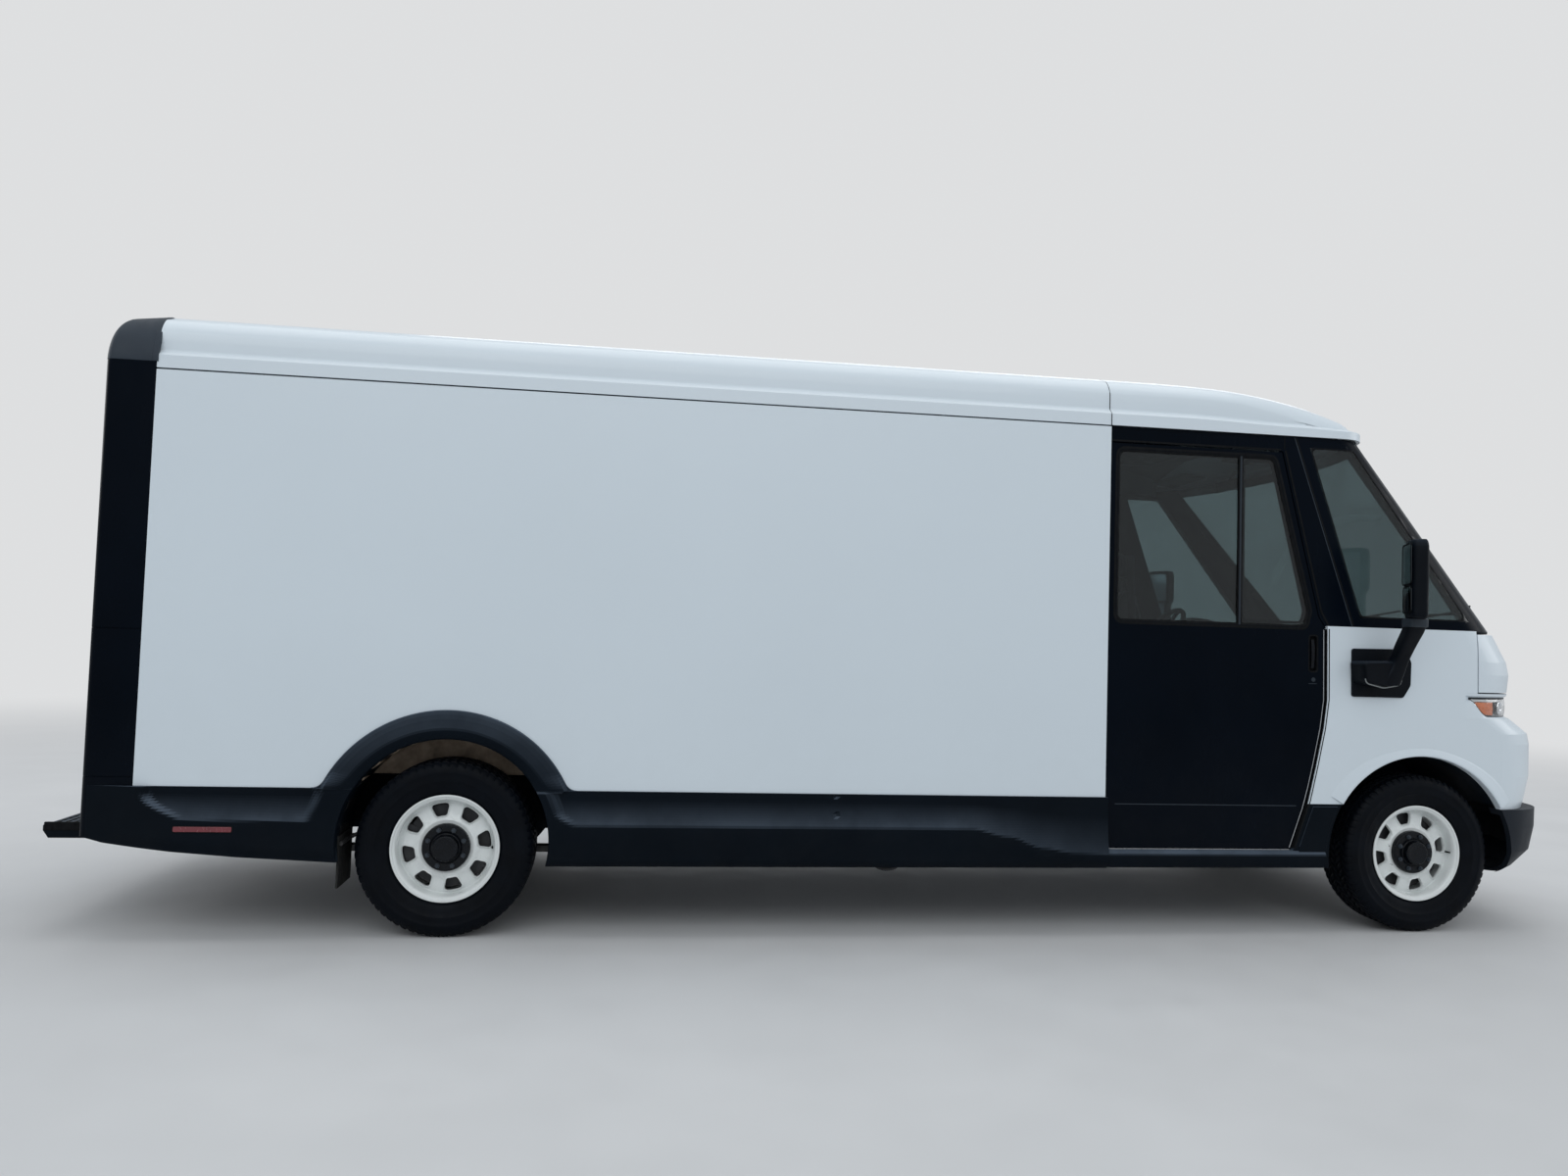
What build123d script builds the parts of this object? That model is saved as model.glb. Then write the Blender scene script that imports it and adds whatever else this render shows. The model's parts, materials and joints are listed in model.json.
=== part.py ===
from build123d import *
import math
import os

os.makedirs("parts", exist_ok=True)

# Electric walk-in delivery van, in millimetres.
# +X points forward, +Y to the van's left, +Z up. The road is z = 0 and x = 0 is the middle of the
# overall length. Lengths called "..._BACK" or "..._AHEAD" are measured along X from an axle.

# --- Whole van -----------------------------------------------------------------------------------
WHEELBASE = 4640.0
REAR_OVERHANG = 1690.0          # rear axle back to the tip of the rear step
FRONT_OVERHANG = 880.0          # front axle forward to the bumper's foremost point
HALF_WIDTH = 1055.0             # centre plane to the outer skin of the sides
FLOOR_TOP = 640.0
FLOOR_THICKNESS = 40.0
PANEL_BOTTOM = 645.0            # lower edge of the white sides
CLADDING_BOTTOM = 317.0
CLADDING_OUT = 30.0             # how far the cladding stands out from the sides
MOVING_GAP = 6.0                # round a door, lid or flap
SLIDE_GAP = 5.0                 # between a sliding door and the pocket's walls
RUNNER_GAP = 0.3                # between a hanger and its track
BEARING_GAP = 0.05              # radial, between a pin or spindle and its bore
PAST = 20.0                     # how far a cutting solid runs past what it cuts

# --- Load box ------------------------------------------------------------------------------------
BOX_BACK = 1265.0               # rear axle back to the box's rear edge
FRAME_DEPTH = 207.0             # black frame round the rear door
CAB_JOINT_BACK = 1640.0         # front axle back to the joint between box and cab
WALL_THICKNESS = 95.0
OUTER_SKIN = 12.0
INNER_SKIN = 35.0
ROOF_THICKNESS = 35.0
LEDGE_HEIGHT = 73.0             # drip ledge along the roof's foot
LEDGE_DEPTH = 25.0
ROOF_SIDE_HEIGHT = 150.0        # roof's foot to where its side starts to turn inward
SHOULDER_IN = 130.0             # skin to the top of the turn
SHOULDER_HEIGHT = 99.0          # height of the turn
ROOF_CROWN = 51.0               # rise of the roof across the van
SHUT_LINE = 6.0

# --- Rear end ------------------------------------------------------------------------------------
REAR_POST_WIDTH = 175.0
REAR_LINTEL = 106.0             # rear door's top to the roof's foot
REAR_DOOR_THICKNESS = 34.0
REAR_DOOR_INSET = 60.0
SLAT_COUNT = 9
SLAT_GROOVE = 8.0
FRAME_BOTTOM = 433.0
FRAME_ROUNDING = 110.0          # of the frame's rear edge along the top, and down its sides
FRAME_SIDE_ROUNDING = 34.0
FRAME_TURN_BELOW = 136.0        # where the frame's side starts to turn inward, below the box's
STEP_TOP = 455.0
STEP_THICKNESS = 62.0
STEP_END_GAP = 20.0              # step to the door opening's side

# --- Wheels and tyres ----------------------------------------------------------------------------
TYRE_RADIUS = 382.0
TYRE_WIDTH = 248.0
TREAD_WIDTH = 200.0
BEAD_RADIUS = 216.0             # 17 inch rim
RIM_LIP_RADIUS = 233.0
RIM_WIDTH = 190.0
RIM_LIP = 10.0
RIM_WALL = 10.0
WHEEL_IN = 149.0                # outer skin to the wheel's middle plane
DISC_THICKNESS = 12.0
DISC_OUT = 44.0                 # wheel's middle plane to the disc's outer face
SLOT_COUNT = 8
SLOT_RADIUS = 162.0
SLOT_DEPTH = 52.0               # along the radius
SLOT_OUTER_WIDTH = 70.0
SLOT_INNER_WIDTH = 50.0
SLOT_CORNER = 9.0
HUB_RADIUS = 102.0
HUB_OUT = 84.0
CAP_RADIUS = 52.0
CAP_OUT = 112.0
SPINDLE_RADIUS = 30.0
SPINDLE_OUT = 66.0

# --- Arches --------------------------------------------------------------------------------------
REAR_ARCH_RADIUS = 444.0
REAR_ARCH_HEIGHT = 417.0
FLARE_WIDTH = 125.0
FLARE_LIP = 6.0                 # step from the side to the flare's outer edge
FLARE_FLAT = 52.0               # level band next to the opening
FRONT_ARCH_RADIUS = 490.0
FRONT_ARCH_HEIGHT = 370.0
FRONT_ARCH_BACK = 10.0
LINER_THICKNESS = 8.0
LINER_GAP = 2.0
REAR_LINER_INSIDE = 171.0       # wheel's middle plane to the rear wheelhouse's inner wall
FRONT_LINER_INSIDE = 374.0

# --- Cab, measured from the front axle -----------------------------------------------------------
PANEL_THICKNESS = 30.0
HOOD_THICKNESS = 12.0
HOOD_ARM_Y = 490.0
HOOD_ARM_WIDTH = 20.0
HOOD_PIN_RADIUS = 6.0
COWL_THICKNESS = 10.0
GLASSHOUSE_INSET = 18.0         # the glazed upper cab sits inside the panels below it
GLASS_THICKNESS = 12.0
PILLAR_THICKNESS = 42.0
WAIST = 1484.0                  # joint between the panels and the glazed upper cab
GLASSHOUSE_HEIGHT = 921.0       # waist to the joint under the cab roof
HEADER_GAP = 1.0
WINDSHIELD_FOOT_AHEAD = 455.0   # side edge of the windshield at the waist
WINDSHIELD_HEAD_BACK = 330.0    # side edge of the windshield at the header
CORNER_RADIUS = 320.0
NOSE_BOW = 190.0
HOOD_SHUT_AHEAD = 293.0
LAMP_BACK_AHEAD = 228.0
LAMP_BOTTOM = 1050.0
LAMP_TOP = 1175.0
LAMP_SPAN = 495.0               # side skin to the lamp's inner end
LAMP_DEPTH = 70.0
BUMPER_TOP = 606.0
CORNER_CLADDING_TOP = 624.0

MIRROR_BACK = 220.0             # front axle back to the middle of the mirror's head
MIRROR_OUT = 230.0              # outer skin to the same
MIRROR_TOP = 1896.0
MIRROR_BOTTOM = 1530.0
MIRROR_WIDTH = 200.0
MIRROR_DEPTH = 80.0
MIRROR_TURN = 25.0              # the head faces the driver

FLAP_LENGTH = 165.0
FLAP_HEIGHT = 160.0
FLAP_THICKNESS = 8.0
FLAP_BOTTOM = 950.0
FLAP_HINGE_BACK = 180.0
FLAP_PIN_RADIUS = 3.0
FLAP_BARREL_RADIUS = 7.0
FLAP_POCKET_DEPTH = 60.0

# --- Cab side doors ------------------------------------------------------------------------------
DOOR_THICKNESS = 38.0
DOOR_BOTTOM = 408.0
DOOR_HEADER = 79.0              # door's top to the joint under the cab roof
DOOR_REAR_OVERLAP = 20.0        # how far the shut door stays in its pocket
DOOR_TRAVEL = 880.0
WINDOW_BELOW_WAIST = 8.0
WINDOW_HEAD = 28.0              # glass to the door's top
WINDOW_EDGE = 46.0
WINDOW_DIVIDER_BACK = 965.0
DIVIDER_WIDTH = 16.0
WINDOW_THICKNESS = 8.0
HANGER_WIDTH = 60.0
HANGER_THICKNESS = 12.0
HANGER_HEIGHT = 14.0

# --- Frame, battery and running gear -------------------------------------------------------------
RAIL_OUT = 510.0
RAIL_WIDTH = 80.0
RAIL_HEIGHT = 120.0
RAILS_AHEAD = 700.0             # front axle to the rails' front ends
CROSSMEMBER = 40.0
CROSSMEMBER_WIDTH = 70.0
CROSSMEMBER_COUNT = 9
BATTERY_SIDE_GAP = 315.0        # outer skin to the battery
BATTERY_HEIGHT = 150.0
BATTERY_END_GAP = 620.0         # axle to the battery's end
KINGPIN_IN = 100.0              # wheel's middle plane to the kingpin axis
KINGPIN_RADIUS = 12.0
KINGPIN_REACH = 150.0           # above and below the wheel's centre
ARM_THICKNESS = 26.0
AXLE_RADIUS = 48.0
SPRING_HALF_LENGTH = 535.0
SPRING_INSIDE = 266.0           # wheel's middle plane to the spring

# --- Inside --------------------------------------------------------------------------------------
WELL_TOP = 440.0                # tread of the step inside each cab door
STEP_WALL = 20.0
SHELF_BOLTS_LONG = 1200.0       # bolt holes in the load floor for a rack
SHELF_BOLTS_WIDE = 900.0
SHELF_BOLT_RADIUS = 6.0
BULKHEAD_THICKNESS = 40.0
BULKHEAD_DOOR_WIDTH = 700.0
BULKHEAD_DOOR_HEIGHT = 1610.0
BULKHEAD_DOOR_THICKNESS = 28.0
BULKHEAD_DOOR_STOP = 50.0       # open door to the side wall
BULKHEAD_DOOR_OVERLAP = 25.0
DRIVER_Y = 440.0
STEERING_RADIUS = 195.0
STEERING_TUBE = 15.0
COLUMN_TILT = 38.0
COLUMN_RADIUS = 24.0
SHAFT_RADIUS = 14.0
STEERING_BACK = 640.0           # front axle back to the middle of the steering wheel
STEERING_HEIGHT = 1440.0
SEAT_BACK = 1330.0              # front axle back to the seat's back
SEAT_HEIGHT = 320.0
SEAT_CUSHION = 120.0

# --- Worked-out places ---------------------------------------------------------------------------
OVERALL_LENGTH = REAR_OVERHANG + WHEELBASE + FRONT_OVERHANG
REAR_AXLE_X = REAR_OVERHANG - OVERALL_LENGTH / 2
FRONT_AXLE_X = REAR_AXLE_X + WHEELBASE
WHEEL_Y = HALF_WIDTH - WHEEL_IN
REAR_LINER_IN = WHEEL_Y - REAR_LINER_INSIDE
FRONT_LINER_IN = WHEEL_Y - FRONT_LINER_INSIDE
REAR_DOOR_HALF_WIDTH = HALF_WIDTH - REAR_POST_WIDTH
STEP_HALF_WIDTH = REAR_DOOR_HALF_WIDTH - STEP_END_GAP
BATTERY_HALF_WIDTH = HALF_WIDTH - BATTERY_SIDE_GAP
LAMP_HALF_GAP = HALF_WIDTH - LAMP_SPAN
HEADER = WAIST + GLASSHOUSE_HEIGHT
ROOF_BASE = HEADER + HEADER_GAP
LEDGE_TOP = ROOF_BASE + LEDGE_HEIGHT
SHOULDER_BASE = ROOF_BASE + ROOF_SIDE_HEIGHT
SHOULDER_TOP = SHOULDER_BASE + SHOULDER_HEIGHT
ROOF_TOP = SHOULDER_TOP + ROOF_CROWN
REAR_DOOR_TOP = ROOF_BASE - REAR_LINTEL
DOOR_TOP = HEADER - DOOR_HEADER
WINDOW_BOTTOM = WAIST - WINDOW_BELOW_WAIST
WINDOW_TOP = DOOR_TOP - WINDOW_HEAD
HUB_Z = TYRE_RADIUS
BOX_REAR_X = REAR_AXLE_X - BOX_BACK
CAB_JOINT_X = FRONT_AXLE_X - CAB_JOINT_BACK
WALL_IN = HALF_WIDTH - WALL_THICKNESS
INNER_SKIN_OUT = WALL_IN + INNER_SKIN
POCKET_OUT = HALF_WIDTH - OUTER_SKIN
DOOR_OUT = POCKET_OUT - SLIDE_GAP
DOOR_IN = DOOR_OUT - DOOR_THICKNESS
DOOR_REAR_X = CAB_JOINT_X - DOOR_REAR_OVERLAP
POCKET_REAR_X = DOOR_REAR_X - DOOR_TRAVEL - SLIDE_GAP * 2
TRACK_TOP = DOOR_TOP + HANGER_HEIGHT + SLIDE_GAP
FLOOR_BOTTOM = FLOOR_TOP - FLOOR_THICKNESS
RAIL_TOP = FLOOR_BOTTOM - CROSSMEMBER
RAIL_BOTTOM = RAIL_TOP - RAIL_HEIGHT
FRONT_ARCH_X = FRONT_AXLE_X - FRONT_ARCH_BACK
KINGPIN_Y = WHEEL_Y - KINGPIN_IN
GLASSHOUSE_HALF = HALF_WIDTH - GLASSHOUSE_INSET
HINGE_X = FRONT_AXLE_X + HOOD_SHUT_AHEAD + MOVING_GAP
HINGE_Z = WAIST - COWL_THICKNESS - MOVING_GAP
BULKHEAD_DOOR_TOP = FLOOR_TOP + BULKHEAD_DOOR_HEIGHT
BULKHEAD_DOOR_TRAVEL = WALL_IN - BULKHEAD_DOOR_STOP - BULKHEAD_DOOR_WIDTH / 2
SHELF_X = (REAR_AXLE_X + CAB_JOINT_X) / 2
FLAP_HINGE_X = FRONT_AXLE_X - FLAP_HINGE_BACK
FLAP_HINGE_Y = HALF_WIDTH - 10.0

# Plan sections of the nose: height, front on the centre plane (from the front axle), corner, bow.
BUMPER_SECTIONS = [
    (275.0, 600.0), (290.0, 680.0), (322.0, 750.0), (400.0, 846.0), (515.0, 876.0),
    (BUMPER_TOP, FRONT_OVERHANG),
]
FASCIA_SECTIONS = [
    (BUMPER_TOP, 806.0), (640.0, 820.0), (765.0, 851.0), (925.0, 853.0), (976.0, 842.0),
    (LAMP_BOTTOM, 740.0),
]
UPPER_NOSE_SECTIONS = [
    (LAMP_BOTTOM, 724.0), (LAMP_TOP, 726.0), (1268.0, 738.0), (1331.0, 724.0), (WAIST, 636.0),
]
# The glazed upper cab: height, front on the centre plane, corner and bow.
GLASSHOUSE_SECTIONS = [(WAIST, 615.0, 260.0, 190.0), (HEADER, -150.0, 150.0, 190.0)]
CAB_ROOF_AHEAD = -95.0          # the cab roof's foot on the centre plane
CAB_ROOF_CORNER = 160.0
CAB_ROOF_BOW = 235.0
CAB_ROOF_BAND = 46.0            # upright band along its foot, round the front
# How the cab roof falls: distance back from the front axle, then how far its side crease, the top
# of its shoulder and its crown have dropped there from the load box's roof.
CAB_ROOF_FALL = [
    (CAB_JOINT_BACK, 0.0, 0.0, 0.0), (1250.0, 0.0, 3.0, 0.0), (1000.0, 8.0, 14.0, 3.0),
    (790.0, 42.0, 38.0, 10.0), (640.0, 76.0, 66.0, 20.0), (510.0, 104.0, 98.0, 38.0),
    (390.0, 135.0, 145.0, 70.0), (300.0, 175.0, 215.0, 106.0), (200.0, 232.0, 300.0, 154.0),
    (60.0, 300.0, 380.0, 236.0),
]
CAB_ROOF_STATIONS = [
    CAB_JOINT_BACK, 1250.0, 1120.0, 1000.0, 890.0, 790.0, 710.0, 640.0, 575.0, 510.0, 450.0, 390.0,
    345.0, 300.0, 250.0, 200.0, 130.0, 60.0,
]
CAB_ROOF_UNDER = 200.0          # how far its form runs on below the foot
SHOULDER_BULGE = 0.16           # of a shoulder's width, outward from its chord

# The sill cladding: x from the front axle, crease height, foot height, and the set-back of its top.
SILL_SECTIONS = [
    (REAR_AXLE_X - FRONT_AXLE_X, 500.0, 322.0, 10.0), (-2280.0, 494.0, 322.0, 10.0),
    (-2120.0, 460.0, 321.0, 12.0), (-1970.0, 412.0, 320.0, 16.0), (-1800.0, 388.0, 320.0, 16.0),
    (CAB_JOINT_X + 11.0 - FRONT_AXLE_X, 380.0, 320.0, 16.0),
]


def block(x0, x1, y0, y1, z0, z1):
    """A box between two corners."""
    middle = Pos((x0 + x1) / 2, (y0 + y1) / 2, (z0 + z1) / 2)
    return middle * Box(abs(x1 - x0), abs(y1 - y0), abs(z1 - z0))


def rod(start, end, radius):
    """A round bar from one point to another."""
    line = Line(start, end)
    return extrude(Plane(start, z_dir=line % 0) * Circle(radius), amount=line.length)


def across(radius, x, z, y0, y1):
    """A round bar along Y."""
    return rod((x, min(y0, y1), z), (x, max(y0, y1), z), radius)


def side_prism(points, y0, y1):
    """A polygon drawn in X and Z, pulled from y0 to y1."""
    face = make_face(Polyline(*[(x, y0, z) for x, z in points], close=True))
    return extrude(face, amount=y1 - y0, dir=(0, 1, 0))


def together(*shapes):
    """Separate solids kept in one piece."""
    return Compound(children=[solid for shape in shapes for solid in shape.solids()])


def both_sides(shape):
    """The shape on the right, with its mirror image on the left."""
    return Compound(children=[*shape.solids(), *mirror(shape, about=Plane.XZ).solids()])


def plan_face(height, front, half_width, corner, bow, back, inset):
    """Horizontal section of the nose: straight sides, round corners and a bowed front."""
    x_front = FRONT_AXLE_X + front - inset
    half = half_width - inset
    shoulder = x_front - bow
    outline = [
        Line((back, -half, 0), (shoulder, -half, 0)),
        ThreePointArc((shoulder, -half, 0), (x_front, 0, 0), (shoulder, half, 0)),
        Line((shoulder, half, 0), (back, half, 0)),
        Line((back, half, 0), (back, -half, 0)),
    ]
    face = make_face(outline)
    corners = face.vertices().group_by(Axis.X)[-1]
    return Pos(0, 0, height) * fillet(corners, corner - inset)


def nose_form(sections, half_width, corner, bow, back, inset):
    """Solid nose lofted straight from each plan section to the next."""
    faces = [plan_face(z, x, half_width, corner, bow, back, inset) for z, x in sections]
    return loft(faces, ruled=True)


def nose_shell(sections, half_width, thickness, corner=CORNER_RADIUS, bow=NOSE_BOW):
    """The outer skin of the nose, open at the back, top and bottom."""
    back = CAB_JOINT_X
    outer = nose_form(sections, half_width, corner, bow, back, 0)
    inner = nose_form(sections, half_width, corner, bow, back - thickness * 2, thickness)
    return outer - inner


def roof_outline(inset, half, foot, x, crease_drop=0.0, shoulder_drop=0.0, crown_drop=0.0):
    """Cross-section of the box under its roof, as a closed outline at one x."""
    side = half - LEDGE_DEPTH - inset
    turn = half - SHOULDER_IN
    base = SHOULDER_BASE - crease_drop
    top = SHOULDER_TOP - shoulder_drop - inset
    crown = ROOF_TOP - crown_drop - inset
    mid_y = (side + turn) / 2 + (top - base) * SHOULDER_BULGE
    mid_z = (base + top) / 2 + (side - turn) * SHOULDER_BULGE
    return [
        Line((x, -side, foot), (x, -side, base)),
        ThreePointArc((x, -side, base), (x, -mid_y, mid_z), (x, -turn, top)),
        ThreePointArc((x, -turn, top), (x, 0, crown), (x, turn, top)),
        ThreePointArc((x, turn, top), (x, mid_y, mid_z), (x, side, base)),
        Line((x, side, base), (x, side, foot)),
        Line((x, side, foot), (x, -side, foot)),
    ]


def roof_form(x0, x1, inset=0.0, half=HALF_WIDTH, foot=ROOF_BASE):
    """Solid under the roof's surface, from x0 to x1."""
    face = make_face(roof_outline(inset, half, foot, x0))
    return extrude(face, amount=x1 - x0, dir=(1, 0, 0))


def ledges(x0, x1):
    """The drip ledges along both feet of the roof."""
    inner = HALF_WIDTH - LEDGE_DEPTH
    right = block(x0, x1, -HALF_WIDTH, -inner, ROOF_BASE, LEDGE_TOP)
    return right + mirror(right, about=Plane.XZ)


def door_outline(grow=0.0):
    """Side view of a cab door, grown outward by a gap."""
    x = FRONT_AXLE_X
    rear = DOOR_REAR_X - grow
    low = DOOR_BOTTOM - grow
    high = DOOR_TOP + grow
    return [
        (rear, low), (x - 693 + grow, low), (x - 612 + grow, DOOR_BOTTOM + 230),
        (x - 573 + grow, DOOR_BOTTOM + 400), (x - 536 + grow, DOOR_BOTTOM + 577),
        (x - 518 + grow, DOOR_BOTTOM + 717), (x - 520 + grow, WAIST - 6),
        (x - 555 + grow, WAIST + 46), (x - 753 + grow, high), (rear, high),
    ]


def door_cut(y0, y1):
    """Everything the door and its gap take out of its neighbours."""
    return side_prism(door_outline(MOVING_GAP), y0, y1)


def window_outline(grow=0.0):
    """Side view of the door's glass, grown outward."""
    x = FRONT_AXLE_X
    low = WINDOW_BOTTOM - grow
    high = WINDOW_TOP + grow
    return [
        (CAB_JOINT_X + WINDOW_EDGE - grow, low), (x - 618 + grow, low),
        (x - 600 + grow, WAIST + 72), (x - 789 + grow, high), (CAB_JOINT_X + WINDOW_EDGE - grow, high),
    ]


def arch_disc(x, z, radius, y0, y1):
    """The round space of a wheel arch."""
    return across(radius, x, z, y0, y1)


# --- Load box ------------------------------------------------------------------------------------

def cargo_side():
    """Right side wall: solid, with a pocket at its front end for the sliding cab door."""
    x0 = BOX_REAR_X
    x1 = CAB_JOINT_X
    wall = block(x0, x1, -HALF_WIDTH, -WALL_IN, PANEL_BOTTOM, ROOF_BASE)
    wall += block(x0, x1, -INNER_SKIN_OUT, -WALL_IN, FLOOR_BOTTOM, PANEL_BOTTOM)
    wall -= block(x0, x1, -HALF_WIDTH, -HALF_WIDTH + LEDGE_DEPTH, ROOF_BASE - SHUT_LINE, ROOF_BASE)
    wall -= block(
        POCKET_REAR_X, x1, -POCKET_OUT, -INNER_SKIN_OUT, PANEL_BOTTOM, DOOR_TOP + SLIDE_GAP,
    )
    wall -= door_track(POCKET_REAR_X, x1)
    radius = REAR_ARCH_RADIUS + LINER_THICKNESS + LINER_GAP
    wall -= arch_disc(REAR_AXLE_X, REAR_ARCH_HEIGHT, radius, -HALF_WIDTH, -WALL_IN)
    return wall


def door_track(x0, x1):
    """The groove that a cab door's hangers run in."""
    middle = -(DOOR_OUT + DOOR_IN) / 2
    half = HANGER_THICKNESS / 2 + RUNNER_GAP
    return block(x0, x1, middle - half, middle + half, DOOR_TOP, TRACK_TOP)


def cargo_roof():
    """Roof of the load box: a curved shell with a ledge along each foot."""
    shell = roof_form(BOX_REAR_X, CAB_JOINT_X)
    shell -= roof_form(BOX_REAR_X, CAB_JOINT_X, ROOF_THICKNESS)
    return shell + ledges(BOX_REAR_X, CAB_JOINT_X)


def cargo_floor():
    """Floor of box and cab, notched for the rear wheelhouses and the cab's step wells."""
    x1 = FRONT_ARCH_X - FRONT_ARCH_RADIUS - LINER_THICKNESS
    floor = block(BOX_REAR_X, x1, -WALL_IN, WALL_IN, FLOOR_BOTTOM, FLOOR_TOP)
    reach = REAR_ARCH_RADIUS + LINER_THICKNESS
    well_x0 = CAB_JOINT_X + 60
    well_x1 = FRONT_AXLE_X - 760
    well_in = BATTERY_HALF_WIDTH + 30
    for side in (-1, 1):
        floor -= block(
            REAR_AXLE_X - reach, REAR_AXLE_X + reach, side * REAR_LINER_IN, side * WALL_IN,
            FLOOR_BOTTOM, FLOOR_TOP,
        )
        floor -= block(well_x0, well_x1, side * well_in, side * WALL_IN, FLOOR_BOTTOM, FLOOR_TOP)
        step = block(
            well_x0 - STEP_WALL, well_x1 + STEP_WALL, side * (well_in - STEP_WALL), side * WALL_IN,
            WELL_TOP - STEP_WALL, FLOOR_BOTTOM,
        )
        step -= block(well_x0, well_x1, side * well_in, side * WALL_IN, WELL_TOP, FLOOR_BOTTOM)
        floor += step
    for x in (-SHELF_BOLTS_LONG / 2, SHELF_BOLTS_LONG / 2):
        for y in (-SHELF_BOLTS_WIDE / 2, SHELF_BOLTS_WIDE / 2):
            hole = rod((SHELF_X + x, y, FLOOR_BOTTOM), (SHELF_X + x, y, FLOOR_TOP), SHELF_BOLT_RADIUS)
            floor -= hole
    return floor


def rear_wheelhouse():
    """Arched liner over a rear wheel with its inner wall."""
    outer = REAR_ARCH_RADIUS + LINER_THICKNESS
    liner = across(outer, REAR_AXLE_X, REAR_ARCH_HEIGHT, -POCKET_OUT, -REAR_LINER_IN)
    liner -= across(
        REAR_ARCH_RADIUS, REAR_AXLE_X, REAR_ARCH_HEIGHT, -POCKET_OUT,
        -REAR_LINER_IN - LINER_THICKNESS,
    )
    below = block(
        REAR_AXLE_X - outer, REAR_AXLE_X + outer, -HALF_WIDTH, -REAR_LINER_IN,
        REAR_ARCH_HEIGHT - outer, REAR_ARCH_HEIGHT + 13,
    )
    return liner - below


def front_wheelhouse():
    """Arched liner over a front wheel with its inner wall."""
    outer = FRONT_ARCH_RADIUS + LINER_THICKNESS / 2
    face = -HALF_WIDTH + PANEL_THICKNESS
    liner = across(outer, FRONT_ARCH_X, FRONT_ARCH_HEIGHT, face, -FRONT_LINER_IN)
    liner -= across(
        outer - LINER_THICKNESS, FRONT_ARCH_X, FRONT_ARCH_HEIGHT, face,
        -FRONT_LINER_IN - LINER_THICKNESS,
    )
    below = block(
        FRONT_ARCH_X - outer, FRONT_ARCH_X + outer, face, -FRONT_LINER_IN,
        FRONT_ARCH_HEIGHT - outer, CORNER_CLADDING_TOP,
    )
    return liner - below


def bulkhead():
    """Wall between cab and box, with its doorway and the sliding door's track."""
    x1 = CAB_JOINT_X - DOOR_REAR_OVERLAP
    x0 = x1 - BULKHEAD_THICKNESS
    wall = roof_form(x0, x1, ROOF_THICKNESS, HALF_WIDTH, FLOOR_TOP)
    wall &= block(x0, x1, -WALL_IN, WALL_IN, FLOOR_TOP, ROOF_TOP)
    half = BULKHEAD_DOOR_WIDTH / 2 - BULKHEAD_DOOR_OVERLAP
    wall -= block(x0, x1, -half, half, FLOOR_TOP, BULKHEAD_DOOR_TOP - BULKHEAD_DOOR_OVERLAP)
    track_x0 = x0 - SLIDE_GAP - BULKHEAD_DOOR_THICKNESS - SLIDE_GAP
    track_end = BULKHEAD_DOOR_WIDTH / 2 + BULKHEAD_DOOR_TRAVEL + SLIDE_GAP * 2
    base = BULKHEAD_DOOR_TOP + MOVING_GAP
    track = block(track_x0, x0, -BULKHEAD_DOOR_WIDTH / 2, track_end, base, base + 40)
    middle = x0 - SLIDE_GAP - BULKHEAD_DOOR_THICKNESS / 2
    slot = HANGER_THICKNESS / 2 + RUNNER_GAP
    track -= block(
        middle - slot, middle + slot, -BULKHEAD_DOOR_WIDTH / 2, track_end, base, base + 24,
    )
    return wall + track


def bulkhead_door():
    """Door between cab and box, hung on two runners, with a window."""
    x1 = CAB_JOINT_X - DOOR_REAR_OVERLAP - BULKHEAD_THICKNESS - SLIDE_GAP
    x0 = x1 - BULKHEAD_DOOR_THICKNESS
    half = BULKHEAD_DOOR_WIDTH / 2
    door = block(x0, x1, -half, half, FLOOR_TOP + MOVING_GAP, BULKHEAD_DOOR_TOP)
    door -= block(x0, x1, -half + 190, half - 190, 1500, 1950)
    middle = (x0 + x1) / 2
    for y in (-half + 120, half - 120):
        door += block(
            middle - HANGER_THICKNESS / 2, middle + HANGER_THICKNESS / 2,
            y - HANGER_WIDTH / 2, y + HANGER_WIDTH / 2,
            BULKHEAD_DOOR_TOP, BULKHEAD_DOOR_TOP + MOVING_GAP + 16,
        )
    return door


# --- Rear end ------------------------------------------------------------------------------------

def rear_frame():
    """Black portal round the rear doorway, rounded along its rear edge."""
    faces = [frame_section(distance) for distance in frame_stations()]
    portal = loft(faces, ruled=True)
    return portal - block(
        BOX_REAR_X - FRAME_DEPTH - PAST, BOX_REAR_X + PAST,
        -REAR_DOOR_HALF_WIDTH, REAR_DOOR_HALF_WIDTH, FLOOR_TOP, REAR_DOOR_TOP,
    )


def frame_stations():
    """Distances ahead of the frame's rear face where its cross-section is drawn."""
    side = [FRAME_SIDE_ROUNDING * part for part in (0.0, 0.1, 0.35, 1.0)]
    top = [FRAME_ROUNDING * part for part in (0.5, 0.75, 1.0)]
    return [*side, *top, FRAME_DEPTH]


def edge_inset(radius, distance):
    """How far a rounded edge stands in, at a distance from the face it ends on."""
    if distance >= radius:
        return 0.0
    return radius - math.sqrt(radius ** 2 - (radius - distance) ** 2)


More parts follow.
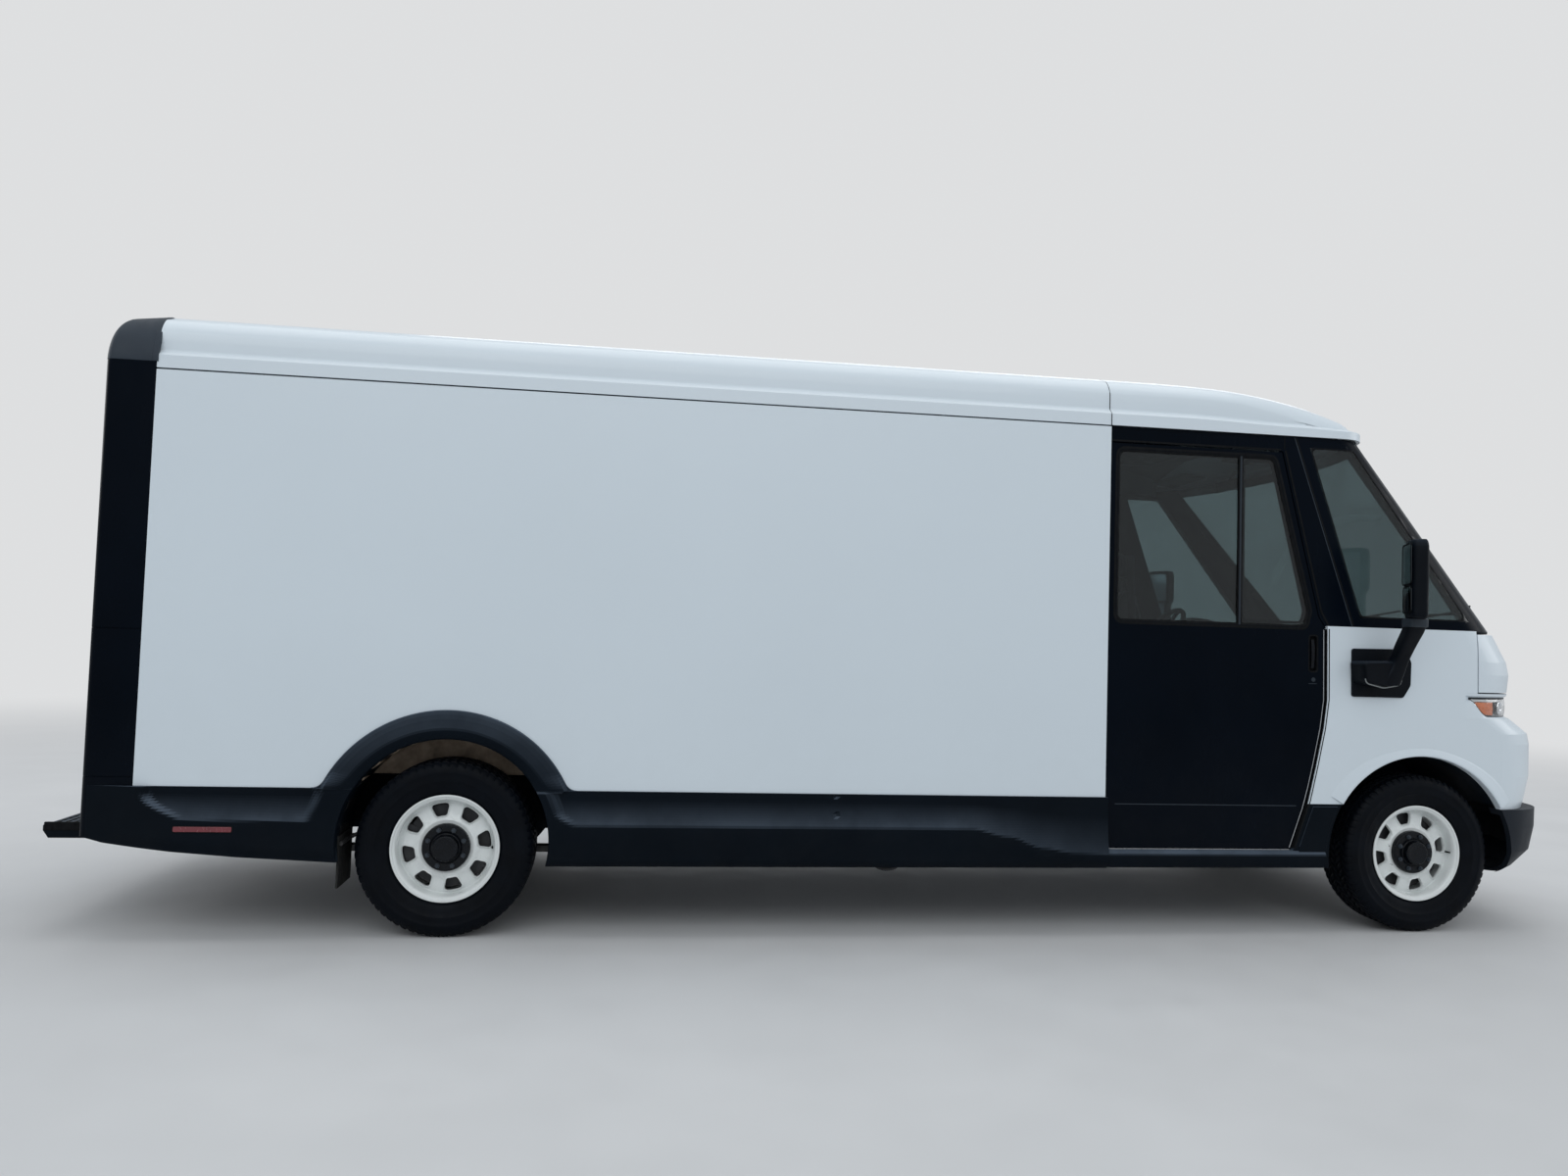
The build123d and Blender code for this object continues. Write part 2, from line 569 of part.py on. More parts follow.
def frame_section(distance):
    """Cross-section of the rear frame: upright sides that turn in to the crown."""
    x = BOX_REAR_X - FRAME_DEPTH + distance
    sunk = edge_inset(FRAME_SIDE_ROUNDING, distance)
    low = edge_inset(FRAME_ROUNDING, distance)
    side = HALF_WIDTH - sunk
    turn = HALF_WIDTH - SHOULDER_IN - sunk / 2
    base = SHOULDER_BASE - FRAME_TURN_BELOW
    top = SHOULDER_TOP - low
    mid_y = (side + turn) / 2 + (top - base) * SHOULDER_BULGE
    mid_z = (base + top) / 2 + (side - turn) * SHOULDER_BULGE
    return make_face([
        Line((x, -side, FRAME_BOTTOM), (x, -side, base)),
        ThreePointArc((x, -side, base), (x, -mid_y, mid_z), (x, -turn, top)),
        ThreePointArc((x, -turn, top), (x, 0, ROOF_TOP - low), (x, turn, top)),
        ThreePointArc((x, turn, top), (x, mid_y, mid_z), (x, side, base)),
        Line((x, side, base), (x, side, FRAME_BOTTOM)),
        Line((x, side, FRAME_BOTTOM), (x, -side, FRAME_BOTTOM)),
    ])


def rear_door():
    """Roll-up door: slats with a groove between them."""
    x0 = BOX_REAR_X - FRAME_DEPTH + REAR_DOOR_INSET
    x1 = x0 + REAR_DOOR_THICKNESS
    door = block(x0, x1, -REAR_DOOR_HALF_WIDTH, REAR_DOOR_HALF_WIDTH, FLOOR_TOP, REAR_DOOR_TOP)
    pitch = (REAR_DOOR_TOP - FLOOR_TOP) / SLAT_COUNT
    for index in range(1, SLAT_COUNT):
        z = FLOOR_TOP + index * pitch
        door -= block(
            x0, x0 + SLAT_GROOVE, -REAR_DOOR_HALF_WIDTH, REAR_DOOR_HALF_WIDTH,
            z - SLAT_GROOVE / 2, z + SLAT_GROOVE / 2,
        )
    z = FLOOR_TOP + pitch / 2
    door += block(x0 - 22, x0, -90, 90, z - 18, z + 18)
    return door


def rear_step():
    """Step along the back, on two brackets under the frame."""
    x1 = BOX_REAR_X - FRAME_DEPTH
    x0 = REAR_AXLE_X - REAR_OVERHANG
    low = STEP_TOP - STEP_THICKNESS
    points = [(x0, STEP_TOP - 30), (x0 + 22, low), (x1 + 60, low), (x1 + 60, FRAME_BOTTOM),
              (x1, FRAME_BOTTOM), (x1, STEP_TOP), (x0 + 22, STEP_TOP), (x0, STEP_TOP - 8)]
    return side_prism(points, -STEP_HALF_WIDTH, STEP_HALF_WIDTH)


def quarter_cladding():
    """Black lower side behind the rear wheel, level with the frame at its rear edge."""
    x0 = BOX_REAR_X - FRAME_DEPTH
    x1 = REAR_AXLE_X
    y0 = -HALF_WIDTH - CLADDING_OUT
    points = [
        (x0 + FRAME_SIDE_ROUNDING, PANEL_BOTTOM), (x0 + FRAME_SIDE_ROUNDING, FRAME_BOTTOM),
        (REAR_AXLE_X - 843, 357), (x1, CLADDING_BOTTOM + 16), (x1, PANEL_BOTTOM),
    ]
    panel = side_prism(points, y0, -POCKET_OUT)
    plan = [
        (x0 + FRAME_SIDE_ROUNDING, -HALF_WIDTH - 3), (BOX_REAR_X - 40, -HALF_WIDTH - 14),
        (BOX_REAR_X + 70, y0), (x1, y0), (x1, -POCKET_OUT), (BOX_REAR_X, -POCKET_OUT),
        (BOX_REAR_X, -HALF_WIDTH), (x0 + FRAME_SIDE_ROUNDING, -HALF_WIDTH),
    ]
    outline = make_face(Polyline(*[(x, y, FRAME_BOTTOM - 150) for x, y in plan], close=True))
    panel &= extrude(outline, amount=400, dir=(0, 0, 1))
    return panel - quarter_hollow() - wheel_opening()


def quarter_hollow():
    """The scooped band that is sunk into the rear cladding's upper half."""
    y = -HALF_WIDTH
    profile = [
        (y - 8, PANEL_BOTTOM + PAST), (y - 10, PANEL_BOTTOM - 50), (y - 16, 560), (y - 27, 505),
        (y - CLADDING_OUT - PAST, 485), (y - CLADDING_OUT - PAST, PANEL_BOTTOM + PAST),
    ]
    x0 = BOX_REAR_X + 20
    x1 = REAR_AXLE_X - REAR_ARCH_RADIUS - 50
    face = make_face(Polyline(*[(x0, a, b) for a, b in profile], close=True))
    band = extrude(face, amount=x1 - x0, dir=(1, 0, 0))
    ends = [(x0 + 40, PANEL_BOTTOM + PAST), (x0 + 60, 590), (x0 + 180, 480), (x1, 480),
            (x1, 520), (x1 - 40, PANEL_BOTTOM + PAST)]
    return band & side_prism(ends, y - CLADDING_OUT - PAST, y)


def wheel_opening():
    """The rear wheel's opening in the right side."""
    return arch_disc(
        REAR_AXLE_X, REAR_ARCH_HEIGHT, REAR_ARCH_RADIUS, -HALF_WIDTH - CLADDING_OUT - PAST, -WALL_IN,
    )


def rear_arch():
    """Black flare round the rear wheel arch, above the cladding."""
    y = -HALF_WIDTH
    inner = REAR_ARCH_RADIUS
    outer = REAR_ARCH_RADIUS + FLARE_WIDTH
    outline = [
        (inner - PAST, y), (inner - PAST, y - CLADDING_OUT), (inner + FLARE_FLAT, y - CLADDING_OUT),
        (outer - 18, y - FLARE_LIP - 4), (outer, y - FLARE_LIP), (outer, y),
    ]
    face = make_face(Polyline(*[(0, a, r) for r, a in outline], close=True))
    ring = Pos(REAR_AXLE_X, 0, REAR_ARCH_HEIGHT) * revolve(face, Axis.Y, 360)
    ring -= block(
        REAR_AXLE_X - outer - PAST, REAR_AXLE_X + outer + PAST, y - CLADDING_OUT - PAST, y + PAST,
        REAR_ARCH_HEIGHT - outer - PAST, PANEL_BOTTOM,
    )
    return ring - wheel_opening()


def sill_section(ahead, crease, foot, set_back):
    """Cross-section of the sill cladding: hollow face, crease and tuck-under."""
    x = FRONT_AXLE_X + ahead
    y = -HALF_WIDTH
    out = y - CLADDING_OUT
    hollow = (PANEL_BOTTOM + crease) / 2
    points = [
        (x, -POCKET_OUT, PANEL_BOTTOM), (x, y - 8, PANEL_BOTTOM), (x, y - set_back, hollow + 30),
        (x, out + 6, crease + 18), (x, out, crease), (x, out + 5, (crease + foot) / 2),
        (x, y - 10, foot), (x, -POCKET_OUT, foot),
    ]
    return make_face(Polyline(*points, close=True))


def sill_cladding():
    """Black sculpted sill from the rear arch to the corner behind the front wheel, in one piece."""
    sections = [sill_section(*values) for values in SILL_SECTIONS]
    return loft(sections, ruled=True) - wheel_opening() + front_cladding()


def front_cladding():
    """The part of the sill under the cab door, rising to a corner behind the front wheel."""
    x0 = CAB_JOINT_X + 11
    x1 = FRONT_ARCH_X
    y0 = -HALF_WIDTH
    y1 = -WALL_IN
    panel = block(x0, x1, y0, y1, CLADDING_BOTTOM, CORNER_CLADDING_TOP)
    panel += side_prism(
        [(x0, CLADDING_BOTTOM + 3), (x0, DOOR_BOTTOM - 28), (x1 - 500, DOOR_BOTTOM - 28),
         (x1 - 500, CLADDING_BOTTOM + 3)],
        y0 - 12, y0,
    )
    panel -= door_cut(y0, y1)
    panel -= arch_disc(FRONT_ARCH_X, FRONT_ARCH_HEIGHT, FRONT_ARCH_RADIUS, y0 - PAST, y1)
    return panel


def mud_flap():
    """Rubber flap behind a rear wheel."""
    x = REAR_AXLE_X - REAR_ARCH_RADIUS + 0.6
    return block(x, x + 8, -HALF_WIDTH + 20, -WHEEL_Y + 110, 215, REAR_ARCH_HEIGHT + 20)


def tail_lamp():
    """Tall lamp in the right rear post."""
    x = BOX_REAR_X - FRAME_DEPTH
    y = -REAR_DOOR_HALF_WIDTH
    return block(x - 10, x, y - 120, y - 50, FLOOR_TOP + 260, FLOOR_TOP + 610)


def side_marker():
    """Red marker let into the rear cladding's face."""
    y = -HALF_WIDTH - CLADDING_OUT
    return block(REAR_AXLE_X - 1088, REAR_AXLE_X - 857, y - 5, y, 460, 482)


# --- Cab -----------------------------------------------------------------------------------------

def cab_roof():
    """White roof of the cab, falling to an upright band over the windshield."""
    outer = cab_roof_form(0) & cab_roof_plan(LEDGE_DEPTH, ROOF_BASE)
    outer += cab_roof_band()
    inner = cab_roof_form(ROOF_THICKNESS)
    inner &= cab_roof_plan(LEDGE_DEPTH + ROOF_THICKNESS, ROOF_BASE - PAST)
    return outer - inner


def cab_roof_form(inset):
    """Solid under the cab roof's falling surface, past its front and foot."""
    foot = ROOF_BASE - CAB_ROOF_UNDER
    back = PAST if inset else 0
    faces = []
    for behind in CAB_ROOF_STATIONS:
        crease, shoulder, crown = cab_roof_drops(behind)
        x = FRONT_AXLE_X - behind - (back if behind == CAB_JOINT_BACK else 0)
        outline = roof_outline(inset, HALF_WIDTH, foot, x, crease + inset, shoulder, crown)
        faces.append(make_face(outline))
    return loft(faces, ruled=True)


def cab_roof_drops(behind):
    """The roof's three drops at a distance back from the front axle, eased between the rows."""
    rows = CAB_ROOF_FALL
    index = max(i for i in range(len(rows) - 1) if rows[i][0] >= behind)
    start, end = rows[index], rows[index + 1]
    before = rows[max(index - 1, 0)]
    after = rows[min(index + 2, len(rows) - 1)]
    span = start[0] - end[0]
    t = (start[0] - behind) / span
    drops = []
    for column in (1, 2, 3):
        leave = (end[column] - before[column]) / (before[0] - end[0]) * span
        arrive = (after[column] - start[column]) / (start[0] - after[0]) * span
        rise = end[column] - start[column]
        drops.append(
            start[column] + leave * t + (3 * rise - 2 * leave - arrive) * t ** 2
            + (leave + arrive - 2 * rise) * t ** 3
        )
    return drops


def cab_roof_plan(inset, low):
    """Everything inside the cab roof's plan, above one height."""
    faces = [
        plan_face(z, CAB_ROOF_AHEAD, HALF_WIDTH, CAB_ROOF_CORNER, CAB_ROOF_BOW, CAB_JOINT_X - PAST, inset)
        for z in (low, ROOF_TOP + PAST)
    ]
    return loft(faces, ruled=True)


def cab_roof_band():
    """The ledge of the load box carried on along the cab roof's foot and round its front."""
    x0 = CAB_JOINT_X
    x1 = FRONT_AXLE_X
    side = side_prism(
        [(x0, ROOF_BASE), (x0, LEDGE_TOP), (x1 - CAB_ROOF_FALL[4][0], LEDGE_TOP - 10),
         (x1 - CAB_ROOF_FALL[6][0], ROOF_BASE + CAB_ROOF_BAND), (x1, ROOF_BASE + CAB_ROOF_BAND),
         (x1, ROOF_BASE)],
        -HALF_WIDTH - PAST, HALF_WIDTH + PAST,
    )
    return side & cab_roof_plan(0, ROOF_BASE - PAST)


def windshield_side(shift):
    """Side view of everything ahead of the windshield's side edge."""
    far = FRONT_AXLE_X + 1200
    foot = FRONT_AXLE_X + WINDSHIELD_FOOT_AHEAD + shift
    head = FRONT_AXLE_X - WINDSHIELD_HEAD_BACK + shift
    return side_prism(
        [(foot, WAIST), (far, WAIST), (far, HEADER), (head, HEADER)],
        -HALF_WIDTH - PAST, HALF_WIDTH + PAST,
    )


def glasshouse_form(back, inset):
    """Solid inside the glazed upper cab."""
    faces = [
        plan_face(z, front, GLASSHOUSE_HALF, corner, bow, back, inset)
        for z, front, corner, bow in GLASSHOUSE_SECTIONS
    ]
    return loft(faces, ruled=True)


def glasshouse(thickness):
    """Skin of the glazed upper cab."""
    return glasshouse_form(CAB_JOINT_X, 0) - glasshouse_form(CAB_JOINT_X - 90, thickness)


def windshield():
    """Curved windshield between the two black side frames."""
    return glasshouse(GLASS_THICKNESS) & windshield_side(0)


def quarter_outline(grow=0.0):
    """Side view of the fixed window ahead of the door."""
    x = FRONT_AXLE_X
    low = WAIST + WINDOW_EDGE - grow
    high = HEADER - WINDOW_EDGE - 2 + grow
    return [(x - 606 - grow, high), (x - 372 + grow, high),
            (x + 262 + grow, low), (x - 331 - grow, low)]


def cab_frame():
    """Black side of the upper cab: door header, pillar and the frame of the fixed window."""
    frame = glasshouse(PILLAR_THICKNESS)
    frame &= block(CAB_JOINT_X, FRONT_AXLE_X + 900, -HALF_WIDTH - PAST, -200, WAIST, HEADER)
    frame -= windshield_side(0)
    frame -= door_cut(-HALF_WIDTH, -WALL_IN)
    frame -= side_prism(quarter_outline(), -HALF_WIDTH, -500)
    frame -= door_track(CAB_JOINT_X, FRONT_AXLE_X - 700)
    return frame


def quarter_glass():
    """Fixed window ahead of the door, following the cab's corner."""
    return glasshouse(GLASS_THICKNESS) & side_prism(quarter_outline(), -HALF_WIDTH, -500)


def cab_door():
    """Right sliding door with its window cut and two hangers on top."""
    door = side_prism(door_outline(), -DOOR_OUT, -DOOR_IN)
    door -= side_prism(window_outline(), -DOOR_OUT, -DOOR_IN)
    x = FRONT_AXLE_X - WINDOW_DIVIDER_BACK
    door += block(
        x - DIVIDER_WIDTH / 2, x + DIVIDER_WIDTH / 2, -DOOR_OUT, -DOOR_IN, WINDOW_BOTTOM, WINDOW_TOP,
    )
    middle = -(DOOR_OUT + DOOR_IN) / 2
    for hanger_x in (DOOR_REAR_X + 90, FRONT_AXLE_X - 830):
        door += block(
            hanger_x - HANGER_WIDTH / 2, hanger_x + HANGER_WIDTH / 2,
            middle - HANGER_THICKNESS / 2, middle + HANGER_THICKNESS / 2,
            DOOR_TOP, DOOR_TOP + HANGER_HEIGHT,
        )
    return door


def door_glass():
    """The two panes of a cab door."""
    y = -DOOR_OUT + 8
    pane = side_prism(window_outline(), y, y + WINDOW_THICKNESS)
    x = FRONT_AXLE_X - WINDOW_DIVIDER_BACK
    return pane - block(
        x - DIVIDER_WIDTH / 2, x + DIVIDER_WIDTH / 2, -DOOR_OUT, -DOOR_IN, WINDOW_BOTTOM, WINDOW_TOP,
    )


def fender():
    """Right front fender: from the door to the hood, lamp and fascia."""
    x0 = FRONT_AXLE_X - 640
    skin = nose_shell(UPPER_NOSE_SECTIONS, HALF_WIDTH, PANEL_THICKNESS)
    upper = skin & block(
        x0, FRONT_AXLE_X + HOOD_SHUT_AHEAD, -HALF_WIDTH - PAST, -600, LAMP_TOP, WAIST,
    )
    middle = skin & block(
        x0, FRONT_AXLE_X + LAMP_BACK_AHEAD, -HALF_WIDTH - PAST, -600, LAMP_BOTTOM, LAMP_TOP,
    )
    lower = block(
        x0, FRONT_AXLE_X + LAMP_BACK_AHEAD, -HALF_WIDTH, -HALF_WIDTH + PANEL_THICKNESS,
        CORNER_CLADDING_TOP, LAMP_BOTTOM,
    )
    panel = upper + middle + lower
    panel -= door_cut(-HALF_WIDTH, -WALL_IN)
    panel -= arch_disc(FRONT_ARCH_X, FRONT_ARCH_HEIGHT, FRONT_ARCH_RADIUS, -HALF_WIDTH, -WALL_IN)
    panel -= block(x0, FRONT_AXLE_X + 400, -GLASSHOUSE_HALF, -600, WAIST - COWL_THICKNESS, WAIST)
    return panel


def left_fender():
    """Left front fender, with the charging inlet's pocket and the flap's hinge pin."""
    panel = mirror(fender(), about=Plane.XZ)
    x0 = FLAP_HINGE_X - FLAP_LENGTH - MOVING_GAP
    x1 = FLAP_HINGE_X + 17
    z0 = FLAP_BOTTOM - MOVING_GAP
    z1 = FLAP_BOTTOM + FLAP_HEIGHT + MOVING_GAP
    wall = 8
    y0 = HALF_WIDTH - FLAP_POCKET_DEPTH
    panel += block(x0 - wall, x1 + wall, y0 - wall, HALF_WIDTH, z0 - wall, z1 + wall)
    panel -= block(x0, x1, y0, HALF_WIDTH, z0, z1)
    panel += rod((FLAP_HINGE_X, FLAP_HINGE_Y, z0), (FLAP_HINGE_X, FLAP_HINGE_Y, z1), FLAP_PIN_RADIUS)
    middle_x = FLAP_HINGE_X - FLAP_LENGTH / 2
    middle_z = (z0 + z1) / 2
    panel += across(34, middle_x, middle_z, y0, y0 + 26)
    return panel


def charge_flap():
    """Flap over the charging inlet, turning on two barrels at its front edge."""
    y1 = HALF_WIDTH
    z0 = FLAP_BOTTOM
    z1 = FLAP_BOTTOM + FLAP_HEIGHT
    flap = block(FLAP_HINGE_X - FLAP_LENGTH, FLAP_HINGE_X + 6, y1 - FLAP_THICKNESS, y1, z0, z1)
    for z in (z0 + 10, z1 - 40):
        flap += rod(
            (FLAP_HINGE_X, FLAP_HINGE_Y, z), (FLAP_HINGE_X, FLAP_HINGE_Y, z + 30), FLAP_BARREL_RADIUS,
        )
    return flap - rod(
        (FLAP_HINGE_X, FLAP_HINGE_Y, z0), (FLAP_HINGE_X, FLAP_HINGE_Y, z1),
        FLAP_PIN_RADIUS + BEARING_GAP,
    )


def front_arch_space():
    """What both front arches and their liners take out of the nose."""
    face = HALF_WIDTH - PANEL_THICKNESS
    x = FRONT_ARCH_X
    z = FRONT_ARCH_HEIGHT
    right = arch_disc(x, z, FRONT_ARCH_RADIUS, -HALF_WIDTH - PAST, -face)
    right += arch_disc(x, z, FRONT_ARCH_RADIUS + LINER_THICKNESS / 2, -face, -FRONT_LINER_IN)
    return right + mirror(right, about=Plane.XZ)


def hood():
    """Front lid that wraps round both corners, with its two hinge arms."""
    skin = nose_shell(UPPER_NOSE_SECTIONS, HALF_WIDTH, HOOD_THICKNESS)
    lid = skin & block(
        HINGE_X, FRONT_AXLE_X + 1200, -HALF_WIDTH - PAST, HALF_WIDTH + PAST,
        LAMP_TOP + MOVING_GAP, HINGE_Z,
    )
    fill = nose_form(UPPER_NOSE_SECTIONS, HALF_WIDTH, CORNER_RADIUS, NOSE_BOW, CAB_JOINT_X, 2)
    x = HINGE_X
    z = HINGE_Z
    low = LAMP_TOP + 20
    neck = [
        (x - 13, z + 12), (x + 8, z + 12), (x + 182, low + 24), (x + 500, low + 24), (x + 500, low),
        (x + 168, low), (x - 13, z - 6),
    ]
    for side in (-1, 1):
        y = side * HOOD_ARM_Y
        arm = side_prism(neck, y - HOOD_ARM_WIDTH / 2, y + HOOD_ARM_WIDTH / 2)
        lid += arm & fill
        lid -= across(HOOD_PIN_RADIUS + BEARING_GAP, x, z, y - HOOD_ARM_WIDTH, y + HOOD_ARM_WIDTH)
    return lid


def cowl():
    """Shelf that carries the windshield's foot, with the hood's hinge brackets."""
    foot, corner, bow = GLASSHOUSE_SECTIONS[0][1:]
    low = WAIST - COWL_THICKNESS
    back = FRONT_AXLE_X + 100
    shelf = nose_form([(low, foot), (WAIST, foot)], GLASSHOUSE_HALF, corner, bow, back, 0)
    shelf += block(
        FRONT_AXLE_X + 180, FRONT_AXLE_X + 220, -GLASSHOUSE_HALF + 20, GLASSHOUSE_HALF - 20,
        LAMP_BOTTOM + 50, low,
    )
    for side in (-1, 1):
        y = side * HOOD_ARM_Y
        clear = HOOD_ARM_WIDTH / 2 + MOVING_GAP + 2
        shelf -= block(HINGE_X - 26, HINGE_X + 110, y - clear, y + clear, low, WAIST)
        shelf += block(
            FRONT_AXLE_X + 220, HINGE_X + 14, y + side * clear, y + side * (clear + 22),
            HINGE_Z - 30, low,
        )
        shelf += across(
            HOOD_PIN_RADIUS, HINGE_X, HINGE_Z, y - side * HOOD_ARM_WIDTH / 2, y + side * (clear + 22),
        )
    return shelf


def fascia():
    """White front below the lamps, with the shelf that steps out under them."""
    x0 = FRONT_AXLE_X + LAMP_BACK_AHEAD
    skin = nose_shell(FASCIA_SECTIONS, HALF_WIDTH, PANEL_THICKNESS)
    panel = skin & block(
        x0, FRONT_AXLE_X + 1200, -HALF_WIDTH - PAST, HALF_WIDTH + PAST, BUMPER_TOP, LAMP_BOTTOM,
    )
    panel -= front_arch_space()
    band = nose_shell(UPPER_NOSE_SECTIONS, HALF_WIDTH, LAMP_DEPTH) & block(
        x0, FRONT_AXLE_X + 1200, -LAMP_HALF_GAP, LAMP_HALF_GAP, LAMP_BOTTOM, LAMP_TOP,
    )
    return panel + band


def front_bumper():
    """Dark bumper from arch to arch."""
    skin = nose_shell(BUMPER_SECTIONS, HALF_WIDTH + 6, PANEL_THICKNESS)
    low = BUMPER_SECTIONS[0][0]
    top = [(BUMPER_TOP - PANEL_THICKNESS, FRONT_OVERHANG - 2), (BUMPER_TOP, FRONT_OVERHANG - 2)]
    skin += nose_shell(top, HALF_WIDTH + 6, 3 * PANEL_THICKNESS)
    bumper = skin & block(
        FRONT_ARCH_X + 300, FRONT_AXLE_X + 1200, -HALF_WIDTH - PAST, HALF_WIDTH + PAST,
        low, BUMPER_TOP,
    )
    return bumper - front_arch_space()


def headlamp():
    """Right lamp: wraps from the nose round to the fender."""
    skin = nose_shell(UPPER_NOSE_SECTIONS, HALF_WIDTH, LAMP_DEPTH)
    return skin & block(
        FRONT_AXLE_X + LAMP_BACK_AHEAD, FRONT_AXLE_X + 1200, -HALF_WIDTH - PAST, -LAMP_HALF_GAP,
        LAMP_BOTTOM, LAMP_TOP,
    )


def door_mirror():
    """Right mirror: base plate on the fender, boss, cranked arm and tall head."""
    x = FRONT_AXLE_X
    y = -HALF_WIDTH
    base = side_prism([(x - 390, 1379), (x - 390, 1145), (x - 116, 1145), (x - 78, 1205),
                       (x - 75, 1320), (x - 110, 1384)], y - 14, y)
    boss = side_prism([(x - 398, 1318), (x - 390, 1216), (x - 290, 1196), (x - 190, 1212),
                       (x - 190, 1325)], y - 110, y - 14)
    levels = [(1206, -300, -200, -110, -30), (1330, -243, -168, -130, -60),
              (1475, -250, -162, -230, -160), (1545, -250, -190, -265, -195)]
    arm = loft([mirror_arm_face(*level) for level in levels], ruled=True)
    head = Box(MIRROR_DEPTH, MIRROR_WIDTH, MIRROR_TOP - MIRROR_BOTTOM)
    head = fillet(head.edges().filter_by(Axis.Z), MIRROR_DEPTH / 3)
    head = fillet(head.faces().sort_by(Axis.Z)[-1].edges(), MIRROR_DEPTH / 6)
    place = Pos(x - MIRROR_BACK, y - MIRROR_OUT, (MIRROR_TOP + MIRROR_BOTTOM) / 2)
    return base + boss + arm + place * Rot(0, 0, -MIRROR_TURN) * head


def mirror_arm_face(z, x0, x1, y0, y1):
    """Cross-section of the mirror's arm, from the front axle and the outer skin."""
    x = FRONT_AXLE_X
    y = -HALF_WIDTH
    corners = [(x + x0, y + y0, z), (x + x1, y + y0, z), (x + x1, y + y1, z), (x + x0, y + y1, z)]
    return make_face(Polyline(*corners, close=True))


# --- Frame and running gear ----------------------------------------------------------------------

def frame_rails():
    """The two rails of the frame."""
    rail = block(
        BOX_REAR_X, FRONT_AXLE_X + RAILS_AHEAD, -RAIL_OUT, -RAIL_OUT + RAIL_WIDTH, RAIL_BOTTOM, RAIL_TOP,
    )
    return both_sides(rail)


def frame_crossmembers():
    """The crossmembers on the rails that carry the floor."""
    half = CROSSMEMBER_WIDTH / 2
    first = BOX_REAR_X + half
    pitch = (FRONT_AXLE_X + RAILS_AHEAD - half - first) / (CROSSMEMBER_COUNT - 1)
    members = []
    for index in range(CROSSMEMBER_COUNT):
        x = first + pitch * index
        reach = BATTERY_HALF_WIDTH
        over_springs = abs(x - REAR_AXLE_X) < SPRING_HALF_LENGTH + 120
        if over_springs or x > FRONT_ARCH_X - FRONT_ARCH_RADIUS - 60:
            reach = RAIL_OUT
        members.append(block(x - half, x + half, -reach, reach, RAIL_TOP, FLOOR_BOTTOM))
    return together(*members)


def battery_pack():
    """Battery tray under the frame rails, between the axles."""
    return block(
        REAR_AXLE_X + BATTERY_END_GAP, FRONT_AXLE_X - BATTERY_END_GAP - 60,
        -BATTERY_HALF_WIDTH, BATTERY_HALF_WIDTH, RAIL_BOTTOM - BATTERY_HEIGHT, RAIL_BOTTOM,
    )


def rear_axle():
    """Rear drive unit, axle tube with its spindles, leaf springs and their hangers."""
    beam = across(AXLE_RADIUS, REAR_AXLE_X, HUB_Z, -WHEEL_Y + 130, WHEEL_Y - 130)
    beam += across(SPINDLE_RADIUS, REAR_AXLE_X, HUB_Z, -WHEEL_Y - SPINDLE_OUT, WHEEL_Y + SPINDLE_OUT)
    unit = block(REAR_AXLE_X - 210, REAR_AXLE_X + 190, -230, 230, HUB_Z - 140, RAIL_TOP - 130)
    beam += unit
    for side in (-1, 1):
        y = side * (WHEEL_Y - SPRING_INSIDE)
        reach = SPRING_HALF_LENGTH + 25
        beam += block(
            REAR_AXLE_X - reach, REAR_AXLE_X + reach, y - 35, y + 35, HUB_Z - 74, HUB_Z - 46,
        )
        beam += block(REAR_AXLE_X - 60, REAR_AXLE_X + 60, y - 50, y + 50, HUB_Z - 84, HUB_Z + 20)
        for end in (-1, 1):
            x = REAR_AXLE_X + end * SPRING_HALF_LENGTH
            beam += block(x - 25, x + 25, y - 45, y + 45, HUB_Z - 80, FLOOR_BOTTOM)
    return beam


def front_suspension():
    """Front drive unit, steering rack and the wishbones with their kingpin eyes."""
    unit = block(FRONT_AXLE_X - 200, FRONT_AXLE_X + 220, -300, 300, 260, RAIL_BOTTOM)
    unit += block(
        FRONT_AXLE_X - 180, FRONT_AXLE_X + 200, -RAIL_OUT, RAIL_OUT, RAIL_BOTTOM - 20, RAIL_BOTTOM,
    )
    unit += across(26, FRONT_AXLE_X - 170, 320, -420, 420)
    for side in (-1, 1):
        for level in (-1, 1):
            z = HUB_Z + level * KINGPIN_REACH
            z0 = z - ARM_THICKNESS / 2
            z1 = z + ARM_THICKNESS / 2
            inner = side * 290 if level < 0 else side * RAIL_OUT
            arm = block(FRONT_AXLE_X - 28, FRONT_AXLE_X + 28, inner, side * (KINGPIN_Y + 28), z0, z1)
            for leg in (-1, 1):
                x = FRONT_AXLE_X + leg * 110
                arm += block(x - 18, x + 18, inner, side * (KINGPIN_Y - 150), z0, z1)
            arm += block(
                FRONT_AXLE_X - 128, FRONT_AXLE_X + 128, side * (KINGPIN_Y - 186),
                side * (KINGPIN_Y - 150), z0, z1,
            )
            unit += arm
        unit -= rod(
            (FRONT_AXLE_X, side * KINGPIN_Y, HUB_Z - 250), (FRONT_AXLE_X, side * KINGPIN_Y, HUB_Z + 250),
            KINGPIN_RADIUS + BEARING_GAP,
        )
        unit += across(22, FRONT_AXLE_X, HUB_Z - 4, side * 290, side * (KINGPIN_Y - 120))
    return unit


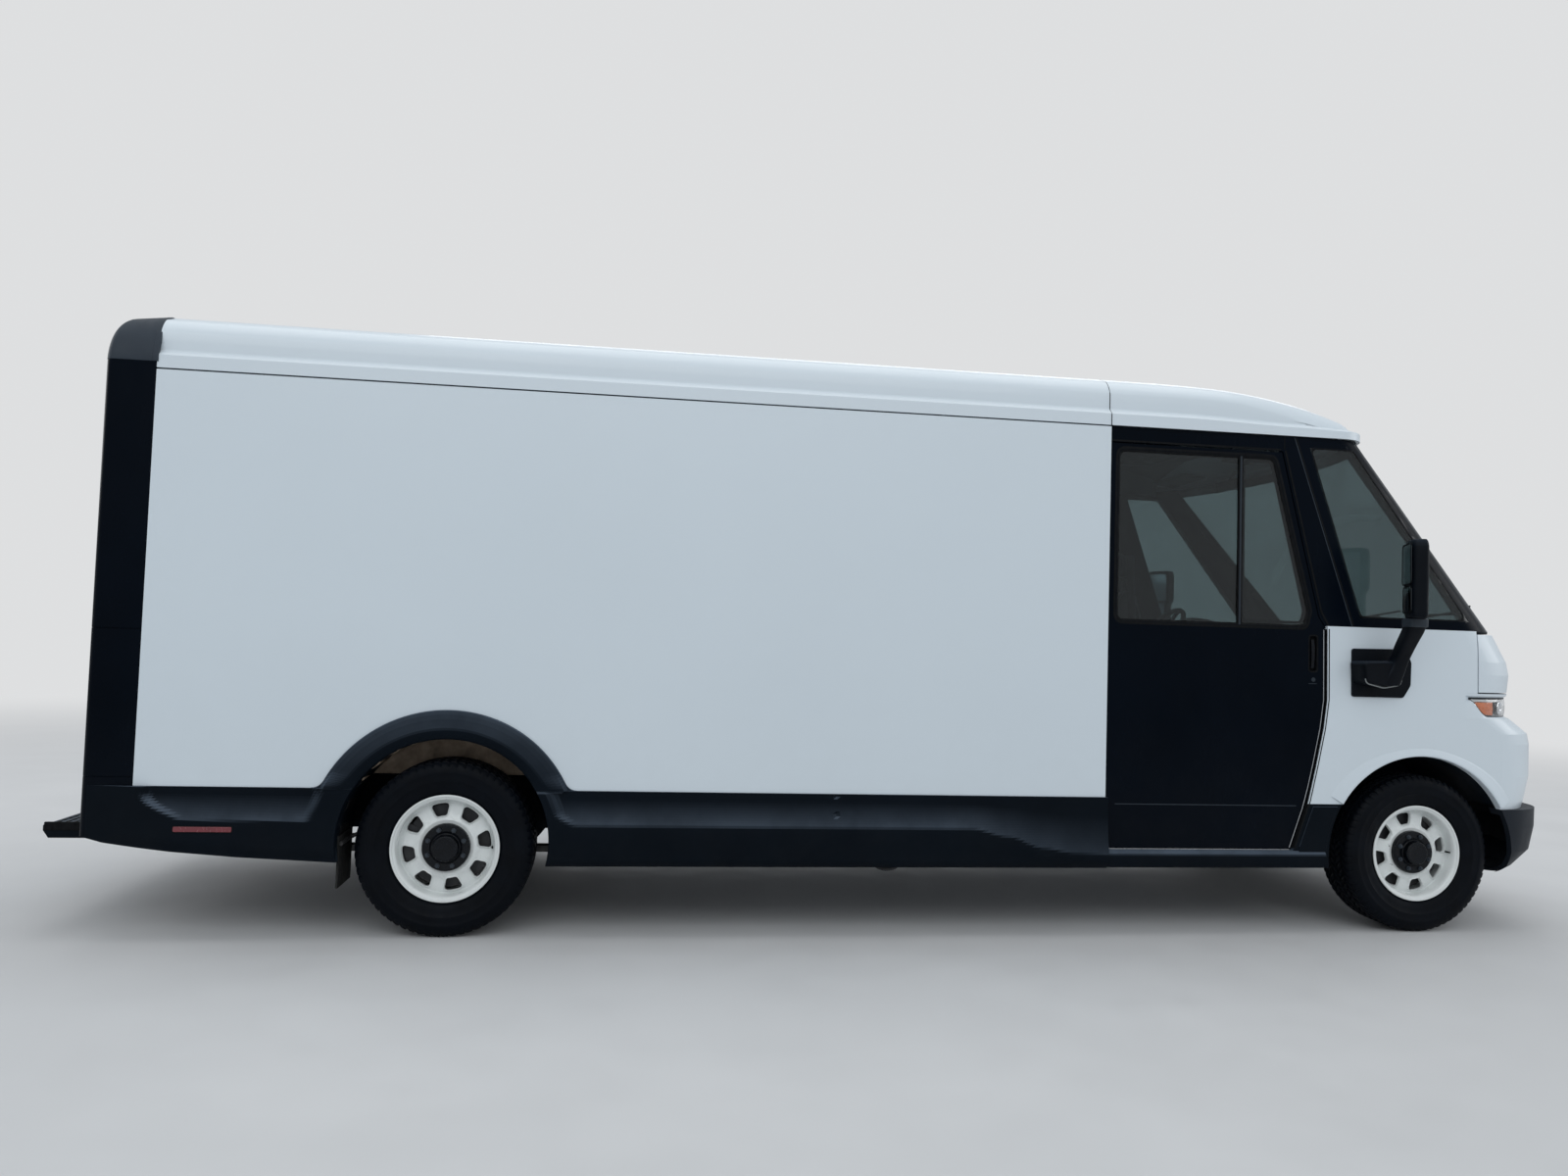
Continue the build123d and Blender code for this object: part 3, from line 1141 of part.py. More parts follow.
def knuckle():
    """Right steering knuckle with its kingpins, spindle and steering arm."""
    x = FRONT_AXLE_X
    y = -KINGPIN_Y
    gap = KINGPIN_REACH - ARM_THICKNESS / 2 - RUNNER_GAP
    upright = block(x - 34, x + 34, y - 34, y + 30, HUB_Z - gap, HUB_Z + gap)
    upright += rod((x, y, HUB_Z - KINGPIN_REACH - 12), (x, y, HUB_Z + KINGPIN_REACH + 12), KINGPIN_RADIUS)
    upright += across(SPINDLE_RADIUS, x, HUB_Z, -WHEEL_Y - SPINDLE_OUT, y)
    upright += block(x - 140, x, y - 10, y + 24, HUB_Z - 70, HUB_Z - 45)
    return upright


def rim():
    """Steel wheel: rim barrel, disc with its slots, hub and cap. The wheel's outside is -Y."""
    half = RIM_WIDTH / 2
    barrel = across(BEAD_RADIUS, 0, 0, -half - RIM_LIP, half + RIM_LIP)
    for side in (-1, 1):
        barrel += across(RIM_LIP_RADIUS, 0, 0, side * half, side * (half + RIM_LIP))
    barrel -= across(BEAD_RADIUS - RIM_WALL, 0, 0, -half - RIM_LIP, half + RIM_LIP)
    disc = across(BEAD_RADIUS - RIM_WALL / 2, 0, 0, -DISC_OUT, -DISC_OUT + DISC_THICKNESS)
    for index in range(SLOT_COUNT):
        disc -= Rot(0, 360 / SLOT_COUNT * (index + 0.25), 0) * rim_slot()
    hub = across(HUB_RADIUS, 0, 0, -HUB_OUT, -DISC_OUT)
    hub += across(SPINDLE_RADIUS + 32, 0, 0, -DISC_OUT, 50)
    hub += across(CAP_RADIUS, 0, 0, -CAP_OUT, -HUB_OUT)
    wheel = barrel + disc + hub
    return wheel - across(SPINDLE_RADIUS + BEARING_GAP, 0, 0, -SPINDLE_OUT - SLIDE_GAP, 60)


def rim_slot():
    """One opening through the wheel's disc: a trapezoid with round corners."""
    y = -DISC_OUT - PAST
    low = SLOT_RADIUS - SLOT_DEPTH / 2
    high = SLOT_RADIUS + SLOT_DEPTH / 2
    corners = [(-SLOT_INNER_WIDTH / 2, y, low), (SLOT_INNER_WIDTH / 2, y, low),
               (SLOT_OUTER_WIDTH / 2, y, high), (-SLOT_OUTER_WIDTH / 2, y, high)]
    face = make_face(Polyline(*corners, close=True))
    face = fillet(face.vertices(), SLOT_CORNER)
    return extrude(face, amount=DISC_THICKNESS + 2 * PAST, dir=(0, 1, 0))


def tyre():
    """Tyre: square-shouldered tread and rounded sidewalls down to the beads."""
    half = TYRE_WIDTH / 2
    tread = TREAD_WIDTH / 2
    bead = RIM_WIDTH / 2
    r1 = TYRE_RADIUS
    wall = (r1 + BEAD_RADIUS) / 2 + 8
    outline = [
        Line((0, -bead, BEAD_RADIUS), (0, -bead, RIM_LIP_RADIUS + 6)),
        ThreePointArc(
            (0, -bead, RIM_LIP_RADIUS + 6), (0, -half, wall), (0, -tread - 6, r1 - 16),
        ),
        Line((0, -tread - 6, r1 - 16), (0, -tread + 14, r1)),
        Line((0, -tread + 14, r1), (0, tread - 14, r1)),
        Line((0, tread - 14, r1), (0, tread + 6, r1 - 16)),
        ThreePointArc((0, tread + 6, r1 - 16), (0, half, wall), (0, bead, RIM_LIP_RADIUS + 6)),
        Line((0, bead, RIM_LIP_RADIUS + 6), (0, bead, BEAD_RADIUS)),
        Line((0, bead, BEAD_RADIUS), (0, -bead, BEAD_RADIUS)),
    ]
    return revolve(make_face(outline), Axis.Y, 360)


# --- Inside the cab ------------------------------------------------------------------------------

def dashboard():
    """Dashboard across the cab, its instrument hood, the column's housing and the firewall."""
    x0 = FRONT_AXLE_X - 500
    x1 = FRONT_AXLE_X + 180
    y = GLASSHOUSE_HALF - PILLAR_THICKNESS - 12
    low = WAIST - 384
    desk = side_prism([(x0, low + 80), (x0, low + 230), (x0 + 90, low + 340),
                       (x1, WAIST - COWL_THICKNESS), (x1, low), (x0 + 120, low)], -y, y)
    desk += block(x1 - 60, x1, -y, y, FLOOR_TOP + 240, low)
    desk += side_prism([(x0 + 10, low + 300), (x0 + 60, low + 460), (x0 + 250, low + 440),
                        (x0 + 330, low + 340)],
                       DRIVER_Y - 190, DRIVER_Y + 190)
    desk -= rod(steering_point(-60), steering_point(90), STEERING_RADIUS + 40)
    desk += rod(steering_point(-330), steering_point(-60), COLUMN_RADIUS + 22)
    desk -= rod(steering_point(-230), steering_point(10), SHAFT_RADIUS + BEARING_GAP)
    return desk


def steering_point(along):
    """A point on the steering column's axis, measured from the wheel's middle."""
    tilt = math.radians(COLUMN_TILT)
    x = FRONT_AXLE_X - STEERING_BACK - along * math.cos(tilt)
    return (x, DRIVER_Y, STEERING_HEIGHT + along * math.sin(tilt))


def steering_wheel():
    """Steering wheel: rim, three spokes, hub and the shaft that turns in the column."""
    plane = Plane(steering_point(0), x_dir=(0, 1, 0), z_dir=(
        -math.cos(math.radians(COLUMN_TILT)), 0, math.sin(math.radians(COLUMN_TILT))))
    wheel = plane * Torus(STEERING_RADIUS, STEERING_TUBE)
    wheel += plane * Pos(0, 0, -14) * Cylinder(52, 40)
    for angle in (0, 180, 270):
        spoke = Pos(STEERING_RADIUS / 2 + 10, 0, -6) * Box(STEERING_RADIUS - 20, 30, 14)
        wheel += plane * Rot(0, 0, angle) * spoke
    wheel += rod(steering_point(-220), steering_point(-20), SHAFT_RADIUS)
    return wheel


def seat(y):
    """A cab seat on its pedestal: cushion, back and head rest."""
    x = FRONT_AXLE_X - SEAT_BACK
    low = FLOOR_TOP + SEAT_HEIGHT
    top = low + SEAT_CUSHION
    chair = block(x + 60, x + 400, y - 170, y + 170, FLOOR_TOP, low)
    chair += block(x, x + 500, y - 250, y + 250, low, top)
    chair += side_prism([(x, low + 40), (x + 120, top - 20), (x + 60, top + 620), (x - 50, top + 620)],
                        y - 240, y + 240)
    chair += side_prism([(x - 44, top + 610), (x + 44, top + 610), (x + 36, top + 800),
                         (x - 44, top + 800)], y - 130, y + 130)
    return chair


# --- Write every piece ---------------------------------------------------------------------------

def place_wheel(shape, axle_x, side):
    """A wheel piece on one corner; its outside faces away from the van."""
    if side > 0:
        shape = mirror(shape, about=Plane.XZ)
    return Pos(axle_x, side * WHEEL_Y, HUB_Z) * shape


def write(shape, node):
    export_step(shape, f"parts/{node}.step")


def main():
    right_wall = cargo_side()
    write(right_wall, "cargo_side_right")
    write(mirror(right_wall, about=Plane.XZ), "cargo_side_left")
    write(cargo_roof(), "cargo_roof")
    write(cargo_floor(), "floor")
    write(both_sides(together(rear_wheelhouse(), front_wheelhouse())), "wheelhouses")
    write(bulkhead(), "bulkhead")
    write(bulkhead_door(), "bulkhead_door")
    write(rear_frame(), "rear_frame")
    write(rear_door(), "rear_door")
    write(rear_step(), "rear_step")
    write(both_sides(quarter_cladding() + rear_arch()), "rear_cladding")
    write(both_sides(sill_cladding()), "sill_cladding")
    write(both_sides(mud_flap()), "mud_flaps")
    write(both_sides(together(tail_lamp(), side_marker())), "rear_lamps")
    write(cab_roof(), "cab_roof")
    write(windshield(), "windshield")
    write(both_sides(cab_frame()), "cab_side_frames")
    write(both_sides(quarter_glass()), "quarter_glass")
    door = cab_door()
    glass = door_glass()
    write(door, "cab_door_right")
    write(mirror(door, about=Plane.XZ), "cab_door_left")
    write(glass, "door_glass_right")
    write(together(mirror(glass, about=Plane.XZ)), "door_glass_left")
    write(together(fender(), left_fender()), "fenders")
    write(charge_flap(), "charge_flap")
    write(hood(), "hood")
    write(cowl(), "cowl")
    write(fascia(), "fascia")
    write(front_bumper(), "front_bumper")
    write(both_sides(headlamp()), "headlamps")
    write(both_sides(door_mirror()), "mirrors")
    write(frame_rails(), "frame_rails")
    write(frame_crossmembers(), "frame_crossmembers")
    write(battery_pack(), "battery_pack")
    write(rear_axle(), "rear_axle")
    write(front_suspension(), "front_suspension")
    right_knuckle = knuckle()
    write(right_knuckle, "knuckle_right")
    write(mirror(right_knuckle, about=Plane.XZ), "knuckle_left")
    wheel = rim()
    rubber = tyre()
    for end, axle_x in (("front", FRONT_AXLE_X), ("rear", REAR_AXLE_X)):
        for name, side in (("right", -1), ("left", 1)):
            write(place_wheel(wheel, axle_x, side), f"rim_{end}_{name}")
            write(place_wheel(rubber, axle_x, side), f"tyre_{end}_{name}")
    write(dashboard(), "dashboard")
    write(steering_wheel(), "steering_wheel")
    write(together(seat(DRIVER_Y), seat(-DRIVER_Y)), "seats")


main()
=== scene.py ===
import json
import math

import bmesh
import bpy
from mathutils import Matrix, Vector


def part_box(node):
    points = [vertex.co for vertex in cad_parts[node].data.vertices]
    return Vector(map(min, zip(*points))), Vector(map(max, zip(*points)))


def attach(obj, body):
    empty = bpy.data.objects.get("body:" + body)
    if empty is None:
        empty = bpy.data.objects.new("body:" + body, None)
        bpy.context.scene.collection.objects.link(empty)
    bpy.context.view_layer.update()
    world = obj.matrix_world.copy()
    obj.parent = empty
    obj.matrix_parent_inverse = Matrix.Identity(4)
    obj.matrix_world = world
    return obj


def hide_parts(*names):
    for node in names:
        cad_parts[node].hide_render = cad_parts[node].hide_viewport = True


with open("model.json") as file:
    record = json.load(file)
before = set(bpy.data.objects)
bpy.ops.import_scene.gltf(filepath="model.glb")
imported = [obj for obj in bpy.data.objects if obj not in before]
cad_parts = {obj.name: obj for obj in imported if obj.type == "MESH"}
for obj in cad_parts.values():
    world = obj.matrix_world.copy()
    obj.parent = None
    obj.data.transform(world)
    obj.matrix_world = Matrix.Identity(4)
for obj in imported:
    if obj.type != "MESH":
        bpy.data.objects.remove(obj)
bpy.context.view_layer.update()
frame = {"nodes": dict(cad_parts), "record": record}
NODES = frame["nodes"]
SCENE = bpy.context.scene
RIGHT, LEFT = -1, 1


def low_corner(node):
    """Smallest x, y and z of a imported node."""
    return Vector(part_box(node)[0])


def high_corner(node):
    """Largest x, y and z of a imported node."""
    return Vector(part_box(node)[1])


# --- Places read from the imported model, and the arches' own sizes --------------------------------
HALF = high_corner("cargo_side_left").y                 # centre plane to the outer skin
BOX_REAR = low_corner("cargo_side_right").x
CAB_JOINT = high_corner("cargo_side_right").x
PANEL_FOOT = 0.645                                      # foot of the white panels, head of the black cladding
ROOF_FOOT = low_corner("cargo_roof").z
ROOF_TOP = high_corner("cargo_roof").z
FRAME_REAR = low_corner("rear_frame").x
FRAME_FOOT = low_corner("rear_frame").z
TYRE_R = (high_corner("tyre_rear_right").z - low_corner("tyre_rear_right").z) / 2
REAR_AXLE = (high_corner("tyre_rear_right").x + low_corner("tyre_rear_right").x) / 2
FRONT_AXLE = (high_corner("tyre_front_right").x + low_corner("tyre_front_right").x) / 2
WHEEL_Y = (high_corner("tyre_rear_left").y + low_corner("tyre_rear_left").y) / 2
WAIST = low_corner("windshield").z                      # foot of the windshield
HEADER = high_corner("windshield").z                    # head of the windshield
GLASS_HALF = high_corner("quarter_glass").y             # outer face of the glazed upper cab
DOOR_Y = high_corner("cab_door_left").y                 # outer face of the shut cab door
DOOR_INNER = low_corner("cab_door_left").y
SILL_FOOT = low_corner("sill_cladding").z
REAR_ARCH_R = 0.444                                     # edge of the rear arch, and its middle's height
REAR_ARCH_Z = 0.417
FLARE_R = REAR_ARCH_R + 0.125
FRONT_ARCH_R = 0.490                                    # edge of the front arch, and its middle's height
FRONT_ARCH_Z = 0.370
FRONT_ARCH = FRONT_AXLE - 0.010                         # the arch's middle stands a little behind the axle
F = FRONT_AXLE                                          # places in the cab are given from the front axle


# --- Materials -----------------------------------------------------------------------------------

class Nodes:
    """Short calls for building one material's nodes."""

    def __init__(self, name):
        self.material = bpy.data.materials.new(name)
        self.material.use_nodes = True
        self.tree = self.material.node_tree
        self.shader = self.tree.nodes["Principled BSDF"]
        self.place = self.tree.nodes.new("ShaderNodeTexCoord").outputs["Object"]

    def link(self, source, target):
        """Joins two sockets."""
        self.tree.links.new(source, target)

    def node(self, kind, **values):
        """A new node with its settings."""
        made = self.tree.nodes.new(kind)
        for name, value in values.items():
            setattr(made, name, value)
        return made

    def noise(self, scale, detail=3.0, roughness=0.55, stretch=None):
        """Noise in the object's own space, stretched if wanted."""
        made = self.node("ShaderNodeTexNoise")
        made.inputs["Scale"].default_value = scale
        made.inputs["Detail"].default_value = detail
        made.inputs["Roughness"].default_value = roughness
        source = self.place
        if stretch:
            mapping = self.node("ShaderNodeMapping")
            mapping.inputs["Scale"].default_value = stretch
            self.link(self.place, mapping.inputs["Vector"])
            source = mapping.outputs["Vector"]
        self.link(source, made.inputs["Vector"])
        return made.outputs["Fac"]

    def remap(self, source, low, high, out_low, out_high):
        """Spreads low to high over another range."""
        made = self.node("ShaderNodeMapRange")
        for name, value in (("From Min", low), ("From Max", high), ("To Min", out_low), ("To Max", out_high)):
            made.inputs[name].default_value = value
        self.link(source, made.inputs["Value"])
        return made.outputs["Result"]

    def times(self, first, second):
        """Product of two sockets."""
        made = self.node("ShaderNodeMath", operation="MULTIPLY")
        self.link(first, made.inputs[0])
        self.link(second, made.inputs[1])
        return made.outputs[0]

    def mix(self, amount, first, second):
        """Mix two colours; each is a colour or a socket."""
        made = self.node("ShaderNodeMix", data_type="RGBA")
        self.link(amount, made.inputs["Factor"])
        for value, socket in ((first, made.inputs[6]), (second, made.inputs[7])):
            if isinstance(value, tuple):
                socket.default_value = (*value, 1.0)
            else:
                self.link(value, socket)
        return made.outputs[2]

    def height(self):
        """Height of the shaded point in its object."""
        split = self.node("ShaderNodeSeparateXYZ")
        self.link(self.place, split.inputs[0])
        return split.outputs["Z"]

    def bump(self, source, strength, distance):
        """Relief on the shader's normal."""
        made = self.node("ShaderNodeBump")
        made.inputs["Strength"].default_value = strength
        made.inputs["Distance"].default_value = distance
        self.link(source, made.inputs["Height"])
        self.link(made.outputs["Normal"], self.shader.inputs["Normal"])


def linear(*rgb):
    """An sRGB colour, 0 to 255, as the shader wants it."""
    return tuple(((v / 255 + 0.055) / 1.055) ** 2.4 if v > 10 else v / 255 / 12.92 for v in rgb)


def shade(colour, factor):
    """A colour made lighter or darker by a factor."""
    return tuple(min(1.0, v * factor) for v in colour)


def finish(name, colour, rough, vary=0.08, mottle=3.0, grain=400.0, grain_strength=0.05, specular=0.5,
           metallic=0.0, coat=0.0, rough_vary=0.25, dust=0.0, dust_top=0.8, wear_and_glint=0.0, sheen=0.0,
           dust_colour=(0.16, 0.15, 0.13), painted_top_light=None):
    """A painted, moulded or bare surface: mottled colour, uneven gloss, grain, dust low down, and pointy
    edges painted lighter, partly as wear and partly as a painted highlight.

    The last argument is a paler colour painted in patches on faces that look upward: a painted highlight of
    the light from above."""
    made = Nodes(name)
    shader = made.shader
    mottling = made.noise(mottle, detail=5.0)
    tone = made.mix(
        made.remap(mottling, 0.3, 0.7, 0.0, 1.0), shade(colour, 1 - vary), shade(colour, 1 + vary))
    if dust:
        fall = made.remap(made.height(), 0.05, dust_top, dust, 0.0)
        patches = made.remap(made.noise(7.0, detail=8.0, roughness=0.7), 0.35, 0.75, 0.1, 1.0)
        tone = made.mix(made.times(fall, patches), tone, dust_colour)
    # Faces that look upward are painted paler in patches: painted highlight of the light from above.
    if painted_top_light:
        split = made.node("ShaderNodeSeparateXYZ")
        made.link(made.node("ShaderNodeNewGeometry").outputs["True Normal"], split.inputs[0])
        upward = made.remap(split.outputs["Z"], 0.04, 0.55, 0.0, 0.85)
        top_light_patches = made.remap(made.noise(5.0, detail=6.0), 0.25, 0.6, 0.55, 1.0)
        tone = made.mix(made.times(upward, top_light_patches), tone, painted_top_light)
    # Pointy edges are painted lighter: partly wear, partly a painted highlight along the edges, strongest on
    # the hub and its nuts.
    if wear_and_glint:
        edge = made.node("ShaderNodeNewGeometry").outputs["Pointiness"]
        edge_wear_and_glint = made.remap(edge, 0.53, 0.62, 0.0, wear_and_glint)
        tone = made.mix(made.times(edge_wear_and_glint, made.noise(40.0)), tone, shade(colour, 3.0))
    made.link(tone, shader.inputs["Base Color"])
    smears = made.noise(mottle * 4, detail=6.0, stretch=(1.0, 1.0, 0.4))
    made.link(
        made.remap(smears, 0.3, 0.7, rough * (1 - rough_vary), min(1.0, rough * (1 + rough_vary))),
        shader.inputs["Roughness"])
    made.bump(made.noise(grain, detail=2.0), grain_strength, 0.001)
    shader.inputs["Metallic"].default_value = metallic
    shader.inputs["Specular IOR Level"].default_value = specular
    shader.inputs["Coat Weight"].default_value = coat
    shader.inputs["Coat Roughness"].default_value = 0.06
    shader.inputs["Sheen Weight"].default_value = sheen
    return made.material


def glass(name, tint, rough=0.0, smudge=0.02):
    """Tinted safety glass, or a clear moulded lens, with faint smears."""
    made = Nodes(name)
    shader = made.shader
    clouds = made.noise(6.0, detail=6.0)
    made.link(
        made.mix(made.remap(clouds, 0.35, 0.7, 0.0, 1.0), tint, shade(tint, 0.93)),
        shader.inputs["Base Color"])
    made.link(made.remap(clouds, 0.4, 0.75, rough, rough + smudge), shader.inputs["Roughness"])
    shader.inputs["Transmission Weight"].default_value = 1.0
    shader.inputs["IOR"].default_value = 1.45
    return made.material


def fabric(name, colour):
    """Woven seat cover: crossed threads, lint and a soft sheen."""
    made = Nodes(name)
    shader = made.shader
    threads = []
    for direction in ("X", "Z"):
        wave = made.node("ShaderNodeTexWave", wave_type="BANDS", bands_direction=direction)
        wave.inputs["Scale"].default_value = 160.0
        wave.inputs["Distortion"].default_value = 1.5
        made.link(made.place, wave.inputs["Vector"])
        threads.append(wave.outputs["Fac"])
    weave = made.times(*threads)
    lint = made.noise(30.0, detail=8.0)
    tone = made.mix(made.remap(weave, 0.1, 0.7, 0.0, 1.0), shade(colour, 0.6), shade(colour, 1.4))
    made.link(made.mix(made.remap(lint, 0.5, 0.8, 0.0, 0.3), tone, shade(colour, 2.2)),
              shader.inputs["Base Color"])
    made.link(made.remap(lint, 0.3, 0.7, 0.8, 0.95), shader.inputs["Roughness"])
    made.bump(weave, 0.5, 0.0008)
    shader.inputs["Sheen Weight"].default_value = 0.3
    return made.material


WHITE = linear(212, 222, 229)
NIGHT = linear(4, 10, 19)
LOOKS = {
    "white_paint": finish("white_paint", WHITE, 0.34, vary=0.012, mottle=0.8, grain=900, grain_strength=0.012,
                          coat=0.25, rough_vary=0.15, dust=0.10, dust_top=1.3,
                          dust_colour=(0.42, 0.43, 0.42)),
    "black_paint": finish("black_paint", NIGHT, 0.24, vary=0.2, mottle=1.6, grain=800, grain_strength=0.01,
                          specular=0.05, rough_vary=0.4, dust=0.03, dust_top=1.0),
    # black_plastic: its upward faces are painted paler, a painted highlight of the light from above.
    "black_plastic": finish("black_plastic", linear(7, 15, 23), 0.45, vary=0.18, mottle=2.2, grain=900,
                            grain_strength=0.12, specular=0.06, dust=0.03, dust_top=0.75, wear_and_glint=0.05,
                            painted_top_light=linear(80, 91, 104)),
    "bumper_plastic": finish("bumper_plastic", linear(22, 28, 36), 0.5, vary=0.12, mottle=2.0, grain=900,
                             grain_strength=0.1, specular=0.2, dust=0.04, wear_and_glint=0.05),
    # The frame's cap is painted paler than the black frame: painted light on its upward faces.
    "top_lit_cap_plastic": finish("top_lit_cap_plastic", linear(50, 58, 67), 0.5, vary=0.12, mottle=3.0, grain=700,
                          grain_strength=0.12, specular=0.2, wear_and_glint=0.08),
    # mirror_black: its upward faces are painted paler, a painted highlight of the light from above.
    "mirror_black": finish("mirror_black", linear(6, 11, 18), 0.5, vary=0.2, mottle=8.0, grain=900,
                           grain_strength=0.15, specular=0.10, wear_and_glint=0.12, painted_top_light=linear(34, 42, 52)),
    "webbing": finish("webbing", linear(24, 26, 29), 0.85, vary=0.2, mottle=40, grain=900, grain_strength=0.6,
                      specular=0.15, sheen=0.3),
    "cable_orange": finish("cable_orange", linear(214, 92, 20), 0.5, vary=0.15, mottle=12, grain=500,
                           grain_strength=0.2, dust=0.4, dust_top=0.8),
    "trim_grey": finish("trim_grey", linear(40, 48, 56), 0.5, vary=0.1, mottle=14, grain=600,
                        grain_strength=0.05, specular=0.25),
    "trim_pale": finish("trim_pale", linear(128, 132, 132), 0.5, vary=0.15, mottle=18, grain=500,
                        grain_strength=0.1, specular=0.25),
    "rubber": finish("rubber", linear(16, 19, 22), 0.8, vary=0.3, mottle=12, grain=500, grain_strength=0.2,
                     specular=0.2, dust=0.3),
    "seal": finish("seal", linear(7, 9, 12), 0.7, vary=0.3, mottle=20, grain=700, grain_strength=0.1,
                   specular=0.15),
    "tyre": finish("tyre", linear(4, 8, 15), 0.5, vary=0.35, mottle=9, grain=600, grain_strength=0.25,
                   specular=0.09, dust=0.03, dust_top=0.85, wear_and_glint=0.12, dust_colour=(0.06, 0.06, 0.065)),
    "wheel_paint": finish("wheel_paint", linear(226, 230, 229), 0.32, vary=0.03, mottle=8, grain=500,
                          grain_strength=0.03, coat=0.2, dust=0.12, dust_top=0.7,
                          dust_colour=(0.3, 0.28, 0.25), wear_and_glint=0.02),
    # The hub and its nuts have their edges painted much lighter: painted highlight.
    "hub_black": finish("hub_black", linear(4, 8, 15), 0.3, vary=0.3, mottle=30, grain=400,
                        grain_strength=0.08, specular=0.22, dust=0.03, wear_and_glint=0.3),
    "hub_nut": finish("hub_nut", linear(46, 53, 61), 0.35, vary=0.2, mottle=60, grain=400, grain_strength=0.1,
                      specular=0.35, wear_and_glint=0.3),
    "frame_steel": finish("frame_steel", (0.025, 0.026, 0.03), 0.55, vary=0.3, mottle=9, grain=220,
                          grain_strength=0.25, metallic=0.2, dust=0.35, dust_top=0.7, wear_and_glint=0.2),
    "battery_case": finish("battery_case", (0.36, 0.37, 0.39), 0.45, vary=0.12, mottle=8, grain=300,
                           grain_strength=0.2, metallic=0.85, dust=0.4, dust_top=0.6),
    "floor_aluminium": finish("floor_aluminium", (0.42, 0.42, 0.43), 0.4, vary=0.12, mottle=12, grain=300,
                              grain_strength=0.15, metallic=0.9, wear_and_glint=0.2),
    "inner_panel": finish("inner_panel", (0.42, 0.43, 0.44), 0.6, vary=0.05, mottle=5, grain=600,
                          grain_strength=0.1),
    "dash_plastic": finish("dash_plastic", linear(34, 38, 42), 0.62, vary=0.12, mottle=6, grain=700,
                           grain_strength=0.35, specular=0.3),
    "clear_lens": glass("clear_lens", (0.92, 0.94, 0.95)),
    "clear_cover": glass("clear_cover", (0.95, 0.96, 0.97), smudge=0.01),
    "tinted_glass": glass("tinted_glass", linear(136, 151, 153), smudge=0.0),
    "red_lens": finish("red_lens", linear(112, 40, 48), 0.25, vary=0.15, mottle=20, grain=260,
                       grain_strength=0.3, coat=0.4),
    "amber_lens": finish("amber_lens", linear(205, 104, 40), 0.22, vary=0.15, mottle=40, grain=300,
                         grain_strength=0.3, coat=0.5),
    "silver": finish("silver", (0.55, 0.56, 0.57), 0.3, vary=0.1, mottle=20, grain=300, grain_strength=0.05,
                     metallic=0.95),
    "frit": finish("frit", linear(14, 19, 26), 0.32, vary=0.2, mottle=10, grain=500, grain_strength=0.03,
                   specular=0.25),
    "mirror_glass": finish("mirror_glass", (0.22, 0.25, 0.27), 0.04, vary=0.02, mottle=4, grain=50,
                           grain_strength=0.002, metallic=1.0),
    # The liner's colour is made pale so that its shaded wall reads as lit: painted light.
    "arch_liner": finish("arch_liner", linear(150, 134, 118), 0.9, vary=0.45, mottle=14, grain=160,
                         grain_strength=0.6, specular=0.1, dust=0.3, dust_top=1.4,
                         dust_colour=linear(128, 114, 100)),
    "lamp_white": finish("lamp_white", linear(196, 200, 202), 0.18, vary=0.06, mottle=30, grain=240,
                         grain_strength=0.2, coat=0.5),
    "plate_blank": finish("plate_blank", linear(205, 208, 210), 0.4, vary=0.04, mottle=12, grain=500,
                          grain_strength=0.05, dust=0.2, dust_top=0.8),
    "chrome": finish("chrome", (0.75, 0.76, 0.78), 0.08, vary=0.03, mottle=12, grain=200, grain_strength=0.01,
                     metallic=1.0),
    "lamp_bowl": finish("lamp_bowl", linear(120, 124, 128), 0.25, vary=0.1, mottle=20, grain=300,
                        grain_strength=0.05, metallic=0.7),
    "screen": finish("screen", linear(10, 13, 18), 0.12, vary=0.2, mottle=6, grain=300, grain_strength=0.01,
                     specular=0.4),
    "headliner": finish("headliner", (0.20, 0.21, 0.22), 0.9, vary=0.1, mottle=8, grain=900,
                        grain_strength=0.4, specular=0.2),
    "seat_fabric": fabric("seat_fabric", linear(46, 50, 55)),
}


# --- Mesh code -----------------------------------------------------------------------------------

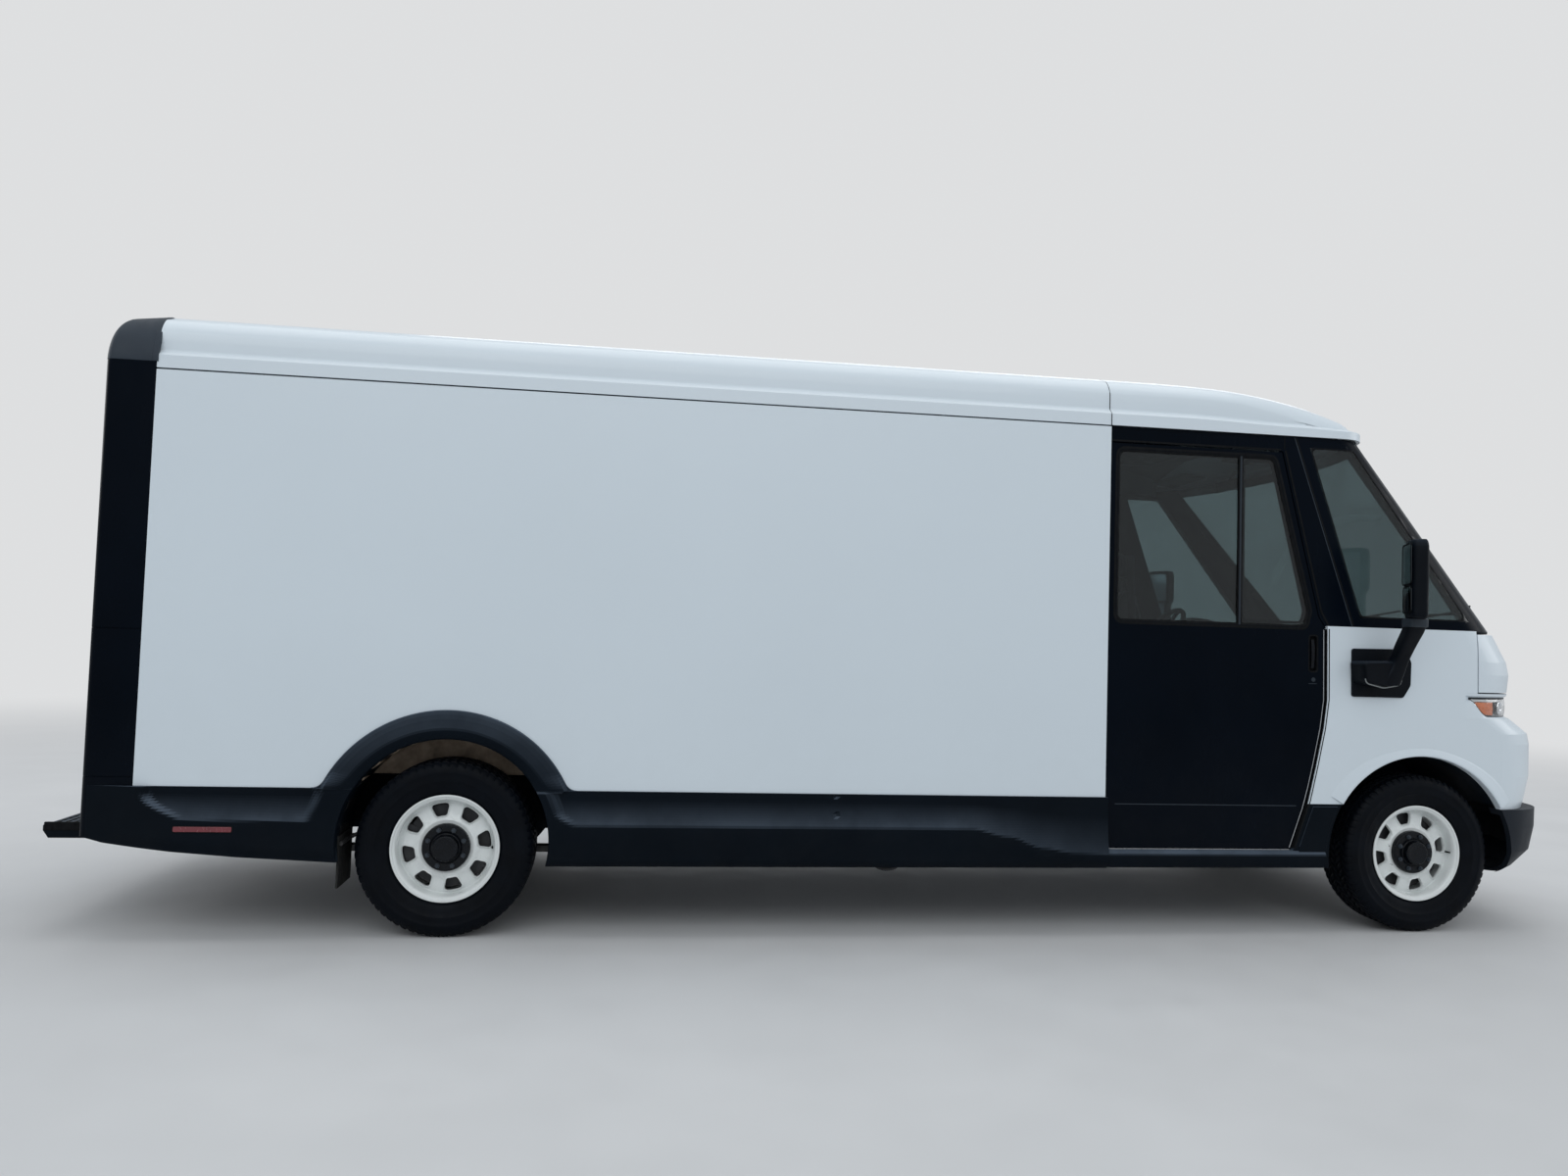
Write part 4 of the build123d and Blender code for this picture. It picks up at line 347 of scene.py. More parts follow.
class Shape:
    """Points and faces of one piece, gathered surface by surface."""

    def __init__(self):
        self.points = []
        self.faces = []

    def sheet(self, rows, round_rows=False, round_columns=False):
        """Quads between rows of points, closed round either way if wanted."""
        first = len(self.points)
        wide = len(rows[0])
        for row in rows:
            self.points.extend(tuple(p) for p in row)
        last_row = len(rows) if round_rows else len(rows) - 1
        last_column = wide if round_columns else wide - 1
        for i in range(last_row):
            for j in range(last_column):
                a = first + i * wide
                b = first + (i + 1) % len(rows) * wide
                k = (j + 1) % wide
                self.faces.append((a + j, a + k, b + k, b + j))

    def cap(self, loop):
        """One flat face over a loop of points."""
        first = len(self.points)
        self.points.extend(tuple(p) for p in loop)
        self.faces.append(tuple(range(first, len(self.points))))

    def solid(self, near, far):
        """A closed prism between two matching loops."""
        self.sheet([near, far], round_columns=True)
        self.cap(list(reversed(near)))
        self.cap(far)

    def box(self, low, high):
        """A box between two opposite corners."""
        near = [(low[0], low[1], low[2]), (high[0], low[1], low[2]), (high[0], low[1], high[2]),
                (low[0], low[1], high[2])]
        self.solid(near, [(x, high[1], z) for x, _, z in near])

    def plate(self, outline, y0, y1):
        """An outline drawn in x and z, from y0 to y1."""
        self.solid([(x, y0, z) for x, z in outline], [(x, y1, z) for x, z in outline])

    def slice(self, outline, x0, x1):
        """An outline drawn in y and z, from x0 to x1."""
        self.solid([(x0, y, z) for y, z in outline], [(x1, y, z) for y, z in outline])

    def ring(self, outer, inner, y0, y1):
        """A flat frame between two outlines in x and z with as many points each."""
        loops = [(outer, y0), (outer, y1), (inner, y1), (inner, y0)]
        self.sheet([[(x, y, z) for x, z in loop] for loop, y in loops], round_rows=True, round_columns=True)

    def lathe(self, profile, centre, steps=64, arc=(0.0, 360.0)):
        """A profile of (radius, y) turned about the y line through the centre (x, z)."""
        whole = arc[1] - arc[0] >= 360.0
        count = steps if whole else steps + 1
        rows = []
        for k in range(count):
            angle = math.radians(arc[0] + (arc[1] - arc[0]) * k / steps)
            rows.append([(centre[0] + r * math.cos(angle), y, centre[1] + r * math.sin(angle))
                         for r, y in profile])
        self.sheet(rows, round_rows=whole)

    def tube(self, path, radius, sides=10, closed=False):
        """A round bar along a line of points."""
        path = [Vector(p) for p in path]
        rings = []
        for k, point in enumerate(path):
            ahead = path[(k + 1) % len(path)] if closed or k + 1 < len(path) else point
            behind = path[k - 1] if closed or k else point
            run = (ahead - behind).normalized()
            guide = Vector((0, 0, 1)) if abs(run.z) < 0.9 else Vector((1, 0, 0))
            u = run.cross(guide).normalized()
            v = run.cross(u)
            wide = radius[k] if isinstance(radius, (list, tuple)) else radius
            rings.append([point + (u * math.cos(t) + v * math.sin(t)) * wide
                          for t in (2 * math.pi * n / sides for n in range(sides))])
        self.sheet(rings, round_rows=closed, round_columns=True)
        if not closed:
            self.cap(list(reversed(rings[0])))
            self.cap(rings[-1])

    def mirrored(self):
        """Adds the same again on the other side of the centre plane."""
        first = len(self.points)
        self.points += [(x, -y, z) for x, y, z in self.points]
        self.faces += [tuple(first + n for n in reversed(face)) for face in self.faces]
        return self

    def other_side(self):
        """The same shape on the other side of the centre plane."""
        made = Shape()
        made.points = [(x, -y, z) for x, y, z in self.points]
        made.faces = [tuple(reversed(face)) for face in self.faces]
        return made


def piece(name, shape, look, body="body", slot=None, replaces=(), bevel=0.0, angle=35.0, thick=0.0,
          outward=True):
    """Turns a shape into an object that rides on a body and has its finish."""
    mesh = bpy.data.meshes.new(name)
    mesh.from_pydata(shape.points, [], shape.faces)
    made = bmesh.new()
    made.from_mesh(mesh)
    bmesh.ops.remove_doubles(made, verts=made.verts, dist=0.00002)
    if outward:
        bmesh.ops.recalc_face_normals(made, faces=made.faces)
    made.to_mesh(mesh)
    made.free()
    mesh.shade_smooth()
    mesh.set_sharp_from_angle(angle=math.radians(angle))
    thing = bpy.data.objects.new(name, mesh)
    SCENE.collection.objects.link(thing)
    if bevel:
        rounding = thing.modifiers.new("rounding", "BEVEL")
        rounding.width = bevel
        rounding.segments = 3
        rounding.limit_method = "ANGLE"
        rounding.angle_limit = math.radians(angle)
        rounding.harden_normals = True
    if thick:
        thing.modifiers.new("thick", "SOLIDIFY").thickness = thick
    mesh.materials.append(LOOKS[look])
    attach(thing, body)
    if replaces:
        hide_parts(*replaces)
    return thing


def curve(points, steps=8, closed=False):
    """A smooth line through points (Catmull-Rom), of any dimension."""
    count = len(points)
    made = []
    spans = count if closed else count - 1
    for i in range(spans):
        a = points[(i - 1) % count] if closed or i else points[0]
        b, c = points[i], points[(i + 1) % count]
        d = points[(i + 2) % count] if closed or i + 2 < count else points[-1]
        for k in range(steps):
            t = k / steps
            made.append(tuple(
                0.5 * (2 * q + (r - p) * t + (2 * p - 5 * q + 4 * r - s) * t * t
                       + (3 * q - p - 3 * r + s) * t ** 3)
                for p, q, r, s in zip(a, b, c, d)))
    if not closed:
        made.append(tuple(points[-1]))
    return made


def rounded(outline, radii, steps=6):
    """A closed 2-D outline with its corners rounded; radii is one number or one for each corner."""
    count = len(outline)
    made = []
    for i, corner in enumerate(outline):
        radius = radii[i] if isinstance(radii, (list, tuple)) else radii
        here = Vector(corner)
        back = Vector(outline[i - 1]) - here
        ahead = Vector(outline[(i + 1) % count]) - here
        turn = back.angle(ahead)
        reach = min(radius / math.tan(turn / 2), back.length * 0.48, ahead.length * 0.48)
        start = here + back.normalized() * reach
        end = here + ahead.normalized() * reach
        for k in range(steps + 1):
            t = k / steps
            made.append(tuple(start * (1 - t) ** 2 + here * 2 * t * (1 - t) + end * t * t))
    return made


def grown(outline, distance):
    """A closed 2-D outline, wound anticlockwise, moved outward by a distance."""
    count = len(outline)
    made = []
    for i in range(count):
        back = Vector(outline[i]) - Vector(outline[i - 1])
        ahead = Vector(outline[(i + 1) % count]) - Vector(outline[i])
        if back.length < 1e-9:
            back = ahead
        if ahead.length < 1e-9:
            ahead = back
        out = Vector((back.y, -back.x)).normalized() + Vector((ahead.y, -ahead.x)).normalized()
        out = out.normalized() * distance / max(0.4, math.cos(back.angle(ahead) / 2))
        made.append((outline[i][0] + out.x, outline[i][1] + out.y))
    return made


def oblong(u0, v0, u1, v1):
    """Corners of an upright rectangle, from its lower left."""
    return [(u0, v0), (u1, v0), (u1, v1), (u0, v1)]


def around(u, v, half_u, half_v):
    """Corners of an upright rectangle about its middle."""
    return oblong(u - half_u, v - half_v, u + half_u, v + half_v)


def evenly(count, low=0.0, high=1.0):
    """The ends of count equal steps from low to high."""
    return [low + (high - low) * k / count for k in range(count + 1)]


def straight(table, x):
    """A value from a table of (x, value), straight between its rows."""
    for (x0, a), (x1, b) in zip(table, table[1:]):
        if x <= x1:
            return a + (b - a) * max(0.0, (x - x0) / (x1 - x0))
    return table[-1][1]


def between(first, second, t):
    """An outline part of the way from one outline to another."""
    return [(a[0] + (b[0] - a[0]) * t, a[1] + (b[1] - a[1]) * t) for a, b in zip(first, second)]


def spread(outline, count, closed=True):
    """An outline again, with points evenly along it."""
    line = list(outline) + ([outline[0]] if closed else [])
    lengths = [0.0]
    for a, b in zip(line, line[1:]):
        lengths.append(lengths[-1] + math.dist(a, b))
    made = []
    for k in range(count):
        want = lengths[-1] * k / (count if closed else count - 1)
        i = min(max(n for n in range(len(lengths)) if lengths[n] <= want + 1e-12), len(line) - 2)
        t = (want - lengths[i]) / max(lengths[i + 1] - lengths[i], 1e-9)
        made.append(tuple(p + (q - p) * t for p, q in zip(line[i], line[i + 1])))
    return made


def circle(centre, radius, count=24):
    """Points round a circle, in its own plane."""
    return [(centre[0] + radius * math.cos(2 * math.pi * k / count),
             centre[1] + radius * math.sin(2 * math.pi * k / count)) for k in range(count)]


# --- Tyres and wheels ----------------------------------------------------------------------------
# A wheel is drawn about its own middle: o is outward along the axle, r the radius.

TREAD_PITCHES = 66                                      # tread blocks round the tyre
SLOTS = 8                                               # openings in the wheel's disc
BOLT_RING = 0.0825                                      # radius of the nuts' circle
NUT_R = 0.0115                                          # middle to corner of a nut
SLOT_RING = 0.162                                       # radius through the middles of the slots
RIBS = [(-0.0995, -0.0660), (-0.0575, -0.0245), (-0.0160, 0.0160), (0.0245, 0.0575), (0.0660, 0.0995)]


def tread_columns():
    """Across the tread: (o, how much of the full radius, kind of ground)."""
    columns = []
    for number, (start, end) in enumerate(RIBS):
        shoulder = number in (0, len(RIBS) - 1)
        inner = (start + end) / 2
        columns += [(start, "floor" if number else "edge"), (start + 0.0012, number),
                    (inner, number), (end - 0.0012, number),
                    (end, "floor" if number < len(RIBS) - 1 else "edge")]
        if shoulder:
            columns[-3] = (inner + (0.004 if number else -0.004), number)
    return columns


def tyre_shape():
    """Sidewalls with their rings, and a tread of blocks between grooves."""
    wall = [(-0.092, 0.2240), (-0.0955, 0.2350), (-0.1020, 0.2420), (-0.1050, 0.2440), (-0.1105, 0.2560),
            (-0.1150, 0.2720), (-0.1190, 0.2900), (-0.1200, 0.2915), (-0.1212, 0.2935), (-0.1220, 0.3100),
            (-0.1225, 0.3260), (-0.1234, 0.3280), (-0.1232, 0.3320), (-0.1205, 0.3450), (-0.1165, 0.3560)]
    shoulder = [(-0.1135, 0.3625), (-0.1095, 0.3690), (-0.1035, 0.3748)]
    tread = tread_columns()
    fractions = [0.0, 0.10, 0.44, 0.50, 0.54, 0.94]
    rows = []
    for pitch in range(TREAD_PITCHES):
        for step, fraction in enumerate(fractions):
            row = list(wall)
            for o, r in shoulder:
                row.append((o, r - (0.0045 if step in (0, 1) else 0.0)))
            for o, kind in tread:
                crown = TYRE_R - 0.0035 * (o / 0.1) ** 4
                if kind == "floor":
                    radius = crown - 0.0085
                elif kind == "edge":
                    radius = crown - 0.0045 - (0.004 if step in (0, 1) else 0.0)
                else:
                    notch = (step in (0, 1)) if kind in (0, 2, 4) else (step in (3, 4))
                    radius = crown - (0.0065 if notch else 0.0)
                row.append((o, radius))
            for o, r in reversed(shoulder):
                row.append((-o, r - (0.0045 if step in (0, 1) else 0.0)))
            row += [(-o, r) for o, r in reversed(wall)]
            turned = []
            for o, r in row:
                skew = 0.35 * math.sin(75.0 * max(-0.1, min(0.1, o)))
                angle = 2 * math.pi * (pitch + fraction + skew) / TREAD_PITCHES
                turned.append((r * math.cos(angle), o, r * math.sin(angle)))
            rows.append(turned)
    made = Shape()
    made.sheet(rows, round_rows=True)
    return made


def slot_loop(grow):
    """Outline of a wheel's slot, in (across, radius), grown outward, from its lower left corner."""
    low, high = 0.1365 - grow, 0.1905 + grow
    narrow, wide = 0.0272 + grow, 0.0362 + grow
    corners = [(-narrow, low), (narrow, low), (wide, high), (-wide, high)]
    return spread(rounded(corners, 0.016 + grow, 8), 96)


def wheel_shape():
    """White steel wheel: lip, barrel and a disc with eight raised slots."""
    made = Shape()
    sector = 2 * math.pi / SLOTS
    dish = curve([(0.118, 0.0625), (0.126, 0.0612), (0.134, 0.0545), (0.150, 0.0495), (0.172, 0.0470),
                  (0.192, 0.0435), (0.199, 0.0405)], 4)
    inner, outer = 0.118, 0.199
    edge = slot_loop(0.0)
    for index in range(SLOTS):
        centre = sector * (index + 0.25) + math.pi / 2
        rows = []
        middle = Vector((0.0, SLOT_RING))
        for kind, grow, lift in (("wall", 0.0, -0.007), ("wall", 0.0, 0.0035), ("lip", 0.0022, 0.0085),
                                 ("lip", 0.0050, 0.0060), ("lip", 0.0080, 0.0012), ("edge", 0.0, 0.0)):
            loop = slot_loop(grow) if kind != "edge" else []
            if kind == "edge":
                for a, r in edge:
                    out = Vector((a, r)) - middle
                    sideways = (sector / 2) / max(abs(math.atan2(out.x, SLOT_RING)), 1e-6)
                    room = outer - SLOT_RING if out.y > 0 else SLOT_RING - inner
                    t = min(sideways, room / max(abs(out.y), 1e-6))
                    turn = math.atan2(out.x, SLOT_RING) * t
                    turn = max(-sector / 2, min(sector / 2, turn))
                    loop.append((turn * SLOT_RING, SLOT_RING + out.y * t))
                sides = (-sector / 2 * SLOT_RING, sector / 2 * SLOT_RING)
                for corner in ((a, r) for a in sides for r in (inner, outer)):
                    nearest = min(range(len(loop)), key=lambda k: (Vector(loop[k]) - Vector(corner)).length)
                    loop[nearest] = corner
            row = []
            for a, r in loop:
                turn = a / SLOT_RING
                r_here = min(max(r, inner), outer)
                row.append((r_here * math.cos(centre + turn), straight(dish, r_here) + lift,
                            r_here * math.sin(centre + turn)))
            rows.append(row)
        made.sheet(rows, round_columns=True)
    lip = curve([(0.196, 0.0395), (0.199, 0.0403), (0.2035, 0.0425), (0.2055, 0.0560), (0.2075, 0.0800),
                 (0.2120, 0.0940), (0.2180, 0.0985), (0.2215, 0.1000), (0.2245, 0.1045), (0.2300, 0.1052),
                 (0.2326, 0.1035), (0.2328, 0.0990), (0.2290, 0.0950)], 3)
    made.lathe(lip, (0, 0), 96)
    back = [(0.2290, 0.0950), (0.2150, 0.0920), (0.2140, -0.0900), (0.2326, -0.0950), (0.2326, -0.1045),
            (0.2060, -0.1045), (0.2050, 0.0380), (0.2035, 0.0425)]
    made.lathe(back, (0, 0), 96)
    bell = [(0.122, 0.0600), (0.118, 0.0624), (0.1120, 0.0600), (0.1050, 0.0580), (0.1000, 0.0570),
            (0.0500, 0.0500)]
    made.lathe(bell, (0, 0), 96)
    return made


def hub_shape():
    """Black hub: a flange with eight nuts, and the cap that stands out of it."""
    made = Shape()
    flange = curve([(0.104, 0.056), (0.1035, 0.074), (0.1005, 0.0815), (0.0950, 0.0840), (0.0720, 0.0835),
                    (0.0640, 0.0800), (0.0590, 0.0810), (0.0565, 0.0860), (0.0560, 0.1040), (0.0535, 0.1100),
                    (0.0480, 0.1118), (0.0300, 0.1100), (0.0010, 0.1095)], 4)
    made.lathe(flange, (0, 0), 64)
    return made


def nut_shape():
    """The hub's eight nuts and their studs."""
    made = Shape()
    for number in range(8):
        angle = math.radians(45 * number + 22.5)
        x, z = BOLT_RING * math.cos(angle), BOLT_RING * math.sin(angle)
        nut = [(x + NUT_R * math.cos(angle + math.pi * k / 3), z + NUT_R * math.sin(angle + math.pi * k / 3))
               for k in range(6)]
        made.solid([(a, 0.080, b) for a, b in nut],
                   [(x + (a - x) * 0.97, 0.0930, z + (b - z) * 0.97) for a, b in nut])
        stud = circle((x, z), 0.0055, 10)
        made.solid([(a, 0.090, b) for a, b in stud], [(a, 0.1000, b) for a, b in stud])
    return made


def valve_shape():
    """Tyre valve beside the disc."""
    made = Shape()
    made.tube([(0.196, 0.052, 0.0), (0.197, 0.066, 0.0), (0.1985, 0.080, 0.0)], [0.0045, 0.0042, 0.0035], 10)
    return made


def brake_shape():
    """Brake disc and caliper behind the slots."""
    made = Shape()
    made.lathe([(0.070, 0.012), (0.180, 0.012), (0.181, 0.010), (0.181, -0.012), (0.180, -0.014),
                (0.070, -0.014)], (0, 0), 64)
    made.lathe([(0.125, 0.020), (0.190, 0.020), (0.194, 0.016), (0.194, -0.035), (0.125, -0.035),
                (0.125, 0.020)], (0, 0), 12, (150, 215))
    return made


def put_wheel(shape, axle_x, side):
    """A shape drawn about the wheel's middle, set in one corner of the van."""
    made = Shape()
    made.points = [(axle_x + x, side * (WHEEL_Y + o), TYRE_R + z) for x, o, z in shape.points]
    made.faces = shape.faces if side > 0 else [tuple(reversed(face)) for face in shape.faces]
    return made


def add_wheels():
    """Four corners: tyre, wheel, hub, nuts and valve turn; a front brake steers with its knuckle."""
    tyre, wheel, hub, nuts = tyre_shape(), wheel_shape(), hub_shape(), nut_shape()
    valve, brake = valve_shape(), brake_shape()
    for end, axle_x in (("front", FRONT_AXLE), ("rear", REAR_AXLE)):
        for name, side in (("right", RIGHT), ("left", LEFT)):
            corner = f"{end}_{name}"
            body = f"wheel_{corner}"
            piece(f"tread_{corner}", put_wheel(tyre, axle_x, side), "tyre", body,
                  replaces=[f"tyre_{corner}"], angle=28)
            piece(f"disc_{corner}", put_wheel(wheel, axle_x, side), "wheel_paint", body,
                  replaces=[f"rim_{corner}"], angle=40)
            piece(f"hub_{corner}", put_wheel(hub, axle_x, side), "hub_black", body, angle=40)
            piece(f"hub_nuts_{corner}", put_wheel(nuts, axle_x, side), "hub_nut", body, bevel=0.001)
            piece(f"valve_{corner}", put_wheel(valve, axle_x, side), "seal", body)
            carrier = f"knuckle_{name}" if end == "front" else "body"
            piece(f"brake_{corner}", put_wheel(brake, axle_x, side), "frame_steel", carrier)


# --- Curved skins of the cab, as stacked plan sections -------------------------------------------

def plan_line(front, half, corner, bow, back, inset=0.0, counts=(10, 14, 26)):
    """Left half of a plan section: points (x, y) from the back, round the corner, to the centre."""
    front, half, corner = front - inset, half - inset, corner - inset
    arc = (half ** 2 + bow ** 2) / (2 * bow)
    centre = front - arc
    turn_x = centre + math.sqrt((arc - corner) ** 2 - (half - corner) ** 2)
    turn_y = half - corner
    end = math.atan2(turn_y, turn_x - centre)
    made = [(back + (turn_x - back) * k / counts[0], half) for k in range(counts[0])]
    for k in range(counts[1]):
        angle = math.pi / 2 + (end - math.pi / 2) * k / counts[1]
        made.append((turn_x + corner * math.cos(angle), turn_y + corner * math.sin(angle)))
    for k in range(counts[2] + 1):
        angle = end * (1 - k / counts[2])
        made.append((centre + arc * math.cos(angle), arc * math.sin(angle)))
    return made


class Skin:
    """A nose skin: plan sections (height, front, corner, bow) joined straight."""

    def __init__(self, sections, half, back):
        self.sections = sections
        self.half = half
        self.back = back

    def row(self, z, inset=0.0, counts=(10, 14, 26)):
        """The plan section at a height, as points (x, y)."""
        for low, high in zip(self.sections, self.sections[1:]):
            if z <= high[0] or high is self.sections[-1]:
                break
        k = (z - low[0]) / (high[0] - low[0])
        lines = [plan_line(s[1], self.half, s[2], s[3], self.back, inset, counts) for s in (low, high)]
        return between(*lines, k)

    def y_at(self, x, z, inset=0.0):
        """Where the skin's side is at x and z."""
        row = self.row(z, inset, (6, 24, 40))
        for (x0, y0), (x1, y1) in zip(row, row[1:]):
            if x0 <= x <= x1:
                return y0 + (y1 - y0) * (x - x0) / max(x1 - x0, 1e-9)
        return row[0][1] if x < row[0][0] else 0.0

    def x_at(self, y, z, inset=0.0):
        """Where the skin's front is at y and z."""
        row = self.row(z, inset, (6, 24, 40))
        for (x0, y0), (x1, y1) in zip(row, row[1:]):
            if y1 <= y <= y0:
                return x0 + (x1 - x0) * (y0 - y) / max(y0 - y1, 1e-9)
        return row[-1][0]

    def part(self, z, start_x, end_y=0.0, inset=0.0, count=24):
        """The row from where it passes start_x to where it reaches end_y, evenly spaced."""
        row = self.row(z, inset, (30, 40, 60))
        kept = [p for p in row if p[0] >= start_x and p[1] >= end_y]
        kept = [(start_x, self.y_at(start_x, z, inset))] + kept
        if kept[-1][1] > end_y + 1e-6:
            kept.append((self.x_at(end_y, z, inset), end_y))
        return spread(kept, count, closed=False)


GLASSHOUSE = Skin([(WAIST, F + 0.615, 0.260, 0.190), (HEADER, F - 0.150, 0.150, 0.190)], GLASS_HALF,
                  CAB_JOINT)
UPPER_NOSE = Skin([(1.050, F + 0.724, 0.320, 0.190), (1.175, F + 0.726, 0.320, 0.190),
                   (1.268, F + 0.738, 0.320, 0.190), (1.331, F + 0.724, 0.320, 0.190),
                   (WAIST, F + 0.636, 0.320, 0.190)], HALF, CAB_JOINT)
FASCIA = Skin([(0.606, F + 0.806, 0.320, 0.190), (0.640, F + 0.820, 0.320, 0.190),
               (0.765, F + 0.851, 0.320, 0.190), (0.925, F + 0.853, 0.320, 0.190),
               (0.976, F + 0.842, 0.320, 0.190), (1.050, F + 0.740, 0.320, 0.190)], HALF, CAB_JOINT)
BUMPER = Skin([(0.275, F + 0.600, 0.320, 0.190), (0.290, F + 0.680, 0.320, 0.190),
               (0.322, F + 0.750, 0.320, 0.190), (0.400, F + 0.846, 0.320, 0.190),
               (0.515, F + 0.876, 0.320, 0.190), (0.606, F + 0.880, 0.320, 0.190)], HALF + 0.006, CAB_JOINT)


def on_skin(skin, outline, out=0.001):
    """Points of an outline in x and z, laid on a skin's left side."""
    return [(x, skin.y_at(x, z) + out, z) for x, z in outline]


def band_on(skin, outer, inner, out=0.0012, rows=4):
    """A thin band on a skin between two outlines in x and z with as many points each."""
    made = Shape()
    grid = []
    for t in evenly(rows):
        grid.append(on_skin(skin, between(outer, inner, t), out))
    made.sheet(grid, round_columns=True)
    return made


def ease(value, low, high):
    """A smooth step from 0 at low to 1 at high."""
    t = max(0.0, min(1.0, (value - low) / (high - low)))
    return t * t * (3 - 2 * t)


def along(table, x):
    """A value from a table of (x, value), eased between its rows."""
    if x <= table[0][0]:
        return table[0][1]
    for (x0, a), (x1, b) in zip(table, table[1:]):
        if x <= x1:
            return a + (b - a) * ease(x, x0, x1)
    return table[-1][1]


# --- Roof ----------------------------------------------------------------------------------------

ROOF_FALL = [  # metres back from the front axle, then the drops of crease, shoulder and crown
    (1.640, 0.0, 0.0, 0.0), (1.250, 0.0, 0.003, 0.0), (1.000, 0.008, 0.014, 0.003),
    (0.790, 0.042, 0.038, 0.010), (0.640, 0.076, 0.066, 0.020), (0.510, 0.104, 0.098, 0.038),
    (0.390, 0.135, 0.145, 0.070), (0.300, 0.175, 0.215, 0.106), (0.200, 0.232, 0.300, 0.154),
    (0.060, 0.300, 0.380, 0.236),
]
CREASE_Z = ROOF_FOOT + 0.154                            # side crease over the load box
LEDGE_IN = 0.025                                        # width of the drip ledge
SHOULDER_RISE = 0.249                                   # where the roof turns down, over its foot
SHOULDER_IN = 0.130                                     # and in from the side


def roof_drops(x):
    """How far crease, shoulder and crown have fallen at x."""
    behind = F - x
    if behind >= ROOF_FALL[0][0]:
        return 0.0, 0.0, 0.0
    index = max(i for i in range(len(ROOF_FALL) - 1) if ROOF_FALL[i][0] >= behind)
    start, end = ROOF_FALL[index], ROOF_FALL[index + 1]
    before, after = ROOF_FALL[max(index - 1, 0)], ROOF_FALL[min(index + 2, len(ROOF_FALL) - 1)]
    span = start[0] - end[0]
    t = min(1.0, (start[0] - behind) / span)
    drops = []
    for c in (1, 2, 3):
        leave = (end[c] - before[c]) / (before[0] - end[0]) * span
        arrive = (after[c] - start[c]) / (start[0] - after[0]) * span
        rise = end[c] - start[c]
        drops.append(start[c] + leave * t + (3 * rise - 2 * leave - arrive) * t ** 2
                     + (leave + arrive - 2 * rise) * t ** 3)
    return tuple(drops)


def roof_height(x, y):
    """Height of the roof's surface; beyond the shoulder it turns down to the crease."""
    crease, shoulder, crown = roof_drops(x)
    top = ROOF_FOOT + SHOULDER_RISE - shoulder
    peak = ROOF_TOP - crown
    base = CREASE_Z - crease
    turn = HALF - SHOULDER_IN
    y = abs(y)
    if y <= turn:
        return top + (peak - top) * (1 - (y / turn) ** 2)
    t = min(1.0, (y - turn) / (SHOULDER_IN - LEDGE_IN))
    fall = 0.22 * t + 0.78 * (1 - math.sqrt(max(0.0, 1 - t * t * 0.94))) / (1 - math.sqrt(0.06))
    return top + (base - top) * fall


def roof_plan(x_end, inset):
    """Left half of the roof's plan outline, set in by an inset."""
    line = plan_line(F - 0.095, HALF, 0.160, 0.235, x_end, inset, (1, 18, 40))
    return [(x, HALF - inset) for x in evenly(60, x_end, line[1][0])[:-1]] + line[1:]


